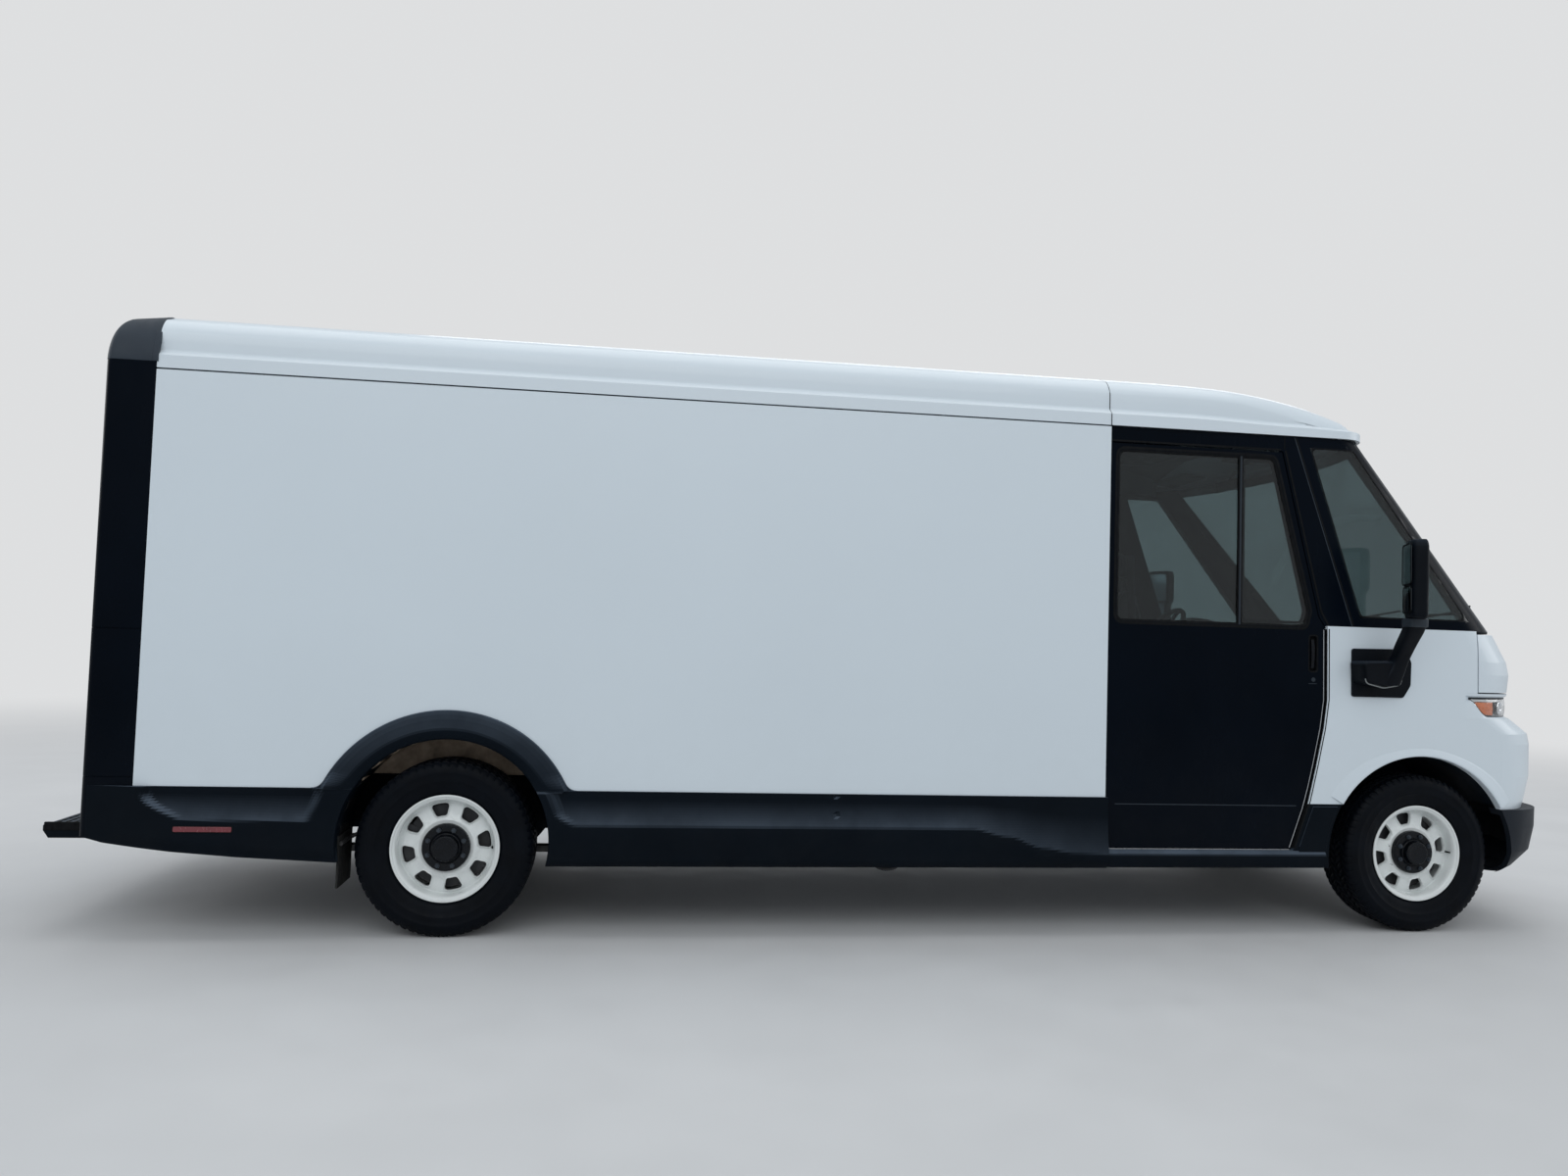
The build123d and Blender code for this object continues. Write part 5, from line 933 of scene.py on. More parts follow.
def add_roof():
    """One skin from the rear frame to the windshield, with its drip ledge and side crease."""
    outer = roof_plan(BOX_REAR, 0.0)
    wall = roof_plan(BOX_REAR, LEDGE_IN)
    count = len(outer)
    front = [x for x, _ in wall].index(next(x for x, _ in wall if x > F - 0.95))
    rows = []
    for i in range(count):
        (ox, oy), (wx, wy) = outer[i], wall[i]
        ledge_out = along([(F - 1.24, 2.466), (F - 0.65, 2.452), (F - 0.40, 2.446)], ox)
        ledge_in = along([(F - 1.24, 2.486), (F - 0.65, 2.469), (F - 0.40, 2.458)], ox)
        centre_x = wx
        if i > front:
            t = (i - front) / (count - 1 - front)
            centre_x = wall[front][0] + (wall[-1][0] - wall[front][0]) * t
        row = [(ox, oy - 0.030, ROOF_FOOT + 0.004), (ox, oy, ROOF_FOOT + 0.001), (ox, oy, ROOF_FOOT + 0.02),
               (ox, oy, ledge_out - 0.004), (ox + (wx - ox) * 0.1, oy + (wy - oy) * 0.1, ledge_out),
               (ox + (wx - ox) * 0.9, oy + (wy - oy) * 0.9, ledge_in - 0.002)]
        top = roof_height(wx, wy)
        low = min(ledge_in + 0.004, top - 0.006)
        row += [(wx, wy, low), (wx, wy, low + (top - low) * 0.5)]
        round_in = 0.05 * ease(ox, F - 0.75, F - 0.42)
        for d in (0.0, 0.0025, 0.008, 0.018, 0.032, 0.05):
            reach = math.hypot(wx - centre_x, wy)
            t = min(1.0, d / max(reach, 1e-6))
            x, y = wx + (centre_x - wx) * t, wy * (1 - t)
            sink = 0.0
            if round_in > 0.001 and d < round_in:
                sink = round_in * 0.55 * (1 - math.sqrt(1 - (1 - d / round_in) ** 2))
            row.append((x, y, max(low + 0.002, roof_height(x, y) - sink)))
        start_x, start_y = row[-1][0], row[-1][1]
        for t in evenly(14)[1:]:
            x, y = start_x + (centre_x - start_x) * t, start_y * (1 - t)
            row.append((x, y, roof_height(x, y)))
        rows.append(row)
    made = Shape()
    made.sheet(rows)
    piece("roof_skin", made.mirrored(), "white_paint", replaces=["cargo_roof", "cab_roof"], angle=22,
          outward=False)
    seam = Shape()
    line = rows[max(i for i in range(count) if outer[i][0] <= CAB_JOINT)]
    path = [(CAB_JOINT, y, z - 0.0019) for _, y, z in line[1:]]
    seam.tube(path + [(x, -y, z) for x, y, z in reversed(path[:-1])], 0.0022, 6)
    piece("roof_joint_seam", seam, "seal")
    lining = Shape()
    across = (0.0, 0.2, 0.4, 0.6, 0.8, 0.9, 0.955)
    for side in (RIGHT, LEFT):
        grid = []
        for x in evenly(12, CAB_JOINT + 0.01, F - 0.41):
            row = [(x, side * y, min(ROOF_FOOT + 0.14, roof_height(x, y) - 0.045)) for y in across]
            grid.append(row + [(x, side * 0.975, ROOF_FOOT - 0.03)])
        lining.sheet(grid)
    piece("headliner", lining, "headliner", outward=False)


# --- Black lower cladding ------------------------------------------------------------------------

def arch_x(z, side, radius=REAR_ARCH_R):
    """Where the rear arch's edge crosses a height: side is -1 behind the wheel and +1 ahead."""
    return REAR_AXLE + side * math.sqrt(max(0.0, radius ** 2 - (z - REAR_ARCH_Z) ** 2))


def concave(z, crease, top, out, sunk):
    """Stand-out of a scooped face: full at the crease, quickly sinking above it."""
    if z <= crease:
        return out
    t = (z - crease) / (top - crease)
    return sunk + (out - sunk) * (1 - t) ** 2.6


def quarter_out(x, z):
    """Stand-out of the cladding behind the rear wheel."""
    out = 0.030 * ease(x, FRAME_REAR + 0.02, BOX_REAR + 0.075)
    foot = quarter_foot(x)
    out *= 1 - 0.35 * ease(foot + 0.05 - z, 0.0, 0.05)
    crease = 0.507
    start = BOX_REAR + 0.035 + 0.16 * (1 - ease(z, crease - 0.02, PANEL_FOOT - 0.02)) ** 1.4
    end = REAR_AXLE - REAR_ARCH_R - 0.055 - 0.035 * (1 - ease(z, crease, PANEL_FOOT))
    inside = ease(x, start, start + 0.045) * (1 - ease(x, end - 0.045, end))
    inside *= ease(z, crease - 0.006, crease + 0.006)
    scoop = concave(z, crease, PANEL_FOOT, out, 0.006)
    return out + (min(out, scoop) - out) * inside


def quarter_foot(x):
    """Height of the rear cladding's lower edge."""
    table = [(FRAME_REAR + 0.01, 0.436), (FRAME_REAR + 0.10, 0.412), (REAR_AXLE - 1.10, 0.378),
             (REAR_AXLE - 0.843, 0.357), (REAR_AXLE - 0.43, 0.335)]
    return straight(table, x)


def add_quarter_cladding():
    """Scooped panel behind the rear wheel."""
    start = FRAME_REAR + 0.030
    rows = []
    for s in evenly(90):
        column = []
        for t in [0.0] + evenly(26):
            x = start + (REAR_AXLE - REAR_ARCH_R - start) * s
            for _ in range(3):
                z = PANEL_FOOT - 0.001 + (quarter_foot(x) - PANEL_FOOT) * t
                x = start + (arch_x(z, -1) - start) * s
            column.append([x, HALF + quarter_out(x, z), z])
        column[0][1] = HALF - 0.008
        x, y, z = column[-1]
        column += [[x, y - 0.004, z - 0.002], [x, HALF - 0.010, z + 0.002]]
        if s == 1.0:
            rows.append([(p[0] - 0.002, p[1] - 0.001, p[2]) for p in column])
            rows.append([(p[0], p[1] - 0.006, p[2]) for p in column])
            rows.append([(p[0], HALF - 0.045, p[2]) for p in column])
        else:
            rows.append([tuple(p) for p in column])
    made = Shape()
    made.sheet(rows)
    return made.mirrored()


def add_flare():
    """Rolled flare over the rear arch."""
    section = [(0.1255, 0.0), (0.125, 0.0065), (0.121, 0.0105), (0.108, 0.0150), (0.088, 0.0205),
               (0.066, 0.0255), (0.050, 0.0290), (0.040, 0.0302), (0.028, 0.0295), (0.012, 0.0262),
               (0.003, 0.0215), (0.0, 0.016), (0.0, -0.045)]
    rows = []
    for k in range(97):
        row = []
        for wide, out in section:
            radius = REAR_ARCH_R + wide
            low = math.asin((PANEL_FOOT - REAR_ARCH_Z) / radius)
            angle = low + (math.pi - 2 * low) * k / 96
            blend = ease(min(angle - low, math.pi - low - angle), 0.0, 0.16)
            lift = out if wide > 0.12 or out < 0 else out + (0.030 - out) * (1 - blend) * 0.75
            row.append((REAR_AXLE + radius * math.cos(angle), HALF + lift,
                        REAR_ARCH_Z + radius * math.sin(angle)))
        rows.append(row)
    made = Shape()
    made.sheet(rows)
    for side in (-1, 1):
        fan = []
        for t in evenly(6):
            z = PANEL_FOOT + 0.035 * (1 - t) ** 2
            edge = REAR_AXLE + side * math.sqrt(FLARE_R ** 2 - (z - REAR_ARCH_Z) ** 2)
            tip = edge + side * 0.036 * t * t
            fan.append([(edge - side * 0.012, HALF + 0.010, z - 0.002), (tip, HALF + 0.0065, z),
                        (tip, HALF, z + 0.001)])
        made.sheet(fan)
    return made.mirrored()


SILL_CREASE = [(F - 2.30, 0.496), (F - 2.12, 0.462), (F - 1.95, 0.410), (F - 1.80, 0.388), (F - 1.60, 0.381)]


def sill_out(x, z):
    """Stand-out of the sill between the rear arch and the cab door."""
    crease = along(SILL_CREASE, x)
    low = 0.030 - 0.016 * ease(crease - z, 0.02, crease - SILL_FOOT)
    low -= 0.012 * ease(SILL_FOOT + 0.02 - z, 0.0, 0.02)
    start = arch_x(z, 1) + 0.055 + 0.05 * (1 - ease(z, crease, crease + 0.07)) ** 2
    inside = ease(x, start - 0.02, start + 0.03) * ease(z, crease - 0.005, crease + 0.005)
    scoop = concave(z, crease, PANEL_FOOT, 0.030, 0.0075)
    out = low + (scoop - low) * inside
    if abs(x + 0.198) < 0.0016 or (z > PANEL_FOOT - 0.0015 and x < arch_x(z, 1) + 0.12):
        out -= 0.006
    return out


def add_sill():
    """Scooped panel between the rear wheel and the cab door."""
    end = CAB_JOINT + 0.011
    rows = []
    stops = sorted(evenly(150) + [0.3985, 0.3995, 0.4005, 0.4015])
    for s in stops:
        column = []
        for t in [0.0] + evenly(30):
            z = PANEL_FOOT - 0.001 + (SILL_FOOT - PANEL_FOOT) * t
            x = arch_x(z, 1) + (end - arch_x(z, 1)) * s
            column.append([x, HALF + sill_out(x, z), z])
        column[0][1] = HALF - 0.008
        x, y, z = column[-1]
        column += [[x, y - 0.005, z - 0.001], [x, HALF - 0.010, z + 0.001]]
        if s == 0.0:
            rows.append([(p[0], HALF - 0.045, p[2]) for p in column])
            rows.append([(p[0], p[1] - 0.006, p[2]) for p in column])
            rows.append([(p[0] + 0.002, p[1] - 0.001, p[2]) for p in column])
        elif s == 1.0:
            rows.append([tuple(p) for p in column])
            rows.append([(p[0], HALF - 0.010, p[2]) for p in column])
        else:
            rows.append([tuple(p) for p in column])
    made = Shape()
    made.sheet(rows)
    return made.mirrored()


def arch_points(z_from, z_to, count=14):
    """Rear part of the front arch's edge, between two heights."""
    a = math.pi - math.asin((z_from - FRONT_ARCH_Z) / FRONT_ARCH_R)
    b = math.pi - math.asin((z_to - FRONT_ARCH_Z) / FRONT_ARCH_R)
    return [(FRONT_ARCH + FRONT_ARCH_R * math.cos(a + (b - a) * k / count),
             FRONT_ARCH_Z + FRONT_ARCH_R * math.sin(a + (b - a) * k / count)) for k in range(count + 1)]


def add_threshold():
    """Cladding under the cab door and its corner behind the front wheel."""
    x0 = CAB_JOINT + 0.012
    top = 0.402
    sill = Shape()
    profile = [(HALF - 0.085, top), (HALF - 0.008, top), (HALF - 0.001, 0.400), (HALF + 0.0105, 0.384),
               (HALF + 0.0120, 0.376), (HALF + 0.0085, 0.335), (HALF + 0.004, 0.322), (HALF - 0.006, 0.3172),
               (HALF - 0.085, 0.3172)]
    sill.slice(profile, x0, F - 0.52)
    piece("door_sill", sill.mirrored(), "black_plastic", bevel=0.002)
    corner = Shape()
    outline = [(F - 0.70, 0.318), (F - 0.70, top), (F - 0.687, top), (F - 0.606, 0.6235)]
    outline += arch_points(0.6235, 0.318)
    corner.plate(outline, HALF - 0.090, HALF - 0.0005)
    inset = [(F - 0.66, 0.330), (F - 0.655, 0.42), (F - 0.585, 0.612), (F - 0.455, 0.612)]
    inset += [(x - 0.016, z) for x, z in arch_points(0.59, 0.335)]
    corner.plate(inset, HALF - 0.002, HALF + 0.003)
    piece("door_sill_corner", corner.mirrored(), "black_plastic", bevel=0.0025)
    strip = Shape()
    strip.box((x0 + 0.004, DOOR_INNER - 0.01, top + 0.0002), (F - 0.700, HALF - 0.010, top + 0.0032))
    piece("door_threshold", strip.mirrored(), "silver", bevel=0.001)


def add_cladding():
    """Panels, flare and threshold of the black cladding, and its marker lamp."""
    shapes = (("quarter_panel", add_quarter_cladding(), ["rear_cladding"]), ("arch_flare", add_flare(), []),
              ("sill_panel", add_sill(), ["sill_cladding"]))
    for name, shape, gone in shapes:
        piece(name, shape, "black_plastic", replaces=gone, angle=50, outward=False)
    add_threshold()
    marker = Shape()
    outline = rounded(oblong(REAR_AXLE - 1.088, 0.460, REAR_AXLE - 0.857, 0.482), 0.006)
    marker.plate(outline, HALF + 0.024, HALF + 0.0335)
    piece("side_marker_lens", marker.mirrored(), "red_lens", bevel=0.002)
    bezel = Shape()
    bezel.plate(grown(outline, 0.004), HALF + 0.022, HALF + 0.0315)
    piece("side_marker_bezel", bezel.mirrored(), "seal", bevel=0.001)


# --- Rear end ------------------------------------------------------------------------------------

OPENING_HALF = high_corner("rear_door").y
OPENING_FOOT = low_corner("rear_door").z
OPENING_TOP = high_corner("rear_door").z
TURN_FOOT = ROOF_FOOT + 0.014                           # where the frame's posts start to turn inward
SHOULDER_Z = ROOF_FOOT + SHOULDER_RISE
SHOULDER_Y = HALF - SHOULDER_IN
FRAME_SEAMS = (0.681, 1.298)                            # joints in the frame's posts
CAP_FOOT = 2.432                                        # lower edge of the frame's cap, whose paler colour is painted top light
CAP_OUT = 0.0028                                        # how far the cap stands out of the frame
MARKER_Z = 2.418                                        # marker lamps above the rear door


def arc_through(a, m, b, steps):
    """Points on the circle through three 2-D points, from the first to the last."""
    (ax, ay), (bx, by), (cx, cy) = a, m, b
    d = 2 * (ax * (by - cy) + bx * (cy - ay) + cx * (ay - by))
    a_far, b_far, c_far = ax ** 2 + ay ** 2, bx ** 2 + by ** 2, cx ** 2 + cy ** 2
    ux = (a_far * (by - cy) + b_far * (cy - ay) + c_far * (ay - by)) / d
    uy = (a_far * (cx - bx) + b_far * (ax - cx) + c_far * (bx - ax)) / d
    radius = math.hypot(ax - ux, ay - uy)
    start = math.atan2(ay - uy, ax - ux)
    turn = math.atan2(cy - uy, cx - ux) - start
    middle = math.atan2(by - uy, bx - ux) - start
    while turn - math.pi > 0:
        turn -= 2 * math.pi
    while turn + math.pi < 0:
        turn += 2 * math.pi
    if middle * turn < 0 and abs(middle) < math.pi:
        turn += 2 * math.pi if turn < 0 else -2 * math.pi
    return [(ux + radius * math.cos(start + turn * k / steps),
             uy + radius * math.sin(start + turn * k / steps)) for k in range(steps + 1)]


def edge_inset(radius, distance):
    """How far a rounded edge is still set in at a distance from its face."""
    if distance >= radius:
        return 0.0
    return radius - math.sqrt(radius ** 2 - (radius - distance) ** 2)


def frame_line(distance):
    """Left half of the frame's outline at a distance from its rear face, from foot to crown."""
    sunk = edge_inset(0.034, distance)
    low = edge_inset(0.062, distance) + 0.024 * (1 - min(1.0, distance / 0.207))
    side = HALF - sunk
    turn = SHOULDER_Y - sunk / 2
    top = SHOULDER_Z - low
    mid_y = (side + turn) / 2 + (top - TURN_FOOT) * 0.16
    mid_z = (TURN_FOOT + top) / 2 + (side - turn) * 0.16
    line = [(side * k / 8, FRAME_FOOT) for k in range(8)]
    stops = [(FRAME_FOOT, 0.0), (0.56, 0.0)]
    for seam, above in zip(FRAME_SEAMS, (0.95, 1.80)):
        stops += [(seam - 0.0022, 0.0), (seam - 0.0012, 0.003), (seam + 0.0012, 0.003), (seam + 0.0022, 0.0),
                  (above, 0.0)]
    stops += [(TURN_FOOT - 0.006, 0.0)]
    line += [(side - inset, z) for z, inset in stops]
    shoulder = arc_through((side, TURN_FOOT), (mid_y, mid_z), (turn, top), 16)
    crown = arc_through((turn, top), (0.0, ROOF_TOP - low - 0.001), (-turn, top), 32)[1:17]
    return line + shoulder + crown


def opening_line(grow=0.0):
    """The door opening, with as many points as the frame's outline."""
    side, foot, top, corner = OPENING_HALF + grow, OPENING_FOOT - grow, OPENING_TOP + grow, 0.035
    outline = frame_line(0.2)
    line = [(side * k / 8, foot) for k in range(8)]
    count = len(outline) - 8 - 17 - 16
    for _, z in outline[8:8 + count]:
        t = (z - FRAME_FOOT) / (TURN_FOOT - FRAME_FOOT)
        line.append((side, foot + (top - corner - foot) * t))
    for k in range(17):
        angle = math.pi / 2 * k / 16
        line.append((side - corner + corner * math.cos(angle), top - corner + corner * math.sin(angle)))
    return line + [((side - corner) * (1 - k / 16), top) for k in range(1, 17)]


def add_rear_frame():
    """Rounded frame round the rear opening, with the cap over its top in a paler colour, painted as the light
    on its upward faces.
    """
    depth = BOX_REAR - FRAME_REAR
    rows = []
    inner = opening_line()
    face = frame_line(0.0)
    for distance, line in ((depth - 0.001, inner), (0.018, inner), (0.012, opening_line(0.003)),
                           (0.0085, opening_line(0.012)), (0.0085, between(face, opening_line(), 0.52)),
                           (0.0070, between(face, opening_line(), 0.47)),
                           (0.0, between(face, opening_line(), 0.44)),
                           (0.0, between(face, opening_line(), 0.10))):
        rows.append([(FRAME_REAR + distance, y, z) for y, z in line])
    for distance in (0.0, 0.0008, 0.002, 0.004, 0.007, 0.011, 0.016, 0.022, 0.028, 0.034, 0.050, 0.070, 0.090,
                     0.110, 0.150, 0.1945, 0.196, 0.2045, 0.2055):
        rows.append([(FRAME_REAR + distance, y, z) for y, z in frame_line(distance)])
    rows.append([(FRAME_REAR + 0.2066, y * 0.9975, z - 0.002) for y, z in frame_line(0.2)])
    rows.append([(FRAME_REAR + 0.2066, y, z) for y, z in between(frame_line(0.2), inner, 0.3)])
    made = Shape()
    made.sheet(rows)
    piece("rear_frame_skin", made.mirrored(), "black_paint", replaces=["rear_frame"], angle=30)
    cap_rows = []
    sections = [(0.0002, 0.0, 0.0), (0.0008, 0.0016, 0.0)]
    sections += [(distance, CAP_OUT, 0.0) for distance in (
        0.002, 0.004, 0.007, 0.011, 0.016, 0.022, 0.028, 0.034, 0.048, 0.070, 0.110, 0.150, 0.188)]
    sections += [(0.191, CAP_OUT + 0.0022, 0.0), (0.2100, CAP_OUT + 0.0022, 0.0),
                 (0.2125, CAP_OUT + 0.0005, 0.0), (0.2125, -0.0100, -0.010)]
    for distance, grow, rise in sections:
        line = frame_line(min(distance, 0.206))[-34:]
        row = []
        for n, (y, z) in enumerate(line):
            share = ease(y, 0.35, 0.90)
            high = z if n > 1 else (CAP_FOOT if n else CAP_FOOT - 0.0012)
            out = grow if n else 0.0002
            row.append((FRAME_REAR + distance, y + out * share, max(high, CAP_FOOT - 0.0012) + 0.0009 + rise))
        cap_rows.append(row)
    cap = Shape()
    cap.sheet(cap_rows)
    piece("rear_frame_cap", cap.mirrored(), "top_lit_cap_plastic", angle=30, outward=False)


def add_rear_door():
    """Roll-up door: flat slats with hinge gaps, a metal foot with its rubber, handle and guides."""
    x = low_corner("rear_door").x + 0.022
    half = OPENING_HALF - 0.004
    count = 9
    pitch = (OPENING_TOP - OPENING_FOOT) / count
    profile = []
    for k in range(count):
        z = OPENING_FOOT + k * pitch
        for rise, back in ((0.0, 0.009), (0.0022, 0.009), (0.0035, 0.0035), (0.0065, 0.0008), (0.014, 0.0)):
            profile.append((x + back, z + rise))
        for rise, back in ((0.014, 0.0), (0.0065, 0.0008), (0.0035, 0.0035), (0.0022, 0.009)):
            profile.append((x + back, z + pitch - rise))
    slats = Shape()
    slats.sheet([[(a, -half, z) for a, z in profile], [(a, half, z) for a, z in profile]])
    slats.sheet([[(x + 0.012, -half, OPENING_FOOT), (x + 0.012, -half, OPENING_TOP)],
                 [(x + 0.012, half, OPENING_FOOT), (x + 0.012, half, OPENING_TOP)]])
    piece("rear_door_slats", slats, "white_paint", replaces=["rear_door"], angle=30, outward=False)
    metal = Shape()
    metal.box((x - 0.009, -half + 0.004, OPENING_FOOT + 0.022),
              (x + 0.004, half - 0.004, OPENING_FOOT + 0.075))
    for side in (RIGHT, LEFT):
        metal.box((x - 0.016, side * (half + 0.003), OPENING_FOOT),
                  (x + 0.012, side * (half - 0.022), OPENING_TOP))
    piece("rear_door_guides", metal, "silver", bevel=0.0025)
    rubber = Shape()
    rubber.box((x - 0.007, -half + 0.01, OPENING_FOOT + 0.001),
               (x + 0.004, half - 0.01, OPENING_FOOT + 0.021))
    rubber.box((x - 0.014, -half, OPENING_TOP - 0.020), (x + 0.004, half, OPENING_TOP - 0.001))
    piece("rear_door_rubber", rubber, "seal", bevel=0.004)
    hardware = Shape()
    z = OPENING_FOOT + 0.165
    hardware.slice(rounded(around(0.0, z, 0.105, 0.045), 0.014), x - 0.0045, x + 0.001)
    hardware.slice(rounded(oblong(0.20, z - 0.030, 0.285, z + 0.030), 0.010), x - 0.006, x + 0.001)
    hardware.tube(curve([(x - 0.003, -0.080, z), (x - 0.026, -0.074, z), (x - 0.030, -0.040, z),
                         (x - 0.030, 0.040, z), (x - 0.026, 0.074, z), (x - 0.003, 0.080, z)], 5), 0.0072, 12)
    piece("rear_door_handle", hardware, "hub_black", bevel=0.0015)
    latch = Shape()
    latch.tube([(x - 0.005, 0.2425, z), (x - 0.013, 0.2425, z)], [0.0135, 0.0120], 24)
    latch.slice(oblong(0.2395, z - 0.008, 0.2455, z + 0.008), x - 0.0145, x - 0.012)
    piece("rear_door_lock", latch, "silver", bevel=0.0006)
    strap = Shape()
    hang = [(0.004, 0.0, 0.06), (0.013, 0.0, 0.055), (0.015, 0.002, 0.02), (0.016, 0.005, -0.05),
            (0.015, 0.003, -0.11)]
    strap.sheet([[(x - out, y - sway, OPENING_FOOT + rise) for out, sway, rise in hang]
                 for y in (-0.30, -0.27)])
    piece("rear_door_strap", strap, "seal", outward=False, thick=0.002)


def add_rear_lamps():
    """Tall tail lamps in three parts, top marker lamps and the camera."""
    x = FRAME_REAR
    housing, red, white, amber = Shape(), Shape(), Shape(), Shape()
    outline = rounded(oblong(0.926, 0.893, 1.004, 1.257), 0.016)
    housing.slice(outline, x - 0.0045, x + 0.01)
    rib = 0.0105
    for shape, low, high in ((red, 1.088, 1.249), (amber, 0.994, 1.083), (white, 0.901, 0.989)):
        lens = rounded(oblong(0.934, low, 0.996, high), 0.008)
        shape.slice(lens, x - 0.0095, x - 0.003)
        for n in range(int((high - low) / rib)):
            z = low + 0.0075 + n * rib
            shape.box((x - 0.0099, 0.940, z - 0.0016), (x - 0.0093, 0.990, z + 0.0016))
    for shape in (housing, red, white, amber):
        shape.mirrored()
    for y in (-0.72, -0.16, 0.0, 0.16, 0.72):
        housing.slice(rounded(around(y, MARKER_Z, 0.050, 0.017), 0.012), x - 0.004, x + 0.008)
        red.slice(rounded(around(y, MARKER_Z, 0.043, 0.011), 0.009), x - 0.0095, x - 0.003)
    piece("tail_lamp_housing", housing, "seal", replaces=["rear_lamps"], bevel=0.002)
    piece("tail_lamp_red", red, "red_lens", bevel=0.0015)
    piece("tail_lamp_amber", amber, "amber_lens", bevel=0.0015)
    piece("tail_lamp_white", white, "lamp_white", bevel=0.0015)
    camera = Shape()
    camera.slice(rounded([(-0.045, 2.326), (0.045, 2.326), (0.036, 2.366), (-0.036, 2.366)], 0.012),
                 x - 0.026, x + 0.01)
    camera.tube([(x - 0.018, 0, 2.340), (x - 0.030, 0, 2.332)], [0.015, 0.012], 24)
    piece("reversing_camera", camera, "hub_black", bevel=0.004)


def add_rear_plate():
    """Blank number plate, its holder and lamp."""
    x = FRAME_REAR
    plate = Shape()
    plate.slice(rounded(oblong(0.500, 0.478, 0.805, 0.628), 0.012), x - 0.0065, x - 0.0045)
    piece("rear_plate", plate, "plate_blank", bevel=0.0006)
    holder = Shape()
    holder.slice(rounded(oblong(0.490, 0.470, 0.815, 0.636), 0.014), x - 0.0045, x + 0.009)
    holder.box((x - 0.030, 0.600, 0.630), (x + 0.002, 0.705, 0.648))
    for y in (0.535, 0.77):
        holder.tube([(x - 0.004, y, 0.612), (x - 0.0085, y, 0.612)], 0.006, 12)
    piece("rear_plate_holder", holder, "seal", bevel=0.003)


def add_rear_step():
    """Anti-slip ribs on the step, its end caps and reflectors."""
    low, high = low_corner("rear_step"), high_corner("rear_step")
    grip = Shape()
    for row in range(5):
        x = low.x + 0.045 + row * 0.034
        for middle in evenly(33, 0.045 - high.y, high.y - 0.045):
            y = middle + (0.009 if row % 2 else -0.003)
            foot, top = around(x, y, 0.006, 0.016), around(x, y, 0.0045, 0.014)
            grip.solid([(*corner, high.z - 0.001) for corner in foot],
                       [(*corner, high.z + 0.003) for corner in top])
    piece("step_grip", grip, "rubber")
    edge = Shape()
    for side in (RIGHT, LEFT):
        edge.box((low.x + 0.004, side * (high.y + 0.004), high.z - 0.030),
                 (FRAME_REAR - 0.004, side * (high.y - 0.010), high.z + 0.006))
    piece("step_ends", edge, "seal", bevel=0.004)
    reflector = Shape()
    for side in (RIGHT, LEFT):
        y0, y1 = sorted((side * 0.70, side * 0.82))
        reflector.slice(oblong(y0, low.z + 0.036, y1, low.z + 0.050), low.x, low.x + 0.004)
    piece("step_reflectors", reflector, "red_lens")


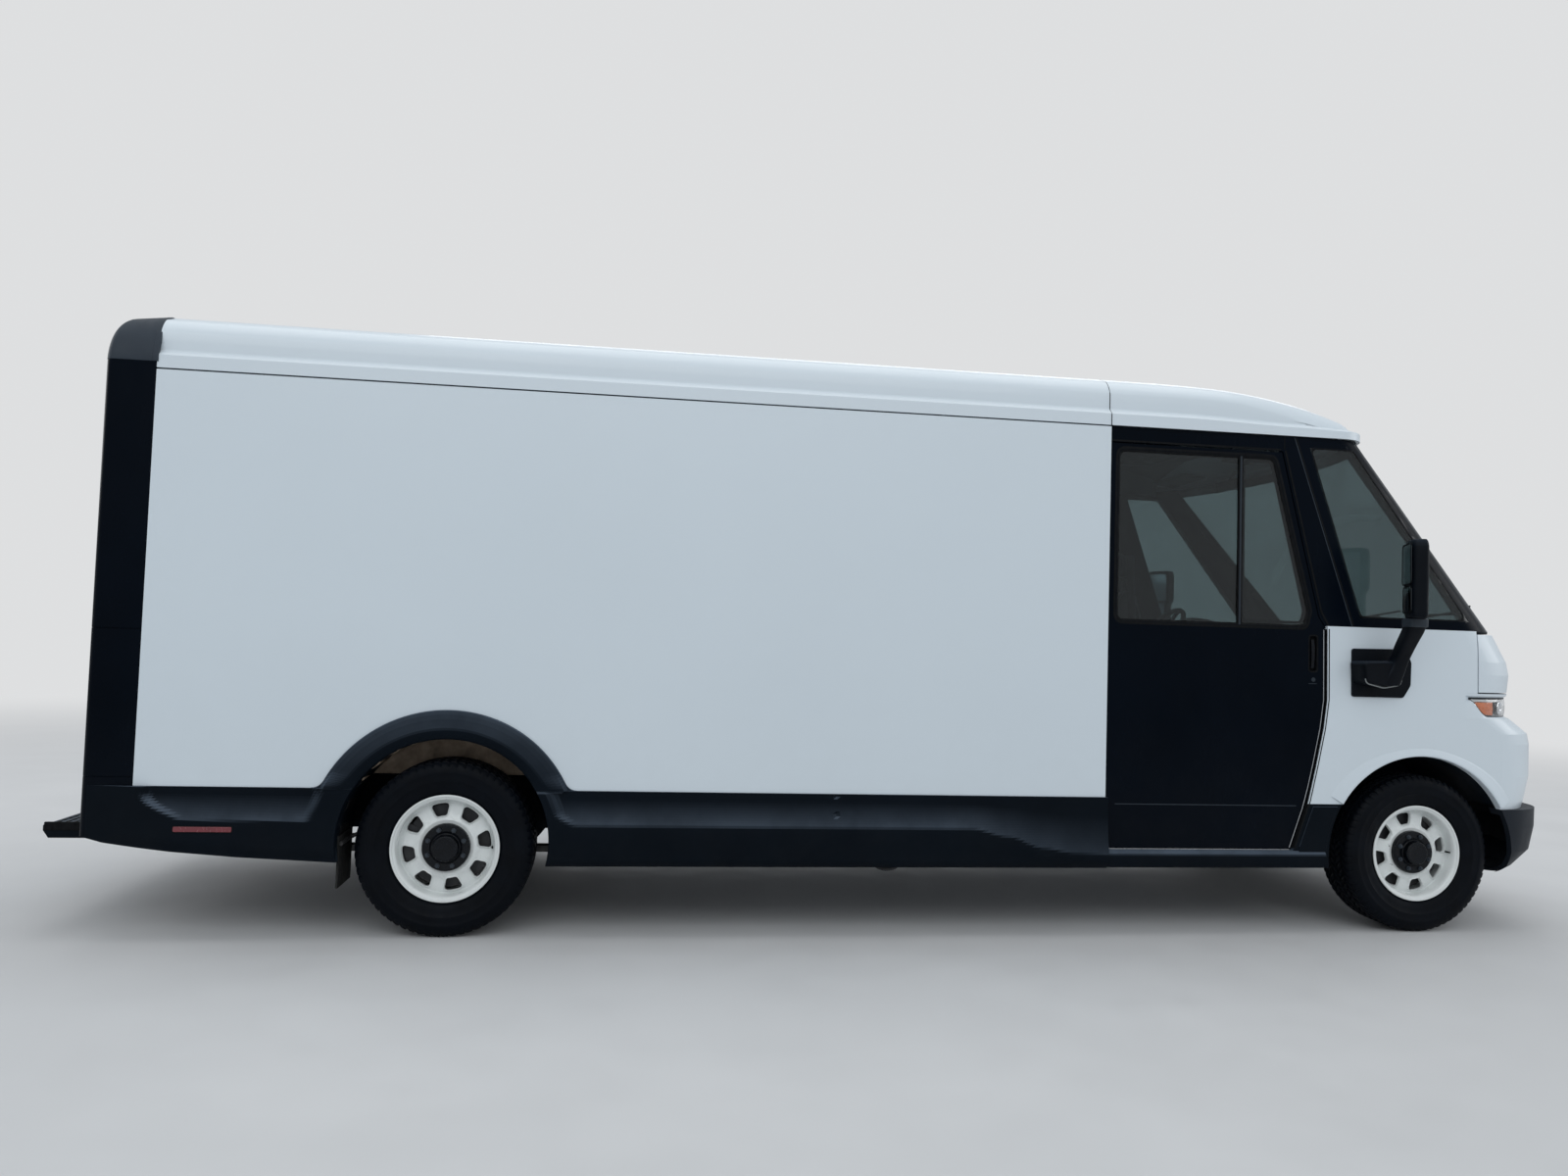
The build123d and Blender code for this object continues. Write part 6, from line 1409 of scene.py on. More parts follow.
def add_rear_arch_liners():
    """Ribbed inner fenders over the rear wheels, black below a set height as painted shade, mud flap stays
    and ribs, and the sill rail.
    """
    wall = 0.765
    # Height below which the inner fender is drawn black: painted shade.
    split = 0.675
    turn = math.degrees(math.asin((split - REAR_ARCH_Z) / (REAR_ARCH_R + 0.004)))

    def over(start, end, count):
        """Rows of the liner between two angles, in degrees."""
        rows = []
        for k in range(count + 1):
            angle = math.radians(start + (end - start) * k / count)
            radius = REAR_ARCH_R - 0.008 - (0.004 if k % 6 in (0, 1) else 0.0)
            row = []
            for y, more in ((wall, 0.012), (0.775, 0.016), (0.84, 0.014), (0.90, 0.013), (0.96, 0.012),
                            (1.008, 0.011)):
                r = radius + more
                row.append((REAR_AXLE + r * math.cos(angle), y, REAR_ARCH_Z + r * math.sin(angle)))
            rows.append(row)
        return rows

    reach = REAR_ARCH_R + 0.002
    # The parts below the split are black seal: painted shade.
    liner, shade_sheet = Shape(), Shape()
    liner.sheet(over(turn, 180 - turn, 54))
    shade_sheet.sheet(over(-4, turn, 16))
    shade_sheet.sheet(over(180 - turn, 184, 16))
    wide = reach * math.cos(math.radians(turn))
    rows = []
    for k in range(61):
        x = -wide + 2 * wide * k / 60
        top = REAR_ARCH_Z + math.sqrt(reach ** 2 - x ** 2)
        bulge = 0.0015 * math.sin(k * 1.3) + (0.003 if k % 9 in (0, 1) else 0.0)
        rows.append([(REAR_AXLE + x, wall + (bulge if 0 < n < 4 else 0.0), split + (top - split) * n / 4)
                     for n in range(5)])
    liner.sheet(rows)
    for side in (RIGHT, LEFT):
        rows = []
        for z in evenly(8, 0.47, split):
            edge = math.sqrt(reach ** 2 - (z - REAR_ARCH_Z) ** 2)
            near = math.sqrt(max(0.0, 0.145 ** 2 - (z - REAR_ARCH_Z) ** 2))
            rows.append([(REAR_AXLE + side * near, wall, z), (REAR_AXLE + side * edge, wall, z)])
        shade_sheet.sheet(rows)
    liner.mirrored()
    shade_sheet.mirrored()
    for name, shape, look in (("rear_arch_liner", liner, "arch_liner"), ("rear_arch_painted_shade", shade_sheet, "seal")):
        piece(name, shape, look, angle=25, outward=False, thick=0.003)
    stay = Shape()
    stay_z = 0.404
    flap = high_corner("mud_flaps")
    x = flap.x + 0.001
    stay.tube([(x + 0.004, 0.80, stay_z), (x + 0.004, 1.028, stay_z)], 0.009, 12)
    for y in (0.84, 0.93, 1.01):
        stay.tube([(x, y, stay_z), (x + 0.006, y, stay_z)], 0.013, 6)
    stay.tube(curve([(x + 0.004, 0.86, stay_z), (x + 0.06, 0.84, 0.43), (x + 0.15, 0.80, 0.47)], 5),
              0.009, 10)
    piece("mud_flap_stays", stay.mirrored(), "frame_steel", bevel=0.001)
    ribs = Shape()
    for side in (RIGHT, LEFT):
        for n in range(9):
            y = side * (0.825 + n * 0.024)
            ribs.solid([(x - 0.0105, a, b) for a, b in oblong(y - 0.004, 0.235, y + 0.004, 0.40)],
                       [(x - 0.0085, a, b) for a, b in oblong(y - 0.006, 0.232, y + 0.006, 0.403)])
    piece("mud_flap_ribs", ribs, "rubber")
    flare_rail = Shape()
    flare_rail.tube(curve([(-0.02, 0.93, 0.328), (0.03, 0.955, 0.296), (0.07, 0.960, 0.290),
                           (0.11, 0.958, 0.300), (0.13, 0.93, 0.325)], 5), 0.009, 10)
    flare_rail.tube([(-1.36, 0.955, 0.318), (1.02, 0.955, 0.318)], 0.011, 10)
    piece("sill_rail", flare_rail.mirrored(), "frame_steel")


# --- Cab doors and side windows ------------------------------------------------------------------

def pierced(outer, holes, y0, y1):
    """A plate drawn in x and z with holes through it, from y0 to y1."""
    made = Shape()
    flat = bmesh.new()
    edges = []
    for loop in [outer] + list(holes):
        verts = [flat.verts.new((x, 0.0, z)) for x, z in loop]
        edges += [flat.edges.new((a, b)) for a, b in zip(verts, verts[1:] + verts[:1])]
    bmesh.ops.triangle_fill(flat, edges=edges, use_beauty=True)
    flat.verts.index_update()
    for y in (y0, y1):
        first = len(made.points)
        made.points += [(v.co.x, y, v.co.z) for v in flat.verts]
        made.faces += [tuple(first + v.index for v in face.verts) for face in flat.faces]
    flat.free()
    for loop in [outer] + list(holes):
        made.sheet([[(x, y0, z) for x, z in loop], [(x, y1, z) for x, z in loop]], round_columns=True)
    return made


DOOR_FRONT = [(0.408, -0.693), (0.638, -0.612), (0.808, -0.573), (0.985, -0.536), (1.125, -0.518),
              (1.478, -0.520), (1.530, -0.555), (2.326, -0.753)]
DOOR_REAR = CAB_JOINT - 0.020                           # the shut door reaches over the joint
WINDOW = [(CAB_JOINT + 0.046, 1.476), (F - 0.618, 1.476), (F - 0.600, 1.556), (F - 0.789, 2.298),
          (CAB_JOINT + 0.046, 2.298)]
DIVIDER = F - 0.965                                     # bar between the door's two panes
HANDLE = oblong(2.127, 1.262, 2.166, 1.434)


def front_edge(z):
    """Where the cab door's front edge is at a height."""
    return F + straight(DOOR_FRONT, z)


def door_parts(side):
    """One cab door, drawn on the left and turned over for the right."""
    body = "cab_door_left" if side > 0 else "cab_door_right"
    tag = "left" if side > 0 else "right"

    def put(name, shape, look, **values):
        """One piece of this door, on its own side."""
        piece(f"{name}_{tag}", shape if side > 0 else shape.other_side(), look, body, **values)

    outline = [(DOOR_REAR, 0.408)] + [(F + x, z) for z, x in DOOR_FRONT] + [(DOOR_REAR, 2.326)]
    outline = rounded(outline, [0.004, 0.006, 0.10, 0.2, 0.2, 0.12, 0.03, 0.05, 0.006, 0.004], 4)
    hole = rounded(WINDOW, [0.040, 0.035, 0.035, 0.040, 0.040], 6)
    slot = rounded(HANDLE, 0.012, 4)
    put("door_panel", pierced(outline, [hole, slot], DOOR_INNER + 0.001, DOOR_Y - 0.0004), "black_paint",
        replaces=[body], bevel=0.0014, angle=50)
    door_window(put, hole)
    door_highlight_strips(put)
    door_handle(put)


def door_window(put, hole):
    """Rubber round the window, divider and sash."""
    rubber = Shape()
    outer = rounded(grown(WINDOW, 0.014), [0.054, 0.049, 0.049, 0.054, 0.054], 6)
    mid = rounded(grown(WINDOW, 0.006), [0.046, 0.041, 0.041, 0.046, 0.046], 6)
    inner = rounded(grown(WINDOW, -0.011), [0.029, 0.024, 0.024, 0.029, 0.029], 6)
    rows = [[(x, y, z) for x, z in loop] for loop, y in
            ((outer, DOOR_Y - 0.006), (outer, DOOR_Y - 0.0002), (mid, DOOR_Y), (hole, DOOR_Y - 0.0006),
             (inner, DOOR_Y - 0.0065), (inner, DOOR_Y - 0.010), (mid, DOOR_Y - 0.010))]
    rubber.sheet(rows, round_rows=True, round_columns=True)
    back = grown(WINDOW, -0.012)
    rubber.ring(rounded(grown(WINDOW, 0.016), 0.05, 6), rounded(back, 0.026, 6), DOOR_INNER + 0.0005,
                DOOR_INNER + 0.012)
    for x0, x1 in ((DIVIDER - 0.0115, DIVIDER - 0.0035), (DIVIDER + 0.0035, DIVIDER + 0.0115)):
        rubber.box((x0, DOOR_Y - 0.016, 1.480), (x1, DOOR_Y - 0.0015, 2.294))
    put("window_rubber", rubber, "seal", angle=30)
    bar = Shape()
    bar.box((DIVIDER - 0.0045, DOOR_Y - 0.017, 1.478), (DIVIDER + 0.0045, DOOR_Y - 0.0006, 2.296))
    put("window_divider", bar, "trim_grey", bevel=0.001)
    sash = Shape()
    pane = [(DIVIDER + 0.014, 1.490), (F - 0.632, 1.490), (F - 0.616, 1.556), (F - 0.795, 2.284),
            (DIVIDER + 0.014, 2.284)]
    sash.ring(rounded(pane, 0.030, 6), rounded(grown(pane, -0.014), 0.020, 6), DOOR_Y - 0.0195,
              DOOR_Y - 0.0158)
    put("window_sash", sash, "frit")


def door_highlight_strips(put):
    """Grey strip painted as the highlight of the crease over the cladding, and a silver strip painted as the
    highlight along the front edge.
    """
    # Grey strip at the cladding's crease: painted highlight of the crease.
    crease_strip = Shape()
    crease_strip.plate(oblong(DOOR_REAR + 0.075, 0.6095, front_edge(0.61) - 0.040, 0.6140), DOOR_Y - 0.003,
               DOOR_Y + 0.0003)
    put("door_crease", crease_strip, "trim_grey", bevel=0.0008)
    # Silver strip along the door's front edge: painted highlight of the edge catching the light.
    edge = Shape()
    line = [0.412, 0.50, 0.60, 0.70, 0.808, 0.90, 0.985, 1.06, 1.125, 1.25, 1.36, 1.465]
    edge.sheet([[(front_edge(z) - 0.0005, DOOR_Y - 0.010, z), (front_edge(z) - 0.0008, DOOR_Y - 0.0015, z),
                 (front_edge(z) - 0.0030, DOOR_Y + 0.0002, z), (front_edge(z) - 0.0062, DOOR_Y - 0.0001, z)]
                for z in line])
    put("door_edge_trim", edge, "silver", outward=False)


def door_handle(put):
    """Sunk cup with its paddle, the lock and the grab inside."""
    cup = Shape()
    rows = []
    for loop, y in ((rounded(grown(HANDLE, 0.006), 0.016, 4), DOOR_Y - 0.0003),
                    (rounded(grown(HANDLE, 0.002), 0.013, 4), DOOR_Y + 0.0002),
                    (rounded(grown(HANDLE, -0.001), 0.011, 4), DOOR_Y - 0.001),
                    (rounded(grown(HANDLE, -0.003), 0.010, 4), DOOR_Y - 0.020)):
        rows.append([(x, y, z) for x, z in loop])
    cup.sheet(rows, round_columns=True)
    cup.cap([(x, DOOR_Y - 0.020, z) for x, z in rounded(grown(HANDLE, -0.003), 0.010, 4)])
    put("handle_cup", cup, "seal", outward=False)
    paddle = Shape()
    low, high = HANDLE[0], HANDLE[2]
    rows = []
    for k in range(13):
        z = low[1] + 0.016 + (high[1] - low[1] - 0.034) * k / 12
        swell = 0.0045 * math.sin(math.pi * k / 12)
        rows.append([(low[0] + 0.012, DOOR_Y - 0.016, z), (low[0] + 0.012, DOOR_Y - 0.0065 + swell, z),
                     (low[0] + 0.016, DOOR_Y - 0.0050 + swell, z),
                     (high[0] - 0.014, DOOR_Y - 0.0050 + swell, z),
                     (high[0] - 0.010, DOOR_Y - 0.0065 + swell, z), (high[0] - 0.010, DOOR_Y - 0.016, z)])
    paddle.sheet(rows, round_columns=True)
    paddle.cap(rows[0])
    paddle.cap(list(reversed(rows[-1])))
    put("door_handle", paddle, "hub_black", angle=50)
    lock = Shape()
    lock.tube([(2.148, DOOR_Y - 0.003, 1.222), (2.148, DOOR_Y + 0.0004, 1.222)], 0.0105, 24)
    lock.plate(oblong(2.122, 1.2005, 2.166, 1.2035), DOOR_Y - 0.002, DOOR_Y + 0.0003)
    put("door_lock", lock, "trim_grey", bevel=0.0005)
    grab = Shape()
    grab.tube(curve([(1.98, 0.9995, 0.95), (1.98, 0.985, 0.955), (1.985, 0.980, 1.00), (2.02, 0.980, 1.18),
                     (2.025, 0.985, 1.225), (2.025, 0.9995, 1.23)], 5), 0.009, 10)
    put("door_grab", grab, "seal")


def add_doors():
    """Both cab doors, and the seals and seams round them."""
    for side in (RIGHT, LEFT):
        door_parts(side)
    seal = Shape()
    heights = (0.412, 0.52, 0.638, 0.72, 0.808, 0.90, 0.985, 1.06, 1.125, 1.30, 1.47)
    seal.sheet([[(x, DOOR_Y - 0.024, z), (x, DOOR_Y + 0.0100, z), (x + 0.0026, DOOR_Y + 0.0166, z),
                 (x + 0.010, HALF + 0.0009, z), (x + 0.012, HALF - 0.001, z)]
                for x, z in ((front_edge(z) + 0.0052, z) for z in heights)])
    piece("fender_edge_seal", seal.mirrored(), "seal", outward=False)
    track = Shape()
    for side in (RIGHT, LEFT):
        track.box((CAB_JOINT + 0.004, side * (GLASS_HALF - 0.004), 2.3335),
                  (F - 0.760, side * (GLASS_HALF + 0.0012), 2.3420))
    piece("door_header_lip", track, "seal", bevel=0.001)
    groove = Shape()
    x = F - 0.742
    groove.plate(oblong(x, 2.343, x + 0.004, 2.404), GLASS_HALF - 0.004, GLASS_HALF + 0.0008)
    piece("door_header_seam", groove.mirrored(), "seal")


QUARTER = [(F - 0.606, 2.357), (F - 0.372, 2.357), (F + 0.262, 1.530), (F - 0.331, 1.530)]
SHIELD_EDGE = ((F + 0.455, WAIST), (F - 0.330, HEADER))


def shield_x(z):
    """Where the windshield's side edge is at a height."""
    t = (z - WAIST) / (HEADER - WAIST)
    return SHIELD_EDGE[0][0] + (SHIELD_EDGE[1][0] - SHIELD_EDGE[0][0]) * t


def ribbon(skin, line, width, out=0.0012, thin=0.0008):
    """A raised strip laid on a skin along a line in x and z."""
    rows = []
    for k, (x, z) in enumerate(line):
        a = Vector(line[max(k - 1, 0)])
        b = Vector(line[min(k + 1, len(line) - 1)])
        run = (b - a).normalized()
        across = Vector((-run.y, run.x)) * width / 2
        row = []
        for t, lift in ((-1, -thin), (-0.8, out), (0.8, out), (1, -thin)):
            px, pz = x + across.x * t, z + across.y * t
            row.append((px, skin.y_at(px, pz) + lift, pz))
        rows.append(row)
    made = Shape()
    made.sheet(rows)
    return made


def add_side_glass():
    """Frit, rubber and pillar seams round the quarter glass."""
    outline = spread(rounded(QUARTER, [0.02, 0.02, 0.03, 0.03], 5), 160)
    inner = spread(rounded(grown(QUARTER, -0.016), [0.02, 0.02, 0.03, 0.03], 5), 160)
    outer = spread(rounded(grown(QUARTER, 0.007), [0.02, 0.02, 0.03, 0.03], 5), 160)
    frit = band_on(GLASSHOUSE, outline, inner, -0.0002, 3)
    piece("quarter_glass_frit", frit.mirrored(), "frit", outward=False)
    rubber = band_on(GLASSHOUSE, outer, outline, 0.0009, 2)
    piece("quarter_glass_rubber", rubber.mirrored(), "seal", outward=False)
    line = spread([(F - 0.678, HEADER - 0.002), (F - 0.365, WAIST + 0.004)], 30, closed=False)
    seam = ribbon(GLASSHOUSE, line, 0.0075, 0.0006)
    piece("pillar_seam", seam.mirrored(), "seal", outward=False)
    line = [(x - 0.0095, z) for x, z in line]
    edge = ribbon(GLASSHOUSE, line, 0.0050, 0.0016)
    piece("pillar_edge", edge.mirrored(), "trim_grey", outward=False)
    line = spread([(F - 0.735, HEADER - 0.070), (F - 0.538, 1.552), (F - 0.500, WAIST + 0.004)], 40,
                  closed=False)
    door_side = ribbon(GLASSHOUSE, line, 0.0100, 0.0022)
    piece("pillar_rubber", door_side.mirrored(), "seal", outward=False)


def add_windshield():
    """Windshield frit, a raised strip along its side edges whose grey colour is painted reflection of the
    glass edge, the wipers and the cowl vents.
    """
    frit = Shape()
    for side in (RIGHT, LEFT):
        rows = []
        for z in evenly(40, WAIST, HEADER):
            edge = GLASSHOUSE.part(z, shield_x(z) - 0.001, 0.0, -0.0012, 200)
            total = sum(math.dist(a, b) for a, b in zip(edge, edge[1:]))
            step = total / 199
            picks = [edge[min(199, int(round(d / step)))] for d in (0.0, 0.010, 0.030, 0.052, 0.066)]
            rows.append([(x, side * y, z) for x, y in picks])
        frit.sheet(rows)
    for low, high in ((WAIST, WAIST + 0.062), (HEADER - 0.040, HEADER)):
        rows = []
        for z in (low, (low + high) / 2, high):
            half = GLASSHOUSE.part(z, shield_x(z) - 0.001, 0.0, -0.0014, 60)
            rows.append([(x, y, z) for x, y in half] + [(x, -y, z) for x, y in reversed(half[:-1])])
        frit.sheet(rows)
    piece("windshield_frit", frit, "frit", outward=False)
    # Raised strip along the side edges, coloured grey: painted reflection of the glass edge.
    strip = Shape()
    rows = []
    for z in evenly(40, WAIST + 0.001, HEADER - 0.001):
        x = shield_x(z)
        row = []
        for shift, lift in ((-0.010, 0.0002), (-0.008, 0.0022), (0.006, 0.0030), (0.011, 0.0010)):
            row.append((x + shift, GLASSHOUSE.y_at(x + shift, z) + lift, z))
        rows.append(row)
    strip.sheet(rows)
    piece("windshield_edge_reflection", strip.mirrored(), "trim_grey", outward=False)
    wipers, blades = Shape(), Shape()
    for pivot_y, tip_y in ((0.62, 0.02), (-0.10, -0.70)):
        arm = []
        for t in evenly(12):
            y = pivot_y + (tip_y - pivot_y) * t
            z = WAIST + 0.018 + 0.085 * ease(t, 0.0, 0.5)
            lift = 0.014 + 0.012 * math.sin(math.pi * min(1.0, t * 1.4))
            arm.append((GLASSHOUSE.x_at(abs(y), z) + lift, y, z))
        wipers.tube(arm, evenly(12, 0.009, 0.005), 8)
        wipers.tube([(arm[0][0] - 0.030, pivot_y, WAIST + 0.004),
                     (arm[0][0] + 0.006, pivot_y, WAIST + 0.026)], [0.017, 0.014], 16)
        blade = []
        for t in evenly(16):
            y = pivot_y - 0.09 * (1 if pivot_y > tip_y else -1) + (tip_y - 0.13 - pivot_y) * t
            z = WAIST + 0.075 + 0.055 * t
            blade.append((GLASSHOUSE.x_at(abs(y), z) + 0.0075, y, z))
        blades.tube(blade, 0.0055, 6)
        wipers.tube([(x + 0.007, y, z + 0.001) for x, y, z in blade[2:-2]], 0.0045, 6)
    piece("wiper_arms", wipers, "seal", angle=50)
    piece("wiper_blades", blades, "rubber")
    cowl = Shape()
    for y in evenly(39, -0.78, 0.78):
        x = GLASSHOUSE.x_at(min(abs(y), 0.9), WAIST) + 0.012
        cowl.box((x, y - 0.014, WAIST - 0.001), (x + 0.022, y + 0.014, WAIST + 0.0015))
    piece("cowl_vents", cowl, "seal", bevel=0.0006)


# --- Nose ----------------------------------------------------------------------------------------

def add_arch_lip():
    """Rolled white lip round the front arch, wider towards the door."""
    rows = []
    start = math.pi - math.asin((0.6245 - FRONT_ARCH_Z) / FRONT_ARCH_R)
    end = math.asin((0.612 - FRONT_ARCH_Z) / FRONT_ARCH_R)
    for t in evenly(96):
        angle = start + (end - start) * t
        wide = 0.040 + 0.036 * (1 - ease(t, 0.0, 0.42)) + 0.030 * ease(t, 0.62, 1.0)
        row = []
        for w, lift in ((1.0, -0.0006), (0.94, 0.0009), (0.80, 0.0024), (0.60, 0.0046), (0.40, 0.0072),
                        (0.24, 0.0090), (0.12, 0.0098), (0.05, 0.0092), (0.0, 0.0066), (-0.004, 0.0010),
                        (0.0, -0.030)):
            radius = FRONT_ARCH_R + 0.0006 + wide * w
            x = FRONT_ARCH + radius * math.cos(angle)
            z = FRONT_ARCH_Z + radius * math.sin(angle)
            z = max(z, 0.6246 if x < F else 0.6075)
            row.append((x, FASCIA.y_at(x, max(z, 0.607)) + lift, z))
        rows.append(row)
    made = Shape()
    made.sheet(rows)
    piece("front_arch_lip", made.mirrored(), "white_paint", outward=False, angle=40)


def nose_strip(skin, z, start_x, end_y, count):
    """Points along a nose skin at one height, with their outward normals."""
    line = skin.part(z, start_x, end_y, 0.0, count)
    made = []
    for k, (x, y) in enumerate(line):
        a, b = line[max(k - 1, 0)], line[min(k + 1, count - 1)]
        normal = Vector((-(b[1] - a[1]), b[0] - a[0])).normalized()
        if normal.x + normal.y < 0:
            normal = -normal
        made.append(((x, y), (normal.x, normal.y)))
    return made


LAMP_FOOT, LAMP_HEAD = 1.050, 1.175
LAMP_REAR = F + 0.228                                   # pointed rear end of the headlamp
LAMP_END = 0.560                                        # its inner end, out from the centre plane
LENS_HEAD = 1.1405                                      # upper edge of the lens
LENS_START, LENS_STOP = 0.035, 0.975                    # its clear part, as shares of the lamp's length
BOWL_SPAN = (0.030, LENS_STOP)
LAMP_STRETCH = [(1.050, 1.050), (1.067, 1.0565), (1.073, 1.061), (1.1445, 1.1555), (1.151, 1.1585),
                (1.159, 1.163), (1.166, 1.168), (1.175, 1.175)]


def lamp_low(s):
    """Lower edge of the lens along the lamp, from its pointed rear end."""
    return 1.073 + 0.064 * (1 - ease(s, 0.030, 0.200)) ** 1.5


def lamp_high(s):
    """Upper edge of the lens along the lamp."""
    return LENS_HEAD - 0.002 * s


def lamp_foot(s):
    """Lower edge of the lens, level over the two blank ends."""
    return lamp_low(min(max(s, LENS_START), LENS_STOP))


def lamp_height(z):
    """Spreads the drawn heights over the lamp's opening."""
    for (a, to_a), (b, to_b) in zip(LAMP_STRETCH, LAMP_STRETCH[1:]):
        if z <= b:
            return to_a + (to_b - to_a) * (z - a) / (b - a)
    return z


def lamp_grid(levels, count=72, in_by=0.0, s_range=(0.0, 1.0)):
    """Rows of points over the lamp's opening; levels(s) gives (height, depth) pairs."""
    strips = {}
    rows = []
    for k in range(count):
        s = s_range[0] + (s_range[1] - s_range[0]) * k / (count - 1)
        row = []
        for drawn, depth in levels(s):
            z = lamp_height(drawn)
            key = round(z, 4)
            if key not in strips:
                strips[key] = nose_strip(UPPER_NOSE, z, LAMP_REAR, LAMP_END, 160)
            place = s * 159
            i = min(158, int(place))
            f = place - i
            (x0, y0), (nx, ny) = strips[key][i]
            (x1, y1), _ = strips[key][i + 1]
            x, y = x0 + (x1 - x0) * f, y0 + (y1 - y0) * f
            row.append((x - nx * (depth + in_by), y - ny * (depth + in_by), z))
        rows.append(row)
    return rows


def add_headlamps():
    """Headlamps: surround, seal, bowl, light bar and amber lens."""
    frame_white = Shape()
    frame_white.sheet(lamp_grid(lambda s: [(LAMP_HEAD - 0.0005, 0.0), (1.166, 0.0), (1.159, 0.0015),
                                           (1.151, 0.0085),
                                           (max(lamp_high(s), LENS_HEAD) + 0.004, 0.0130)]))
    frame_white.sheet(lamp_grid(lambda s: [(lamp_foot(s) - 0.001, 0.0110), (lamp_foot(s) - 0.006, 0.0035),
                                           ((lamp_low(s) + LAMP_FOOT) / 2 - 0.004, 0.0006),
                                           (LAMP_FOOT + 0.0005, 0.0)]))
    for a, b in ((0.0, LENS_START), (LENS_STOP, 1.0)):
        frame_white.sheet(lamp_grid(lambda s: [(1.1445, 0.0130), (1.12, 0.0120),
                                               (lamp_foot(s) - 0.001, 0.0110)], 6, s_range=(a, b)))
    piece("lamp_surround", frame_white.mirrored(), "white_paint", outward=False, replaces=["headlamps"],
          angle=40)
    lip = Shape()
    lip.sheet(lamp_grid(lambda s: [(1.1445, 0.0130), (1.1435, 0.0105), (1.1400, 0.0105),
                                   (1.1385, 0.0150)], s_range=BOWL_SPAN))
    lip.sheet(lamp_grid(lambda s: [(lamp_low(s) - 0.0012, 0.0110), (lamp_low(s) + 0.0004, 0.0098),
                                   (lamp_low(s) + 0.0022, 0.0115), (lamp_low(s) + 0.0022, 0.0200)],
                        s_range=BOWL_SPAN))
    piece("lamp_seal", lip.mirrored(), "frit", outward=False)
    bowl = Shape()
    bowl.sheet(lamp_grid(lambda s: [(1.1390, 0.0140), (1.1370, 0.0460), (1.125, 0.0500), (1.095, 0.0500),
                                    (min(lamp_low(s) + 0.004, 1.128), 0.0460),
                                    (lamp_low(s) + 0.001, 0.0130)], s_range=BOWL_SPAN))
    piece("lamp_bowl", bowl.mirrored(), "lamp_bowl", outward=False)
    bar = Shape()
    bar.sheet(lamp_grid(lambda s: [(1.1375, 0.0380), (1.1375, 0.0150), (1.1290, 0.0140),
                                   (1.1285, 0.0380)], 60, s_range=(0.045, 0.52)))
    piece("lamp_light_bar", bar.mirrored(), "lamp_white", outward=False)
    amber = Shape()
    amber.sheet(lamp_grid(lambda s: [(1.1275, 0.034), (1.1270, 0.0165),
                                     ((1.127 + lamp_low(s)) / 2 + 0.002, 0.0140),
                                     (min(1.1262, lamp_low(s) + 0.006), 0.0165),
                                     (min(1.1260, lamp_low(s) + 0.0055), 0.034)], 40,
                          s_range=(0.055, 0.235)))
    piece("lamp_amber", amber.mirrored(), "amber_lens", outward=False)


def add_projectors():
    """Three round projectors with bright rings behind each lens."""
    rings, eyes = Shape(), Shape()
    for s in (0.335, 0.60, 0.84):
        row = lamp_grid(lambda _: [(1.1045, 0.0)], 3, s_range=(s - 0.01, s + 0.01))
        middle = Vector(row[1][0])
        run = (Vector(row[2][0]) - Vector(row[0][0])).normalized()
        out = Vector((-run.y, run.x, 0.0))
        if out.x < 0:
            out = -out
        rings_path = [(0.0245, -0.046), (0.0270, -0.020), (0.0275, -0.0165), (0.0245, -0.0150),
                      (0.0215, -0.0190), (0.0200, -0.0300), (0.0195, -0.0460)]
        dome_path = [(0.0195, -0.0300)] + [(0.0195 * math.cos(a), -0.0300 + 0.0130 * math.sin(a))
                                           for a in (math.pi / 2 * k / 8 for k in range(1, 9))]
        up = Vector((0, 0, 1))
        for shape, path in ((rings, rings_path), (eyes, dome_path)):
            rows = []
            for n in range(40):
                t = 2 * math.pi * n / 40
                rows.append([tuple(middle + out * d + (run * math.cos(t) + up * math.sin(t)) * r * 1.22)
                             for r, d in path])
            shape.sheet(rows, round_rows=True)
    rings.mirrored()
    eyes.mirrored()
    piece("lamp_projector_rings", rings, "chrome", outward=False)
    piece("lamp_projectors", eyes, "lamp_white", outward=False)


def add_lamp_covers():
    """Clear cover over each headlamp's opening."""
    cover = Shape()
    outer, inner = (lamp_grid(lambda s: [(1.1390, 0.0110), (1.128, 0.0075), (1.105, 0.0065),
                                         ((1.105 + lamp_low(s)) / 2, 0.0075),
                                         (lamp_low(s) + 0.0015, 0.0110)], in_by=depth,
                              s_range=(0.033, LENS_STOP)) for depth in (0.0, 0.003))
    cover.sheet([a + list(reversed(b)) for a, b in zip(outer, inner)], round_columns=True)
    covers = piece("lamp_cover", cover.mirrored(), "clear_cover", outward=True)
    covers.visible_shadow = False


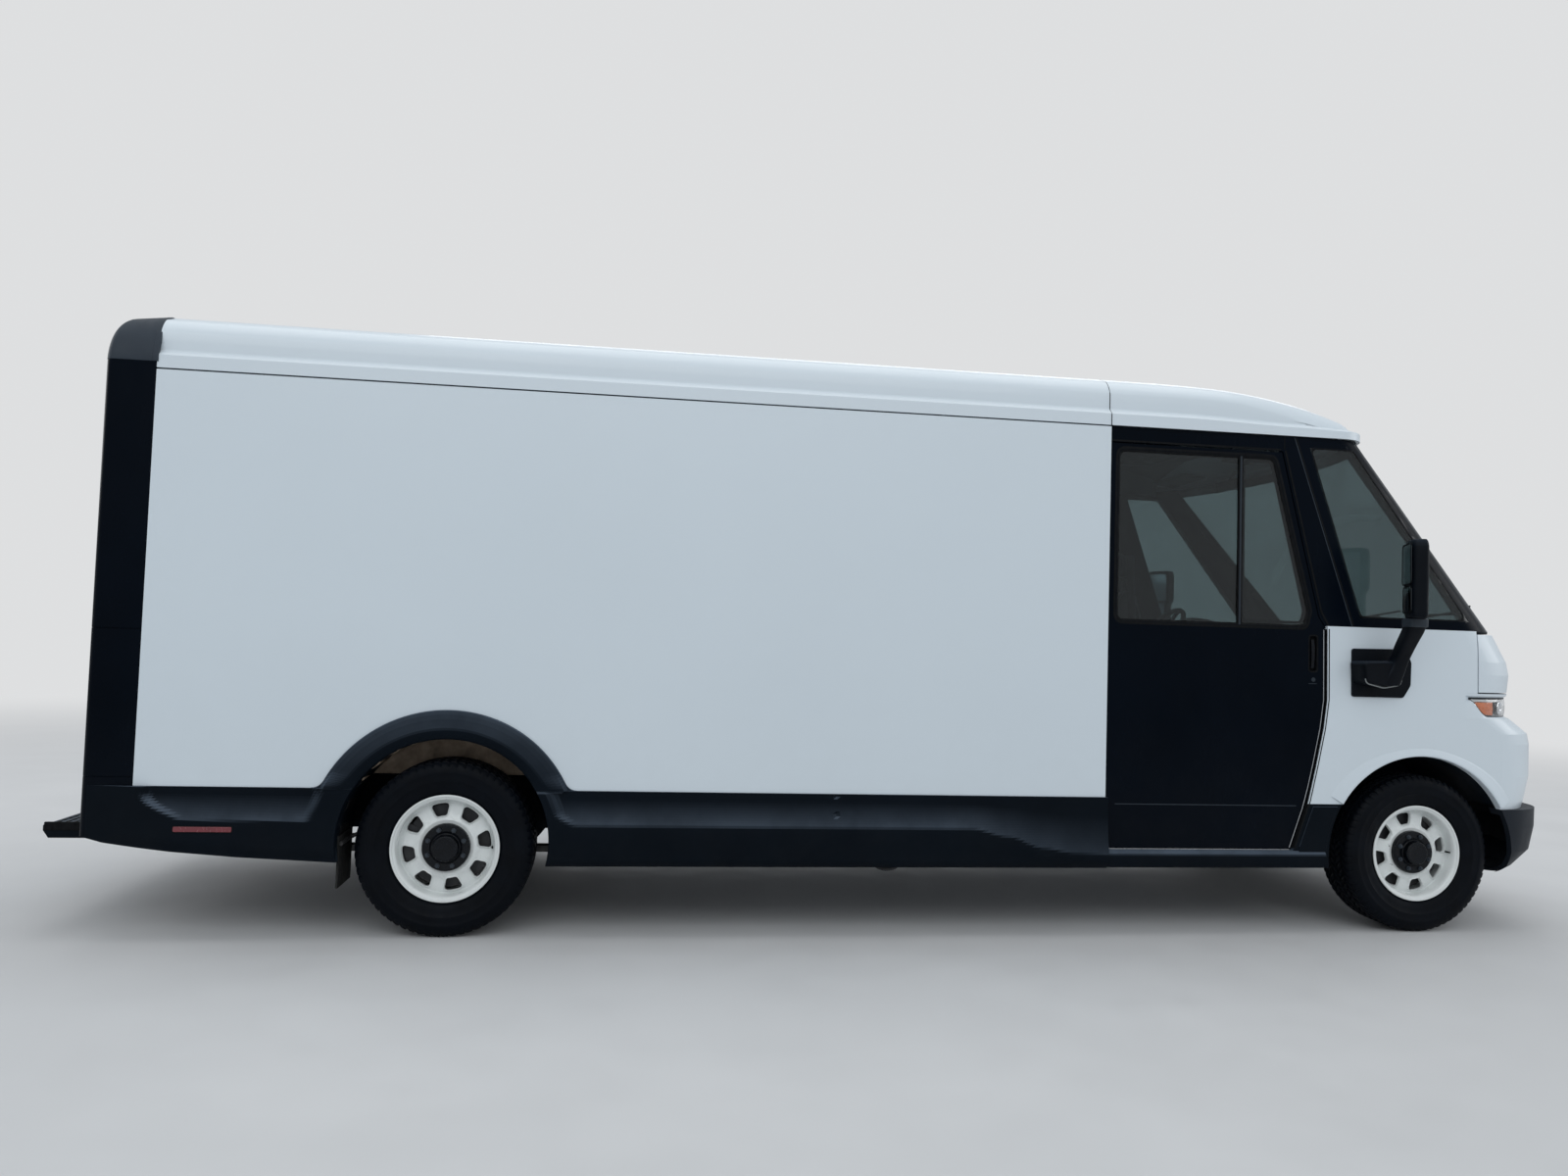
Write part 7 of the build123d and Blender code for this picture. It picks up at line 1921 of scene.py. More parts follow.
def add_nose_details():
    """Bumper intake with its slats, parking sensors, lower lip and hood catch."""
    grille = Shape()
    for z in (0.420, 0.450, 0.480, 0.510):
        line = [p for p in BUMPER.part(z, F + 0.55, 0.0, 0.006, 160) if p[1] < 0.47]
        rows = []
        for x, y in line:
            rows.append([(x - 0.002, y, z - 0.010), (x + 0.0075, y, z - 0.007), (x + 0.0085, y, z),
                         (x + 0.0020, y, z + 0.009), (x - 0.004, y, z + 0.010)])
        grille.sheet(rows)
    piece("bumper_grille", grille.mirrored(), "seal", outward=False)
    back = Shape()
    line = [p for p in BUMPER.part(0.465, F + 0.55, 0.0, 0.0, 160) if p[1] < 0.485]
    levels = (0.402, 0.435, 0.465, 0.500, 0.530)
    rows = []
    for k in range(len(line)):
        row = []
        for z in levels:
            x = BUMPER.x_at(line[k][1], z)
            row.append((x + 0.0012, line[k][1], z))
        rows.append(row)
    back.sheet(rows)
    piece("bumper_intake", back.mirrored(), "frit", outward=False)
    sensors = Shape()
    z = 0.565
    for y in (0.30, 0.78):
        for side in (RIGHT, LEFT):
            x = BUMPER.x_at(y, z)
            near = BUMPER.x_at(y + 0.02, z)
            slope = Vector((0.02, x - near, 0)).normalized()
            out = Vector((slope.x, slope.y * side, 0))
            place = Vector((x, y * side, z))
            sensors.tube([place - out * 0.01, place + out * 0.0015], 0.014, 24)
            sensors.tube([place, place + out * 0.0028], 0.0095, 20)
    piece("parking_sensors", sensors, "seal", bevel=0.0006)
    lip = Shape()
    rows = []
    for x, y in BUMPER.part(0.300, F + 0.45, 0.0, 0.012, 80):
        rows.append([(x - 0.014, y * 0.995, 0.287), (x - 0.002, y, 0.292), (x + 0.003, y, 0.297),
                     (x - 0.002, y, 0.306)])
    lip.sheet(rows)
    piece("bumper_lip", lip.mirrored(), "seal", outward=False)
    handle = Shape()
    x = UPPER_NOSE.x_at(0.0, 1.19)
    handle.tube(curve([(x - 0.004, -0.09, 1.187), (x + 0.004, -0.06, 1.1865), (x + 0.004, 0.06, 1.1865),
                       (x - 0.004, 0.09, 1.187)], 6), 0.005, 8)
    piece("hood_catch", handle, "seal")


# --- Mirrors -------------------------------------------------------------------------------------

def oval(half_a, half_b, power=3.4, count=40):
    """A squarish oval: points (a, b)."""
    made = []
    for k in range(count):
        t = 2 * math.pi * k / count
        c, s = math.cos(t), math.sin(t)
        made.append((half_a * math.copysign(abs(c) ** (2 / power), c),
                     half_b * math.copysign(abs(s) ** (2 / power), s)))
    return made


MIRROR = Vector((F - 0.220, HALF + 0.230, 0))
MIRROR_TURN = math.radians(25)
MIRROR_AHEAD = Vector((math.cos(MIRROR_TURN), math.sin(MIRROR_TURN), 0))
MIRROR_ACROSS = Vector((-math.sin(MIRROR_TURN), math.cos(MIRROR_TURN), 0))


def mirror_head():
    """Rounded housing, narrower above."""
    head = Shape()
    low, high = 1.530, 1.896
    rows = []
    stops = [0.0, 0.004, 0.012, 0.03, 0.07, 0.12, 0.20, 0.30, 0.36, 0.40, 0.44, 0.50, 0.60, 0.72, 0.84,
             0.91, 0.95, 0.975, 0.99, 0.998, 1.0]
    for t in stops:
        z = low + (high - low) * t
        top = max(0.0, (t - 0.86) / 0.14)
        foot = max(0.0, (0.07 - t) / 0.07)
        shrink = 1 - 0.34 * (1 - math.sqrt(max(0.0, 1 - top ** 2.2))) - 0.10 * foot ** 2
        if t == 1.0:
            shrink *= 0.90
        notch = 0.020 * (1 - ease(t, 0.36, 0.44))
        row = []
        for a, b in oval(0.0395 * shrink, 0.0985 * (shrink * 0.5 + 0.5) - notch / 2):
            lean = 0.004 * (t - 0.5)
            bulge = 0.006 * (b / 0.1) ** 2 if a > 0 else 0
            spot = MIRROR + MIRROR_AHEAD * (a + lean + bulge) + MIRROR_ACROSS * (b + notch / 2)
            row.append((spot.x, spot.y, z))
        rows.append(row)
    head.sheet(rows, round_columns=True)
    head.cap(list(reversed(rows[0])))
    head.cap(rows[-1])
    return head


def mirror_panes():
    """The flat glass, the wide-angle glass under it, and the rims round both."""
    glass_up, glass_low, rim = Shape(), Shape(), Shape()

    def pane(shape, z0, z1, half, shift):
        """One mirror glass, set in the back of the head."""
        outline = rounded([(-half, z0), (half, z0), (half, z1), (-half, z1)], 0.016, 5)
        near, far = [], []
        for b, z in outline:
            spot = MIRROR - MIRROR_AHEAD * 0.0402 + MIRROR_ACROSS * (b + shift)
            near.append((spot.x, spot.y, z))
            spot += MIRROR_AHEAD * 0.004
            far.append((spot.x, spot.y, z))
        shape.solid(near, far)

    pane(glass_up, 1.690, 1.872, 0.080, 0.0)
    pane(glass_low, 1.556, 1.672, 0.072, 0.008)
    for shape, z0, z1, half, shift in ((rim, 1.684, 1.878, 0.086, 0.0), (rim, 1.550, 1.678, 0.078, 0.008)):
        loops = []
        for grow, depth in ((0.0, -0.0405), (0.0, -0.0380), (-0.006, -0.0380), (-0.006, -0.0412),
                            (-0.003, -0.0420)):
            outline = rounded([(-half + grow, z0 - grow), (half + grow, z0 - grow), (half + grow, z1 + grow),
                               (-half - grow, z1 + grow)], 0.018, 5)
            back = MIRROR + MIRROR_AHEAD * depth
            loops.append([tuple(back + MIRROR_ACROSS * (b + shift) + Vector((0, 0, z))) for b, z in outline])
        shape.sheet(loops, round_rows=True, round_columns=True)
    return glass_up, glass_low, rim


def mirror_arm():
    """Arm rising from the base to the head, and the collar round it."""
    arm, collar = Shape(), Shape()
    levels = [(1.206, -0.300, -0.200, 0.110, 0.030), (1.262, -0.272, -0.184, 0.118, 0.044),
              (1.330, -0.243, -0.168, 0.130, 0.060), (1.405, -0.247, -0.165, 0.180, 0.110),
              (1.475, -0.250, -0.162, 0.230, 0.160), (1.520, -0.250, -0.176, 0.253, 0.183),
              (1.548, -0.250, -0.190, 0.265, 0.195)]
    rows = []
    for z, x0, x1, y0, y1 in curve(levels, 6):
        row = []
        for a, b in oval((x1 - x0) / 2, abs(y1 - y0) / 2, 4.5, 32):
            row.append((F + (x0 + x1) / 2 + a, HALF + (y0 + y1) / 2 + b, z))
        rows.append(row)
    arm.sheet(rows, round_columns=True)
    arm.cap(list(reversed(rows[0])))
    arm.cap(rows[-1])
    rows = []
    for z, grow in ((1.486, 0.0), (1.489, 0.005), (1.524, 0.006), (1.528, 0.001)):
        rows.append([(F - 0.211 + a, HALF + 0.213 + b, z)
                     for a, b in oval(0.042 + grow, 0.037 + grow, 4.5, 32)])
    collar.sheet(rows, round_columns=True)
    return arm, collar


def mirror_base():
    """Plate on the fender with a raised boss, and the pale line round the boss."""
    base = Shape()
    plate = rounded([(F - 0.390, 1.379), (F - 0.390, 1.145), (F - 0.118, 1.145), (F - 0.079, 1.205),
                     (F - 0.075, 1.320), (F - 0.110, 1.383)], [0.012, 0.014, 0.020, 0.030, 0.040, 0.030],
                    5)
    base.plate(plate, HALF - 0.001, HALF + 0.0125)
    boss_rows = []
    outline = rounded([(F - 0.398, 1.318), (F - 0.390, 1.216), (F - 0.290, 1.196), (F - 0.190, 1.212),
                       (F - 0.190, 1.325)], [0.018, 0.030, 0.060, 0.030, 0.018], 5)
    middle = Vector((F - 0.292, 1.262))
    for y, grow in ((0.012, 1.03), (0.016, 1.0), (0.060, 0.975), (0.096, 0.955), (0.106, 0.925),
                    (0.110, 0.88)):
        boss_rows.append([(middle.x + (x - middle.x) * grow, HALF + y, middle.y + (z - middle.y) * grow)
                          for x, z in outline])
    base.sheet(boss_rows, round_columns=True)
    base.cap(boss_rows[-1])
    line = Shape()
    edge = rounded([(F - 0.392, 1.320), (F - 0.384, 1.214), (F - 0.290, 1.193), (F - 0.196, 1.210),
                    (F - 0.196, 1.322)], [0.018, 0.030, 0.060, 0.030, 0.018], 5)
    line.tube([(x, HALF + 0.1015, z) for x, z in edge[6:30]], 0.0028, 8)
    return base, line


def add_mirrors():
    """Mirror heads with two panes each, their arms, collars and bases, on both sides."""
    head = mirror_head()
    glass_up, glass_low, rim = mirror_panes()
    arm, collar = mirror_arm()
    base, line = mirror_base()
    for shape in (head, glass_up, glass_low, arm, base, rim, collar, line):
        shape.mirrored()
    piece("mirror_heads", head, "mirror_black", replaces=["mirrors"], bevel=0.004, angle=50)
    piece("mirror_glass_flat", glass_up, "mirror_glass")
    piece("mirror_glass_wide", glass_low, "mirror_glass")
    piece("mirror_rims", rim, "seal", outward=False)
    piece("mirror_arms", arm, "mirror_black", angle=40)
    piece("mirror_collars", collar, "trim_grey", outward=False)
    piece("mirror_bases", base, "mirror_black", bevel=0.003, angle=35)
    piece("mirror_base_line", line, "trim_pale")


def add_flap_details():
    """Inlet behind the charging flap on the left fender."""
    inlet = Shape()
    x, z = 2.466, 1.030
    y = HALF - 0.058
    inlet.tube([(x, y, z), (x, y + 0.022, z)], [0.052, 0.050], 32)
    inlet.tube([(x, y + 0.02, z + 0.006), (x, y + 0.032, z + 0.006)], 0.034, 32)
    for a in range(5):
        angle = math.radians(90 + 72 * a)
        inlet.tube([(x + 0.020 * math.cos(angle), y + 0.030, z + 0.006 + 0.020 * math.sin(angle)),
                    (x + 0.020 * math.cos(angle), y + 0.0345, z + 0.006 + 0.020 * math.sin(angle))],
                   0.006, 12)
    piece("charge_inlet", inlet, "seal", bevel=0.001)


# --- Inside the cab ------------------------------------------------------------------------------

SEAT_X = low_corner("seats").x + 0.050                  # where back and cushion meet
SEAT_Y = 0.440                                          # middle of the driver's seat
CAB_FLOOR = 0.640
SEAT_Z = low_corner("seats").z + 0.320                  # foot of the seat pan


def block_grid(low, high, taper=0.0):
    """A closed block ready to be remeshed, its top drawn in by taper."""
    made = Shape()
    x0, y0, z0 = low
    x1, y1, z1 = high
    near = [(x0, y0, z0), (x1, y0, z0), (x1, y1, z0), (x0, y1, z0)]
    far = [(x0 + taper, y0 + taper, z1), (x1 - taper, y0 + taper, z1), (x1 - taper, y1 - taper, z1),
           (x0 + taper, y1 - taper, z1)]
    made.solid(near, far)
    return made


def swollen(name, shape, look, soften=0.030, voxel=0.010, reach=0.024, channels=()):
    """A pad: rounded, remeshed, blown up as cloth within a cap, then sewn in along its channels."""
    thing = piece(name, shape, look)
    rounding = thing.modifiers.new("corner", "BEVEL")
    rounding.width = soften
    rounding.segments = 4
    rounding.limit_method = "ANGLE"
    remesh = thing.modifiers.new("voxels", "REMESH")
    remesh.mode = "VOXEL"
    remesh.voxel_size = voxel
    apply_modifiers(thing)
    start = [v.co.copy() for v in thing.data.vertices]
    cloth = thing.modifiers.new("cloth", "CLOTH")
    cloth.settings.quality = 4
    cloth.settings.mass = 0.25
    cloth.settings.tension_stiffness = 12
    cloth.settings.compression_stiffness = 12
    cloth.settings.shear_stiffness = 4
    cloth.settings.bending_stiffness = 0.6
    cloth.settings.use_pressure = True
    cloth.settings.uniform_pressure_force = 4.0
    cloth.settings.effector_weights.gravity = 0.0
    cloth.point_cache.frame_start = 1
    cloth.point_cache.frame_end = 20
    for step in range(1, 21):
        SCENE.frame_set(step)
    blown = thing.evaluated_get(bpy.context.evaluated_depsgraph_get())
    ends = [v.co.copy() for v in blown.data.vertices]
    thing.modifiers.remove(cloth)
    SCENE.frame_set(1)
    for vertex, a, b in zip(thing.data.vertices, start, ends):
        move = b - a
        if move.length > reach:
            move *= reach / move.length
        vertex.co = a + move
    for vertex in thing.data.vertices:
        vertex.co += sewn(vertex.co, vertex.normal, channels)
    smooth = thing.modifiers.new("subdivision", "SUBSURF")
    smooth.levels = 1
    smooth.render_levels = 1
    thing.data.shade_smooth()
    thing.data.materials.clear()
    thing.data.materials.append(LOOKS[look])
    return thing


def apply_modifiers(thing):
    """Replaces an object's mesh by what its modifiers make of it."""
    graph = bpy.context.evaluated_depsgraph_get()
    mesh = bpy.data.meshes.new_from_object(thing.evaluated_get(graph))
    thing.modifiers.clear()
    old = thing.data
    thing.data = mesh
    bpy.data.meshes.remove(old)


def sewn(place, normal, channels):
    """How far a point is pulled in by sewn channels: (axis, where, depth, width) lines."""
    pull = Vector((0, 0, 0))
    for axis, where, depth, width in channels:
        gap = abs(place[axis] - where) / width
        if gap < 3:
            pull -= normal * depth * math.exp(-gap * gap)
    return pull


def back_block(y, x_low, x_high, z0, z1, half, thick):
    """A seat back's block, leaning from x_low at its foot to x_high at its top."""
    made = Shape()
    near = [(x_low, y - half, z0), (x_low + thick, y - half, z0), (x_low + thick, y + half, z0),
            (x_low, y + half, z0)]
    top = half - 0.035
    zm = z0 + (z1 - z0) * 0.72
    xm = x_low + (x_high - x_low) * 0.72
    middle = [(xm, y - half, zm), (xm + thick * 0.9, y - half, zm), (xm + thick * 0.9, y + half, zm),
              (xm, y + half, zm)]
    far = [(x_high, y - top, z1), (x_high + thick * 0.75, y - top, z1), (x_high + thick * 0.75, y + top, z1),
           (x_high, y + top, z1)]
    made.sheet([near, middle, far], round_columns=True)
    made.cap(list(reversed(near)))
    made.cap(far)
    return made


def add_seats():
    """Two padded seats with rails, bases, belts and buckles."""
    first = True
    for side, tag in ((RIGHT, "right"), (LEFT, "left")):
        y = side * SEAT_Y
        low = (SEAT_X + 0.030, y - 0.222, SEAT_Z + 0.022)
        high = (SEAT_X + 0.478, y + 0.222, SEAT_Z + 0.098)
        seams = [(1, y - 0.130, 0.008, 0.008), (1, y + 0.130, 0.008, 0.008), (0, SEAT_X + 0.36, 0.006, 0.007)]
        cushion = swollen(f"seat_cushion_{tag}", block_grid(low, high, 0.006), "seat_fabric", channels=seams)
        if first:
            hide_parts("seats")
            first = False
        seams = [(1, y - 0.120, 0.008, 0.008), (1, y + 0.120, 0.008, 0.008), (2, SEAT_Z + 0.46, 0.006, 0.007)]
        pad = back_block(y, SEAT_X + 0.026, SEAT_X - 0.026, SEAT_Z + 0.105, SEAT_Z + 0.705, 0.214, 0.080)
        swollen(f"seat_back_{tag}", pad, "seat_fabric", soften=0.026, channels=seams)
        pad = back_block(y, SEAT_X - 0.026, SEAT_X - 0.030, SEAT_Z + 0.756, SEAT_Z + 0.888, 0.112, 0.060)
        swollen(f"head_rest_{tag}", pad, "seat_fabric", soften=0.022, voxel=0.008, reach=0.012)
        metal, plastic, web = Shape(), Shape(), Shape()
        for dy in (-0.055, 0.055):
            metal.tube([(SEAT_X + 0.008, y + dy, SEAT_Z + 0.69), (SEAT_X + 0.006, y + dy, SEAT_Z + 0.78)],
                       0.006, 12)
        for dy in (-0.165, 0.165):
            metal.box((SEAT_X + 0.05, y + dy - 0.018, SEAT_Z - 0.028),
                      (SEAT_X + 0.46, y + dy + 0.018, SEAT_Z + 0.002))
        piece(f"seat_rails_{tag}", metal, "frame_steel", bevel=0.002)
        foot = oblong(SEAT_X + 0.07, y - 0.150, SEAT_X + 0.40, y + 0.150)
        pan = oblong(SEAT_X + 0.09, y - 0.168, SEAT_X + 0.43, y + 0.168)
        plastic.solid([(*corner, CAB_FLOOR) for corner in foot],
                      [(*corner, SEAT_Z - 0.028) for corner in pan])
        cheek = [(SEAT_X + 0.005, SEAT_Z + 0.002), (SEAT_X + 0.465, SEAT_Z + 0.002),
                 (SEAT_X + 0.485, SEAT_Z + 0.045), (SEAT_X - 0.002, SEAT_Z + 0.060)]
        for dy in (-0.234, 0.234):
            plastic.plate(cheek, y + dy - 0.012, y + dy + 0.012)
        plastic.box((SEAT_X + 0.02, y - 0.225, SEAT_Z + 0.002), (SEAT_X + 0.47, y + 0.225, SEAT_Z + 0.020))
        piece(f"seat_base_{tag}", plastic, "dash_plastic", bevel=0.010)
        out = side * 0.262
        belt = [(SEAT_X - 0.040, y + out * 0.98, SEAT_Z + 0.86), (SEAT_X - 0.030, y + out, SEAT_Z + 0.55),
                (SEAT_X - 0.010, y + out * 1.01, SEAT_Z + 0.22), (SEAT_X + 0.03, y + out, SEAT_Z - 0.05),
                (SEAT_X + 0.05, y + out, SEAT_Z - 0.22)]
        rows = [[(x - 0.022, a, z), (x + 0.022, a, z)] for x, a, z in curve(belt, 6)]
        web.sheet(rows)
        piece(f"seat_belt_{tag}", web, "webbing", outward=False, thick=0.0015)
        buckle = Shape()
        buckle.box((SEAT_X + 0.10, y - side * 0.258, SEAT_Z + 0.02),
                   (SEAT_X + 0.128, y - side * 0.247, SEAT_Z + 0.16))
        piece(f"seat_buckle_{tag}", buckle, "hub_black", bevel=0.004)


def add_dashboard():
    """Moulded dash with its firewall, instrument hood, screens and vents."""
    base = F - 0.500
    profile = curve([(base + 0.115, 1.105), (base + 0.055, 1.130), (base + 0.008, 1.185),
                     (base + 0.002, 1.250), (base + 0.004, 1.318), (base + 0.026, 1.362),
                     (base + 0.070, 1.414), (base + 0.120, 1.438), (base + 0.240, 1.447),
                     (base + 0.420, 1.453), (base + 0.600, 1.456), (base + 0.672, 1.452)], 4)
    rows = []
    for y in evenly(80, -0.980, 0.980):
        side_drop = 0.010 * ease(abs(y), 0.80, 0.98)
        centre = 0.5 + 0.5 * math.cos(min(math.pi, abs(y - 0.02) * 7.5))
        row = []
        for x, z in profile:
            face = ease(z, 1.15, 1.20) * (1 - ease(z, 1.36, 1.44)) * ease(base + 0.10 - x, 0.0, 0.05)
            row.append((x + 0.018 * (1 - centre) * face, y, z - side_drop * ease(z, 1.30, 1.45)))
        rows.append(row)
    dash = Shape()
    dash.sheet(rows)
    dash.cap(rows[0])
    dash.cap(list(reversed(rows[-1])))
    piece("dash_body", dash, "dash_plastic", replaces=["dashboard"], angle=40)
    wall = Shape()
    end = 0.975
    wall.box((F + 0.120, -end, 0.885), (F + 0.172, end, 1.445))
    wall.box((base + 0.112, -end, 1.098), (F + 0.13, end, 1.108))
    piece("firewall", wall, "headliner", bevel=0.01)
    hood = Shape()
    rows = []
    for t in evenly(24, -1, 1):
        y = SEAT_Y + 0.188 * t
        drop = 0.030 * abs(t) ** 3.2
        rows.append([(base + 0.062, y, 1.395), (base + 0.022, y, 1.500 - drop),
                     (base + 0.030, y, 1.538 - drop), (base + 0.060, y, 1.552 - drop),
                     (base + 0.130, y, 1.545 - drop), (base + 0.230, y, 1.520 - drop),
                     (base + 0.320, y, 1.452)])
    hood.sheet(rows)
    hood.cap(rows[0] + [(base + 0.20, rows[0][0][1], 1.40)])
    hood.cap(rows[-1][::-1] + [(base + 0.20, rows[-1][0][1], 1.40)])
    piece("instrument_hood", hood, "dash_plastic", angle=40)
    screens, bezels, vents, fins, trims = Shape(), Shape(), Shape(), Shape(), Shape()

    def panel(shape, y, z, wide, high, x, lean, lift=0.0, radius=0.010):
        """A thin rounded plate on the dash's face, leaning back by lean."""
        outline = rounded([(-wide, -high), (wide, -high), (wide, high), (-wide, high)], radius, 4)
        near = [(x - lift + b * lean, y + a, z + b) for a, b in outline]
        shape.solid(near, [(p[0] + 0.008, p[1], p[2]) for p in near])

    panel(bezels, SEAT_Y, 1.455, 0.150, 0.052, base + 0.0385, -0.30)
    panel(screens, SEAT_Y, 1.455, 0.138, 0.042, base + 0.0365, -0.30, 0.001)
    panel(bezels, 0.040, 1.400, 0.150, 0.098, base - 0.012, 0.22)
    panel(screens, 0.040, 1.402, 0.138, 0.084, base - 0.014, 0.22, 0.0015)
    vent_z, knob_z = 1.318, 1.245
    for y in (-0.86, -0.30, 0.235, 0.86):
        panel(vents, y, vent_z, 0.068, 0.034, base + 0.012, 0.25)
        for n in range(5):
            z = 1.294 + n * 0.012
            panel(fins, y, z, 0.060, 0.0022, base + 0.0085 + (z - vent_z) * 0.25, 0.6, 0.0, 0.001)
    panel(trims, -0.60, 1.262, 0.350, 0.006, base - 0.0005, 0.0, 0.001, 0.004)
    panel(trims, -0.60, 1.218, 0.170, 0.0015, base + 0.0005, 0.0, 0.001, 0.001)
    panel(vents, 0.04, knob_z, 0.110, 0.026, base + 0.0015, 0.0)
    for n in range(5):
        y = -0.04 + n * 0.04
        trims.tube([(base + 0.002, y, knob_z), (base - 0.010, y, knob_z)], [0.011, 0.0095], 20)
    piece("dash_bezels", bezels, "hub_black", bevel=0.002)
    piece("dash_screens", screens, "screen", bevel=0.001)
    piece("dash_vents", vents, "hub_black", bevel=0.003)
    piece("dash_vent_fins", fins, "trim_grey")
    piece("dash_trim", trims, "trim_pale", bevel=0.0015)


def add_column():
    """Steering column's shroud and stalks, the pedals and the rubber mat."""
    column = Shape()
    tilt = math.radians(35)
    axis = Vector((math.cos(tilt), 0, -math.sin(tilt)))
    hub = Vector((F - 0.610, SEAT_Y, 1.440))
    rows = []
    for d, half_w, half_h in ((0.070, 0.036, 0.034), (0.078, 0.050, 0.046), (0.16, 0.058, 0.052),
                              (0.30, 0.050, 0.048)):
        spot = hub + axis * d
        up = Vector((math.sin(tilt), 0, math.cos(tilt)))
        rows.append([tuple(spot + Vector((0, a, 0)) + up * b) for a, b in oval(half_w, half_h, 3.0, 28)])
    column.sheet(rows, round_columns=True)
    column.cap(rows[0])
    piece("column_shroud", column, "dash_plastic", angle=40)
    stalks = Shape()
    spot = hub + axis * 0.115
    for side in (RIGHT, LEFT):
        stalks.tube(curve([tuple(spot + Vector((0, side * 0.045, 0.012))),
                           tuple(spot + Vector((-0.006, side * 0.10, 0.020))),
                           tuple(spot + Vector((-0.012, side * 0.165, 0.030)))], 5),
                    [0.007] * 6 + [0.0085] * 5, 10)
    piece("column_stalks", stalks, "hub_black")
    pedals, mats = Shape(), Shape()
    for y, wide, high in ((SEAT_Y - 0.16, 0.030, 0.075), (SEAT_Y - 0.04, 0.046, 0.040)):
        x, z = F - 0.330, 0.800
        lean = high * 0.9
        pad = [(x, y - wide, z - high), (x, y + wide, z - high), (x + lean, y + wide, z + high),
               (x + lean, y - wide, z + high)]
        pedals.solid(pad, [(a + 0.012, b, c) for a, b, c in pad])
        pedals.tube(curve([(x + 0.05, y, z), (x + 0.15, y, z + 0.10), (x + 0.20, y, z + 0.26)], 5), 0.009, 8)
    piece("pedals", pedals, "seal", bevel=0.003)
    for y in evenly(27, -0.90, 0.90):
        mats.box((1.10, y - 0.018, CAB_FLOOR + 0.0002), (2.19, y + 0.018, CAB_FLOOR + 0.0045))
    piece("cab_mat", mats, "rubber", bevel=0.0015)


def add_cab_fittings():
    """Sun visors, inside mirror and the shelves over the seats."""
    mirror_in, visors = Shape(), Shape()
    for side in (RIGHT, LEFT):
        rows = []
        for t in evenly(8):
            rows.append([(F - 0.46 - 0.155 * t, side * (0.22 + 0.43 * s),
                          2.398 + 0.012 * t + 0.004 * math.sin(math.pi * t))
                         for s in (0.0, 0.03, 0.5, 0.97, 1.0)])
        visors.sheet(rows)
        for y in (0.40, 0.47):
            visors.tube([(F - 0.47, side * y, 2.402), (F - 0.47, side * y, 2.425)], 0.005, 8)
    piece("sun_visors", visors, "headliner", outward=False, thick=0.014)
    mirror_in.tube([(F - 0.40, 0.0, 2.40), (F - 0.44, 0.0, 2.345)], [0.012, 0.008], 10)
    mirror_in.box((F - 0.460, -0.12, 2.285), (F - 0.440, 0.12, 2.345))
    piece("cab_mirror", mirror_in, "hub_black", bevel=0.006)
    shelf = Shape()
    for side in (RIGHT, LEFT):
        shelf.box((1.10, side * 0.60, 2.30), (1.50, side * 0.93, 2.315))
        shelf.box((1.10, side * 0.60, 2.315), (1.112, side * 0.93, 2.375))
    piece("cab_shelves", shelf, "dash_plastic", bevel=0.004)


def add_cargo_inside():
    """Wall posts, tie rails, roof bows and floor ribs of the load box, seen through the bulkhead."""
    ribs = Shape()
    x = BOX_REAR + 0.30
    while x < CAB_JOINT - 0.25:
        for side in (RIGHT, LEFT):
            foot = 0.90 if abs(x - REAR_AXLE) < 0.56 else 0.66
            ribs.box((x, side * 0.9595, foot), (x + 0.050, side * 0.945, 2.40))
        x += 0.60
    piece("wall_posts", ribs, "inner_panel", bevel=0.004)
    rails = Shape()
    for z in (1.05, 1.65):
        for side in (RIGHT, LEFT):
            rails.box((BOX_REAR + 0.10, side * 0.9448, z - 0.035),
                      (CAB_JOINT - 0.15, side * 0.938, z + 0.035))
    piece("tie_rails", rails, "silver", bevel=0.003)
    bows = Shape()
    x = BOX_REAR + 0.30
    while x < CAB_JOINT - 0.25:
        row = [(y, min(roof_height(x, y) - 0.058, 2.62)) for y in evenly(16, -0.90, 0.90)]
        bows.sheet([[(x, y, z) for y, z in row], [(x, y, z - 0.03) for y, z in row],
                    [(x + 0.05, y, z - 0.03) for y, z in row], [(x + 0.05, y, z) for y, z in row]],
                   round_rows=True)
        x += 0.60
    piece("roof_bows", bows, "inner_panel", outward=True)
    strips = Shape()
    for y in evenly(23, -0.72, 0.72):
        strips.box((BOX_REAR + 0.02, y - 0.004, 0.6402), (CAB_JOINT - 0.12, y + 0.004, 0.6430))
    piece("floor_ribs", strips, "floor_aluminium")


# --- Under the van -------------------------------------------------------------------------------

def coil(centre, low, high, radius, wire, turns, steps=14):
    """A coil spring standing on (x, y)."""
    path = []
    for k in range(turns * steps + 1):
        t = k / (turns * steps)
        angle = 2 * math.pi * turns * t
        path.append((centre[0] + radius * math.cos(angle), centre[1] + radius * math.sin(angle),
                     low + (high - low) * t))
    made = Shape()
    made.tube(path, wire, 8)
    return made


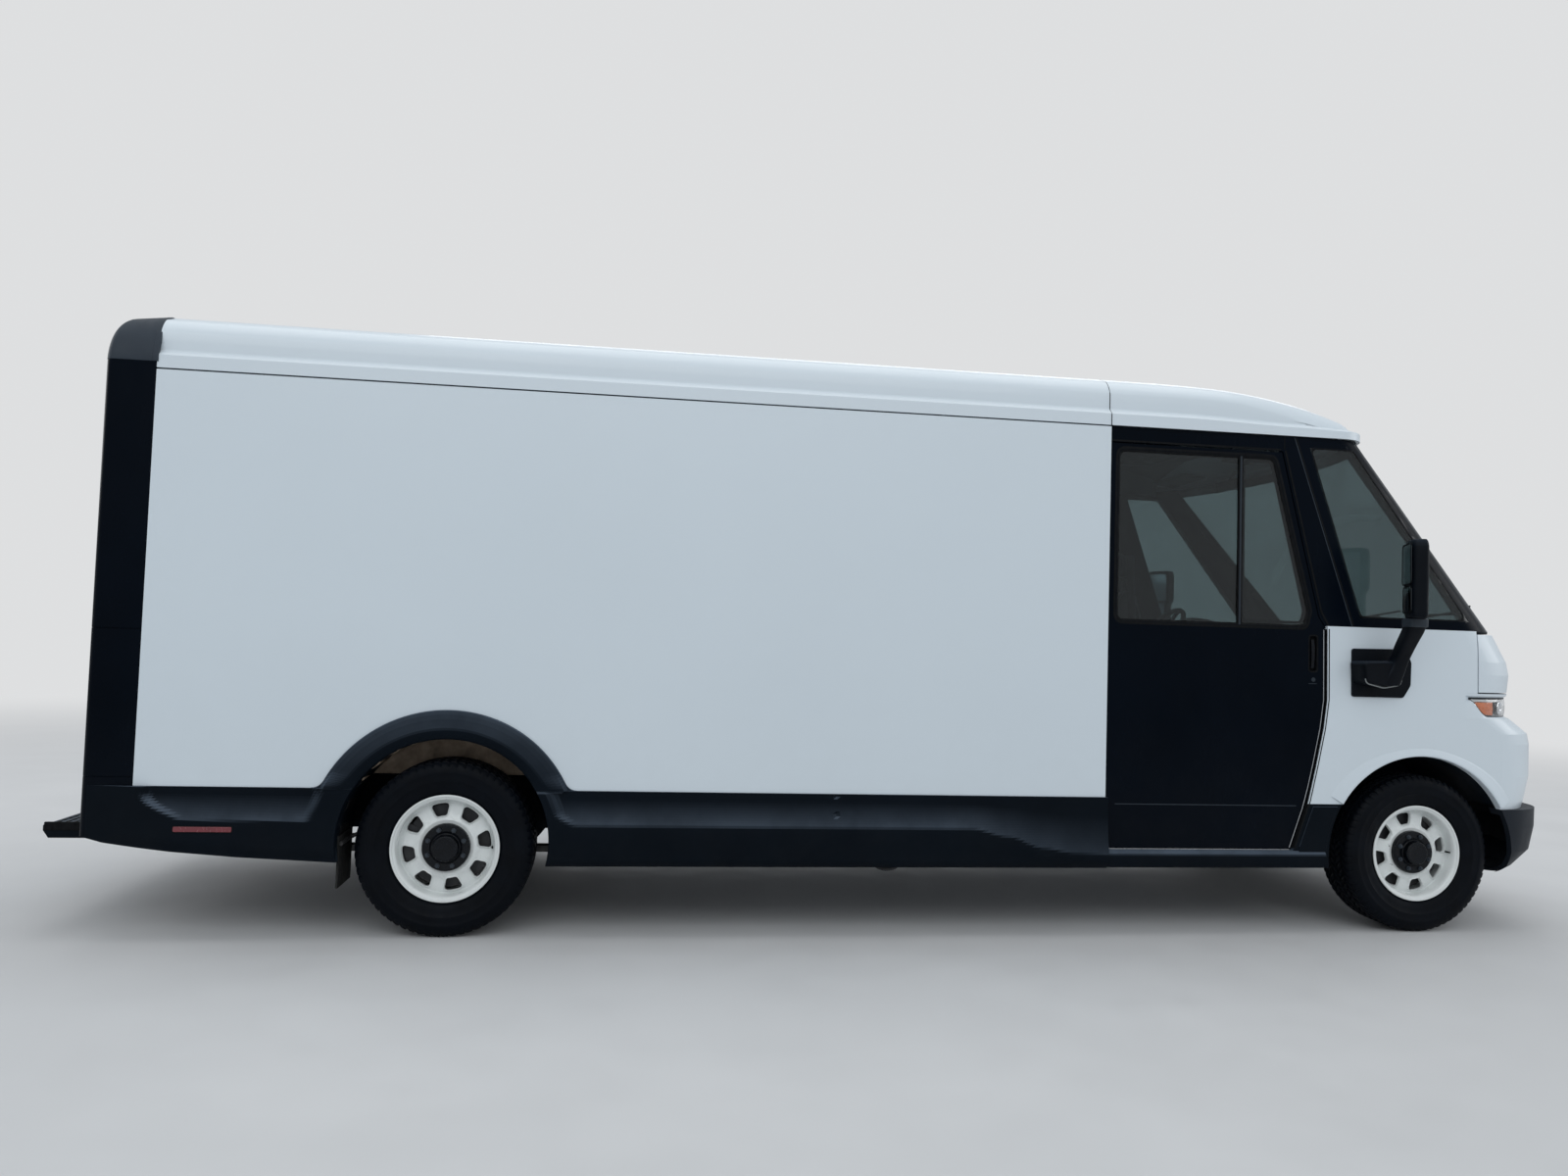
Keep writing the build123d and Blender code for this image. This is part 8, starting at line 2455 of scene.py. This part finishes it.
def add_underside():
    """Leaf and coil springs, dampers, battery bolts and power cables."""
    dampers, hoses, bolts, leaves = Shape(), Shape(), Shape(), Shape()
    for n in range(3):
        half = 0.52 - 0.1 * n
        z = 0.46 + 0.012 * n
        leaves.sheet([[(x, 0.555 + w, z + 0.055 * ((x - REAR_AXLE) / half) ** 2 + h)
                       for w, h in ((0, 0), (0.06, 0), (0.06, 0.009), (0, 0.009))]
                      for x in evenly(24, REAR_AXLE - half, REAR_AXLE + half)], round_columns=True)
    piece("leaf_springs", leaves.mirrored(), "frame_steel", outward=True)
    for x in (F - 0.16, F + 0.16):
        dampers.tube([(x, 0.50, 0.575), (x, 0.60, 0.40)], 0.022, 16)
        dampers.tube([(x, 0.60, 0.40), (x, 0.640, 0.33)], 0.011, 12)
    x = REAR_AXLE + 0.24
    dampers.tube([(x, 0.40, 0.56), (x - 0.06, 0.47, 0.40)], 0.024, 16)
    dampers.tube([(x - 0.06, 0.47, 0.40), (x - 0.10, 0.52, 0.30)], 0.012, 12)
    piece("dampers", dampers.mirrored(), "frame_steel", bevel=0.002)
    spring = coil((F, 0.585), 0.40, 0.575, 0.055, 0.0075, 5)
    piece("front_springs", spring.mirrored(), "frame_steel")
    for x in evenly(13, -1.25, 2.00):
        for y in (-0.70, 0.70):
            bolts.tube([(x, y, 0.292), (x, y, 0.284)], 0.011, 6)
    piece("battery_bolts", bolts, "silver", bevel=0.001)
    for y, end in ((0.30, 0.25), (0.26, 0.20)):
        run = [(2.10, y, 0.52), (1.60, y + 0.06, 0.47), (0.0, y + 0.10, 0.47), (-1.3, y + 0.06, 0.47),
               (-1.7, end, 0.50)]
        hoses.tube(curve(run, 8), 0.012, 8)
    piece("power_cables", hoses, "cable_orange")


# --- Finishes of the solids that stay ------------------------------------------------------------

def dress_solids():
    """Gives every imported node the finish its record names."""
    for entry in frame["record"]["subparts"]:
        thing = NODES[entry["node"]]
        look = LOOKS[entry["material_slot"]]
        if thing.data.materials:
            for index in range(len(thing.data.materials)):
                thing.material_slots[index].material = look
        else:
            thing.data.materials.append(look)


# --- Camera, light and floor ---------------------------------------------------------------------

BACKDROP = (0.86, 0.87, 0.88, 1)
BACKDROP_STRENGTH = 0.85


def add_camera():
    """Standing beside the load box, looking slightly up and towards the front."""
    yaw = math.radians(8.06)
    pitch = math.radians(2.71)
    roll = math.radians(1.77)
    ahead = Vector((math.sin(yaw) * math.cos(pitch), math.cos(yaw) * math.cos(pitch), math.sin(pitch)))
    right = Vector((math.cos(yaw), -math.sin(yaw), 0))
    up = right.cross(ahead)
    tilted_right = right * math.cos(roll) + up * math.sin(roll)
    tilted_up = up * math.cos(roll) - right * math.sin(roll)
    data = bpy.data.cameras.new("Camera")
    data.sensor_width = 36.0
    data.lens = 25.9
    data.clip_end = 200.0
    camera = bpy.data.objects.new("Camera", data)
    turn = Matrix((tilted_right, tilted_up, -ahead)).transposed().to_4x4()
    camera.matrix_world = Matrix.Translation((-1.185, -6.119, 1.328)) @ turn
    SCENE.collection.objects.link(camera)
    SCENE.camera = camera


def add_area(name, place, target, size, energy, colour=(1.0, 1.0, 1.0)):
    """Soft rectangular lamp aimed at a point."""
    data = bpy.data.lights.new(name, "AREA")
    data.shape = "RECTANGLE"
    data.size = size[0]
    data.size_y = size[1]
    data.energy = energy
    data.color = colour
    lamp = bpy.data.objects.new(name, data)
    lamp.location = place
    aim = Vector(target) - Vector(place)
    lamp.rotation_euler = aim.to_track_quat("-Z", "Y").to_euler()
    SCENE.collection.objects.link(lamp)


def seen_rays(tree):
    """1 for rays from the camera, straight or through glass, and 0 for rays that light the van."""
    rays = tree.nodes.new("ShaderNodeLightPath")
    either = tree.nodes.new("ShaderNodeMath")
    either.operation = "MAXIMUM"
    tree.links.new(rays.outputs["Is Camera Ray"], either.inputs[0])
    tree.links.new(rays.outputs["Is Transmission Ray"], either.inputs[1])
    return either.outputs[0]


def add_light():
    """Plain soft studio light from above and both sides."""
    world = bpy.data.worlds.new("Studio")
    SCENE.world = world
    world.use_nodes = True
    tree = world.node_tree
    background = tree.nodes["Background"]
    background.inputs["Color"].default_value = (0.90, 0.95, 1.0, 1)
    background.inputs["Strength"].default_value = 0.60
    seen = tree.nodes.new("ShaderNodeBackground")
    seen.inputs["Color"].default_value = BACKDROP
    seen.inputs["Strength"].default_value = BACKDROP_STRENGTH
    mix = tree.nodes.new("ShaderNodeMixShader")
    tree.links.new(seen_rays(tree), mix.inputs["Fac"])
    tree.links.new(background.outputs[0], mix.inputs[1])
    tree.links.new(seen.outputs[0], mix.inputs[2])
    tree.links.new(mix.outputs[0], tree.nodes["World Output"].inputs["Surface"])
    add_area("Key", (-2.0, -10.0, 8.0), (0.0, 0.0, 1.0), (14.0, 6.0), 330.0, (0.96, 0.985, 1.0))
    add_area("Fill", (2.5, 10.0, 7.0), (0.0, 0.0, 1.0), (14.0, 6.0), 300.0)
    add_area("Top", (0.0, 0.0, 9.0), (0.0, 0.0, 0.0), (12.0, 6.0), 240.0)
    add_area("Front", (11.0, -3.0, 4.0), (2.0, 0.0, 1.2), (5.0, 4.0), 110.0)
    add_area("Back", (-11.0, 2.0, 4.5), (-3.0, 0.0, 1.2), (5.0, 4.0), 120.0)
    SCENE.view_settings.view_transform = "Standard"


def fade_to_background(look):
    """Far from the van the floor takes the backdrop's colour, so that no horizon shows."""
    tree = look.node_tree
    shader = tree.nodes["Principled BSDF"]
    far = tree.nodes.new("ShaderNodeEmission")
    far.inputs["Color"].default_value = BACKDROP
    far.inputs["Strength"].default_value = BACKDROP_STRENGTH
    place = tree.nodes.new("ShaderNodeNewGeometry")
    reach = tree.nodes.new("ShaderNodeVectorMath")
    reach.operation = "LENGTH"
    fade = tree.nodes.new("ShaderNodeMapRange")
    fade.interpolation_type = "SMOOTHSTEP"
    fade.inputs["From Min"].default_value = 5.0
    fade.inputs["From Max"].default_value = 19.0
    share = tree.nodes.new("ShaderNodeMath")
    share.operation = "MULTIPLY"
    mix = tree.nodes.new("ShaderNodeMixShader")
    tree.links.new(place.outputs["Position"], reach.inputs[0])
    tree.links.new(reach.outputs["Value"], fade.inputs["Value"])
    tree.links.new(fade.outputs["Result"], share.inputs[0])
    tree.links.new(seen_rays(tree), share.inputs[1])
    tree.links.new(share.outputs[0], mix.inputs["Fac"])
    tree.links.new(shader.outputs[0], mix.inputs[1])
    tree.links.new(far.outputs[0], mix.inputs[2])
    tree.links.new(mix.outputs[0], tree.nodes["Material Output"].inputs["Surface"])


def add_floor():
    """Plain pale floor."""
    made = bmesh.new()
    bmesh.ops.create_grid(made, x_segments=1, y_segments=1, size=60.0)
    mesh = bpy.data.meshes.new("Floor")
    made.to_mesh(mesh)
    made.free()
    floor = bpy.data.objects.new("Floor", mesh)
    SCENE.collection.objects.link(floor)
    look = finish("floor", (0.60, 0.605, 0.61), 0.8, vary=0.03, mottle=1.2, grain=60, grain_strength=0.05,
                  specular=0.2)
    fade_to_background(look)
    mesh.materials.append(look)


add_camera()
add_light()
add_floor()
dress_solids()
for add in (add_wheels, add_roof, add_cladding, add_rear_frame, add_rear_door, add_rear_lamps,
            add_rear_plate, add_rear_step, add_rear_arch_liners, add_doors, add_side_glass,
            add_windshield, add_arch_lip, add_headlamps, add_projectors, add_lamp_covers,
            add_nose_details, add_mirrors, add_flap_details, add_dashboard, add_column, add_cab_fittings,
            add_seats, add_cargo_inside, add_underside):
    add()
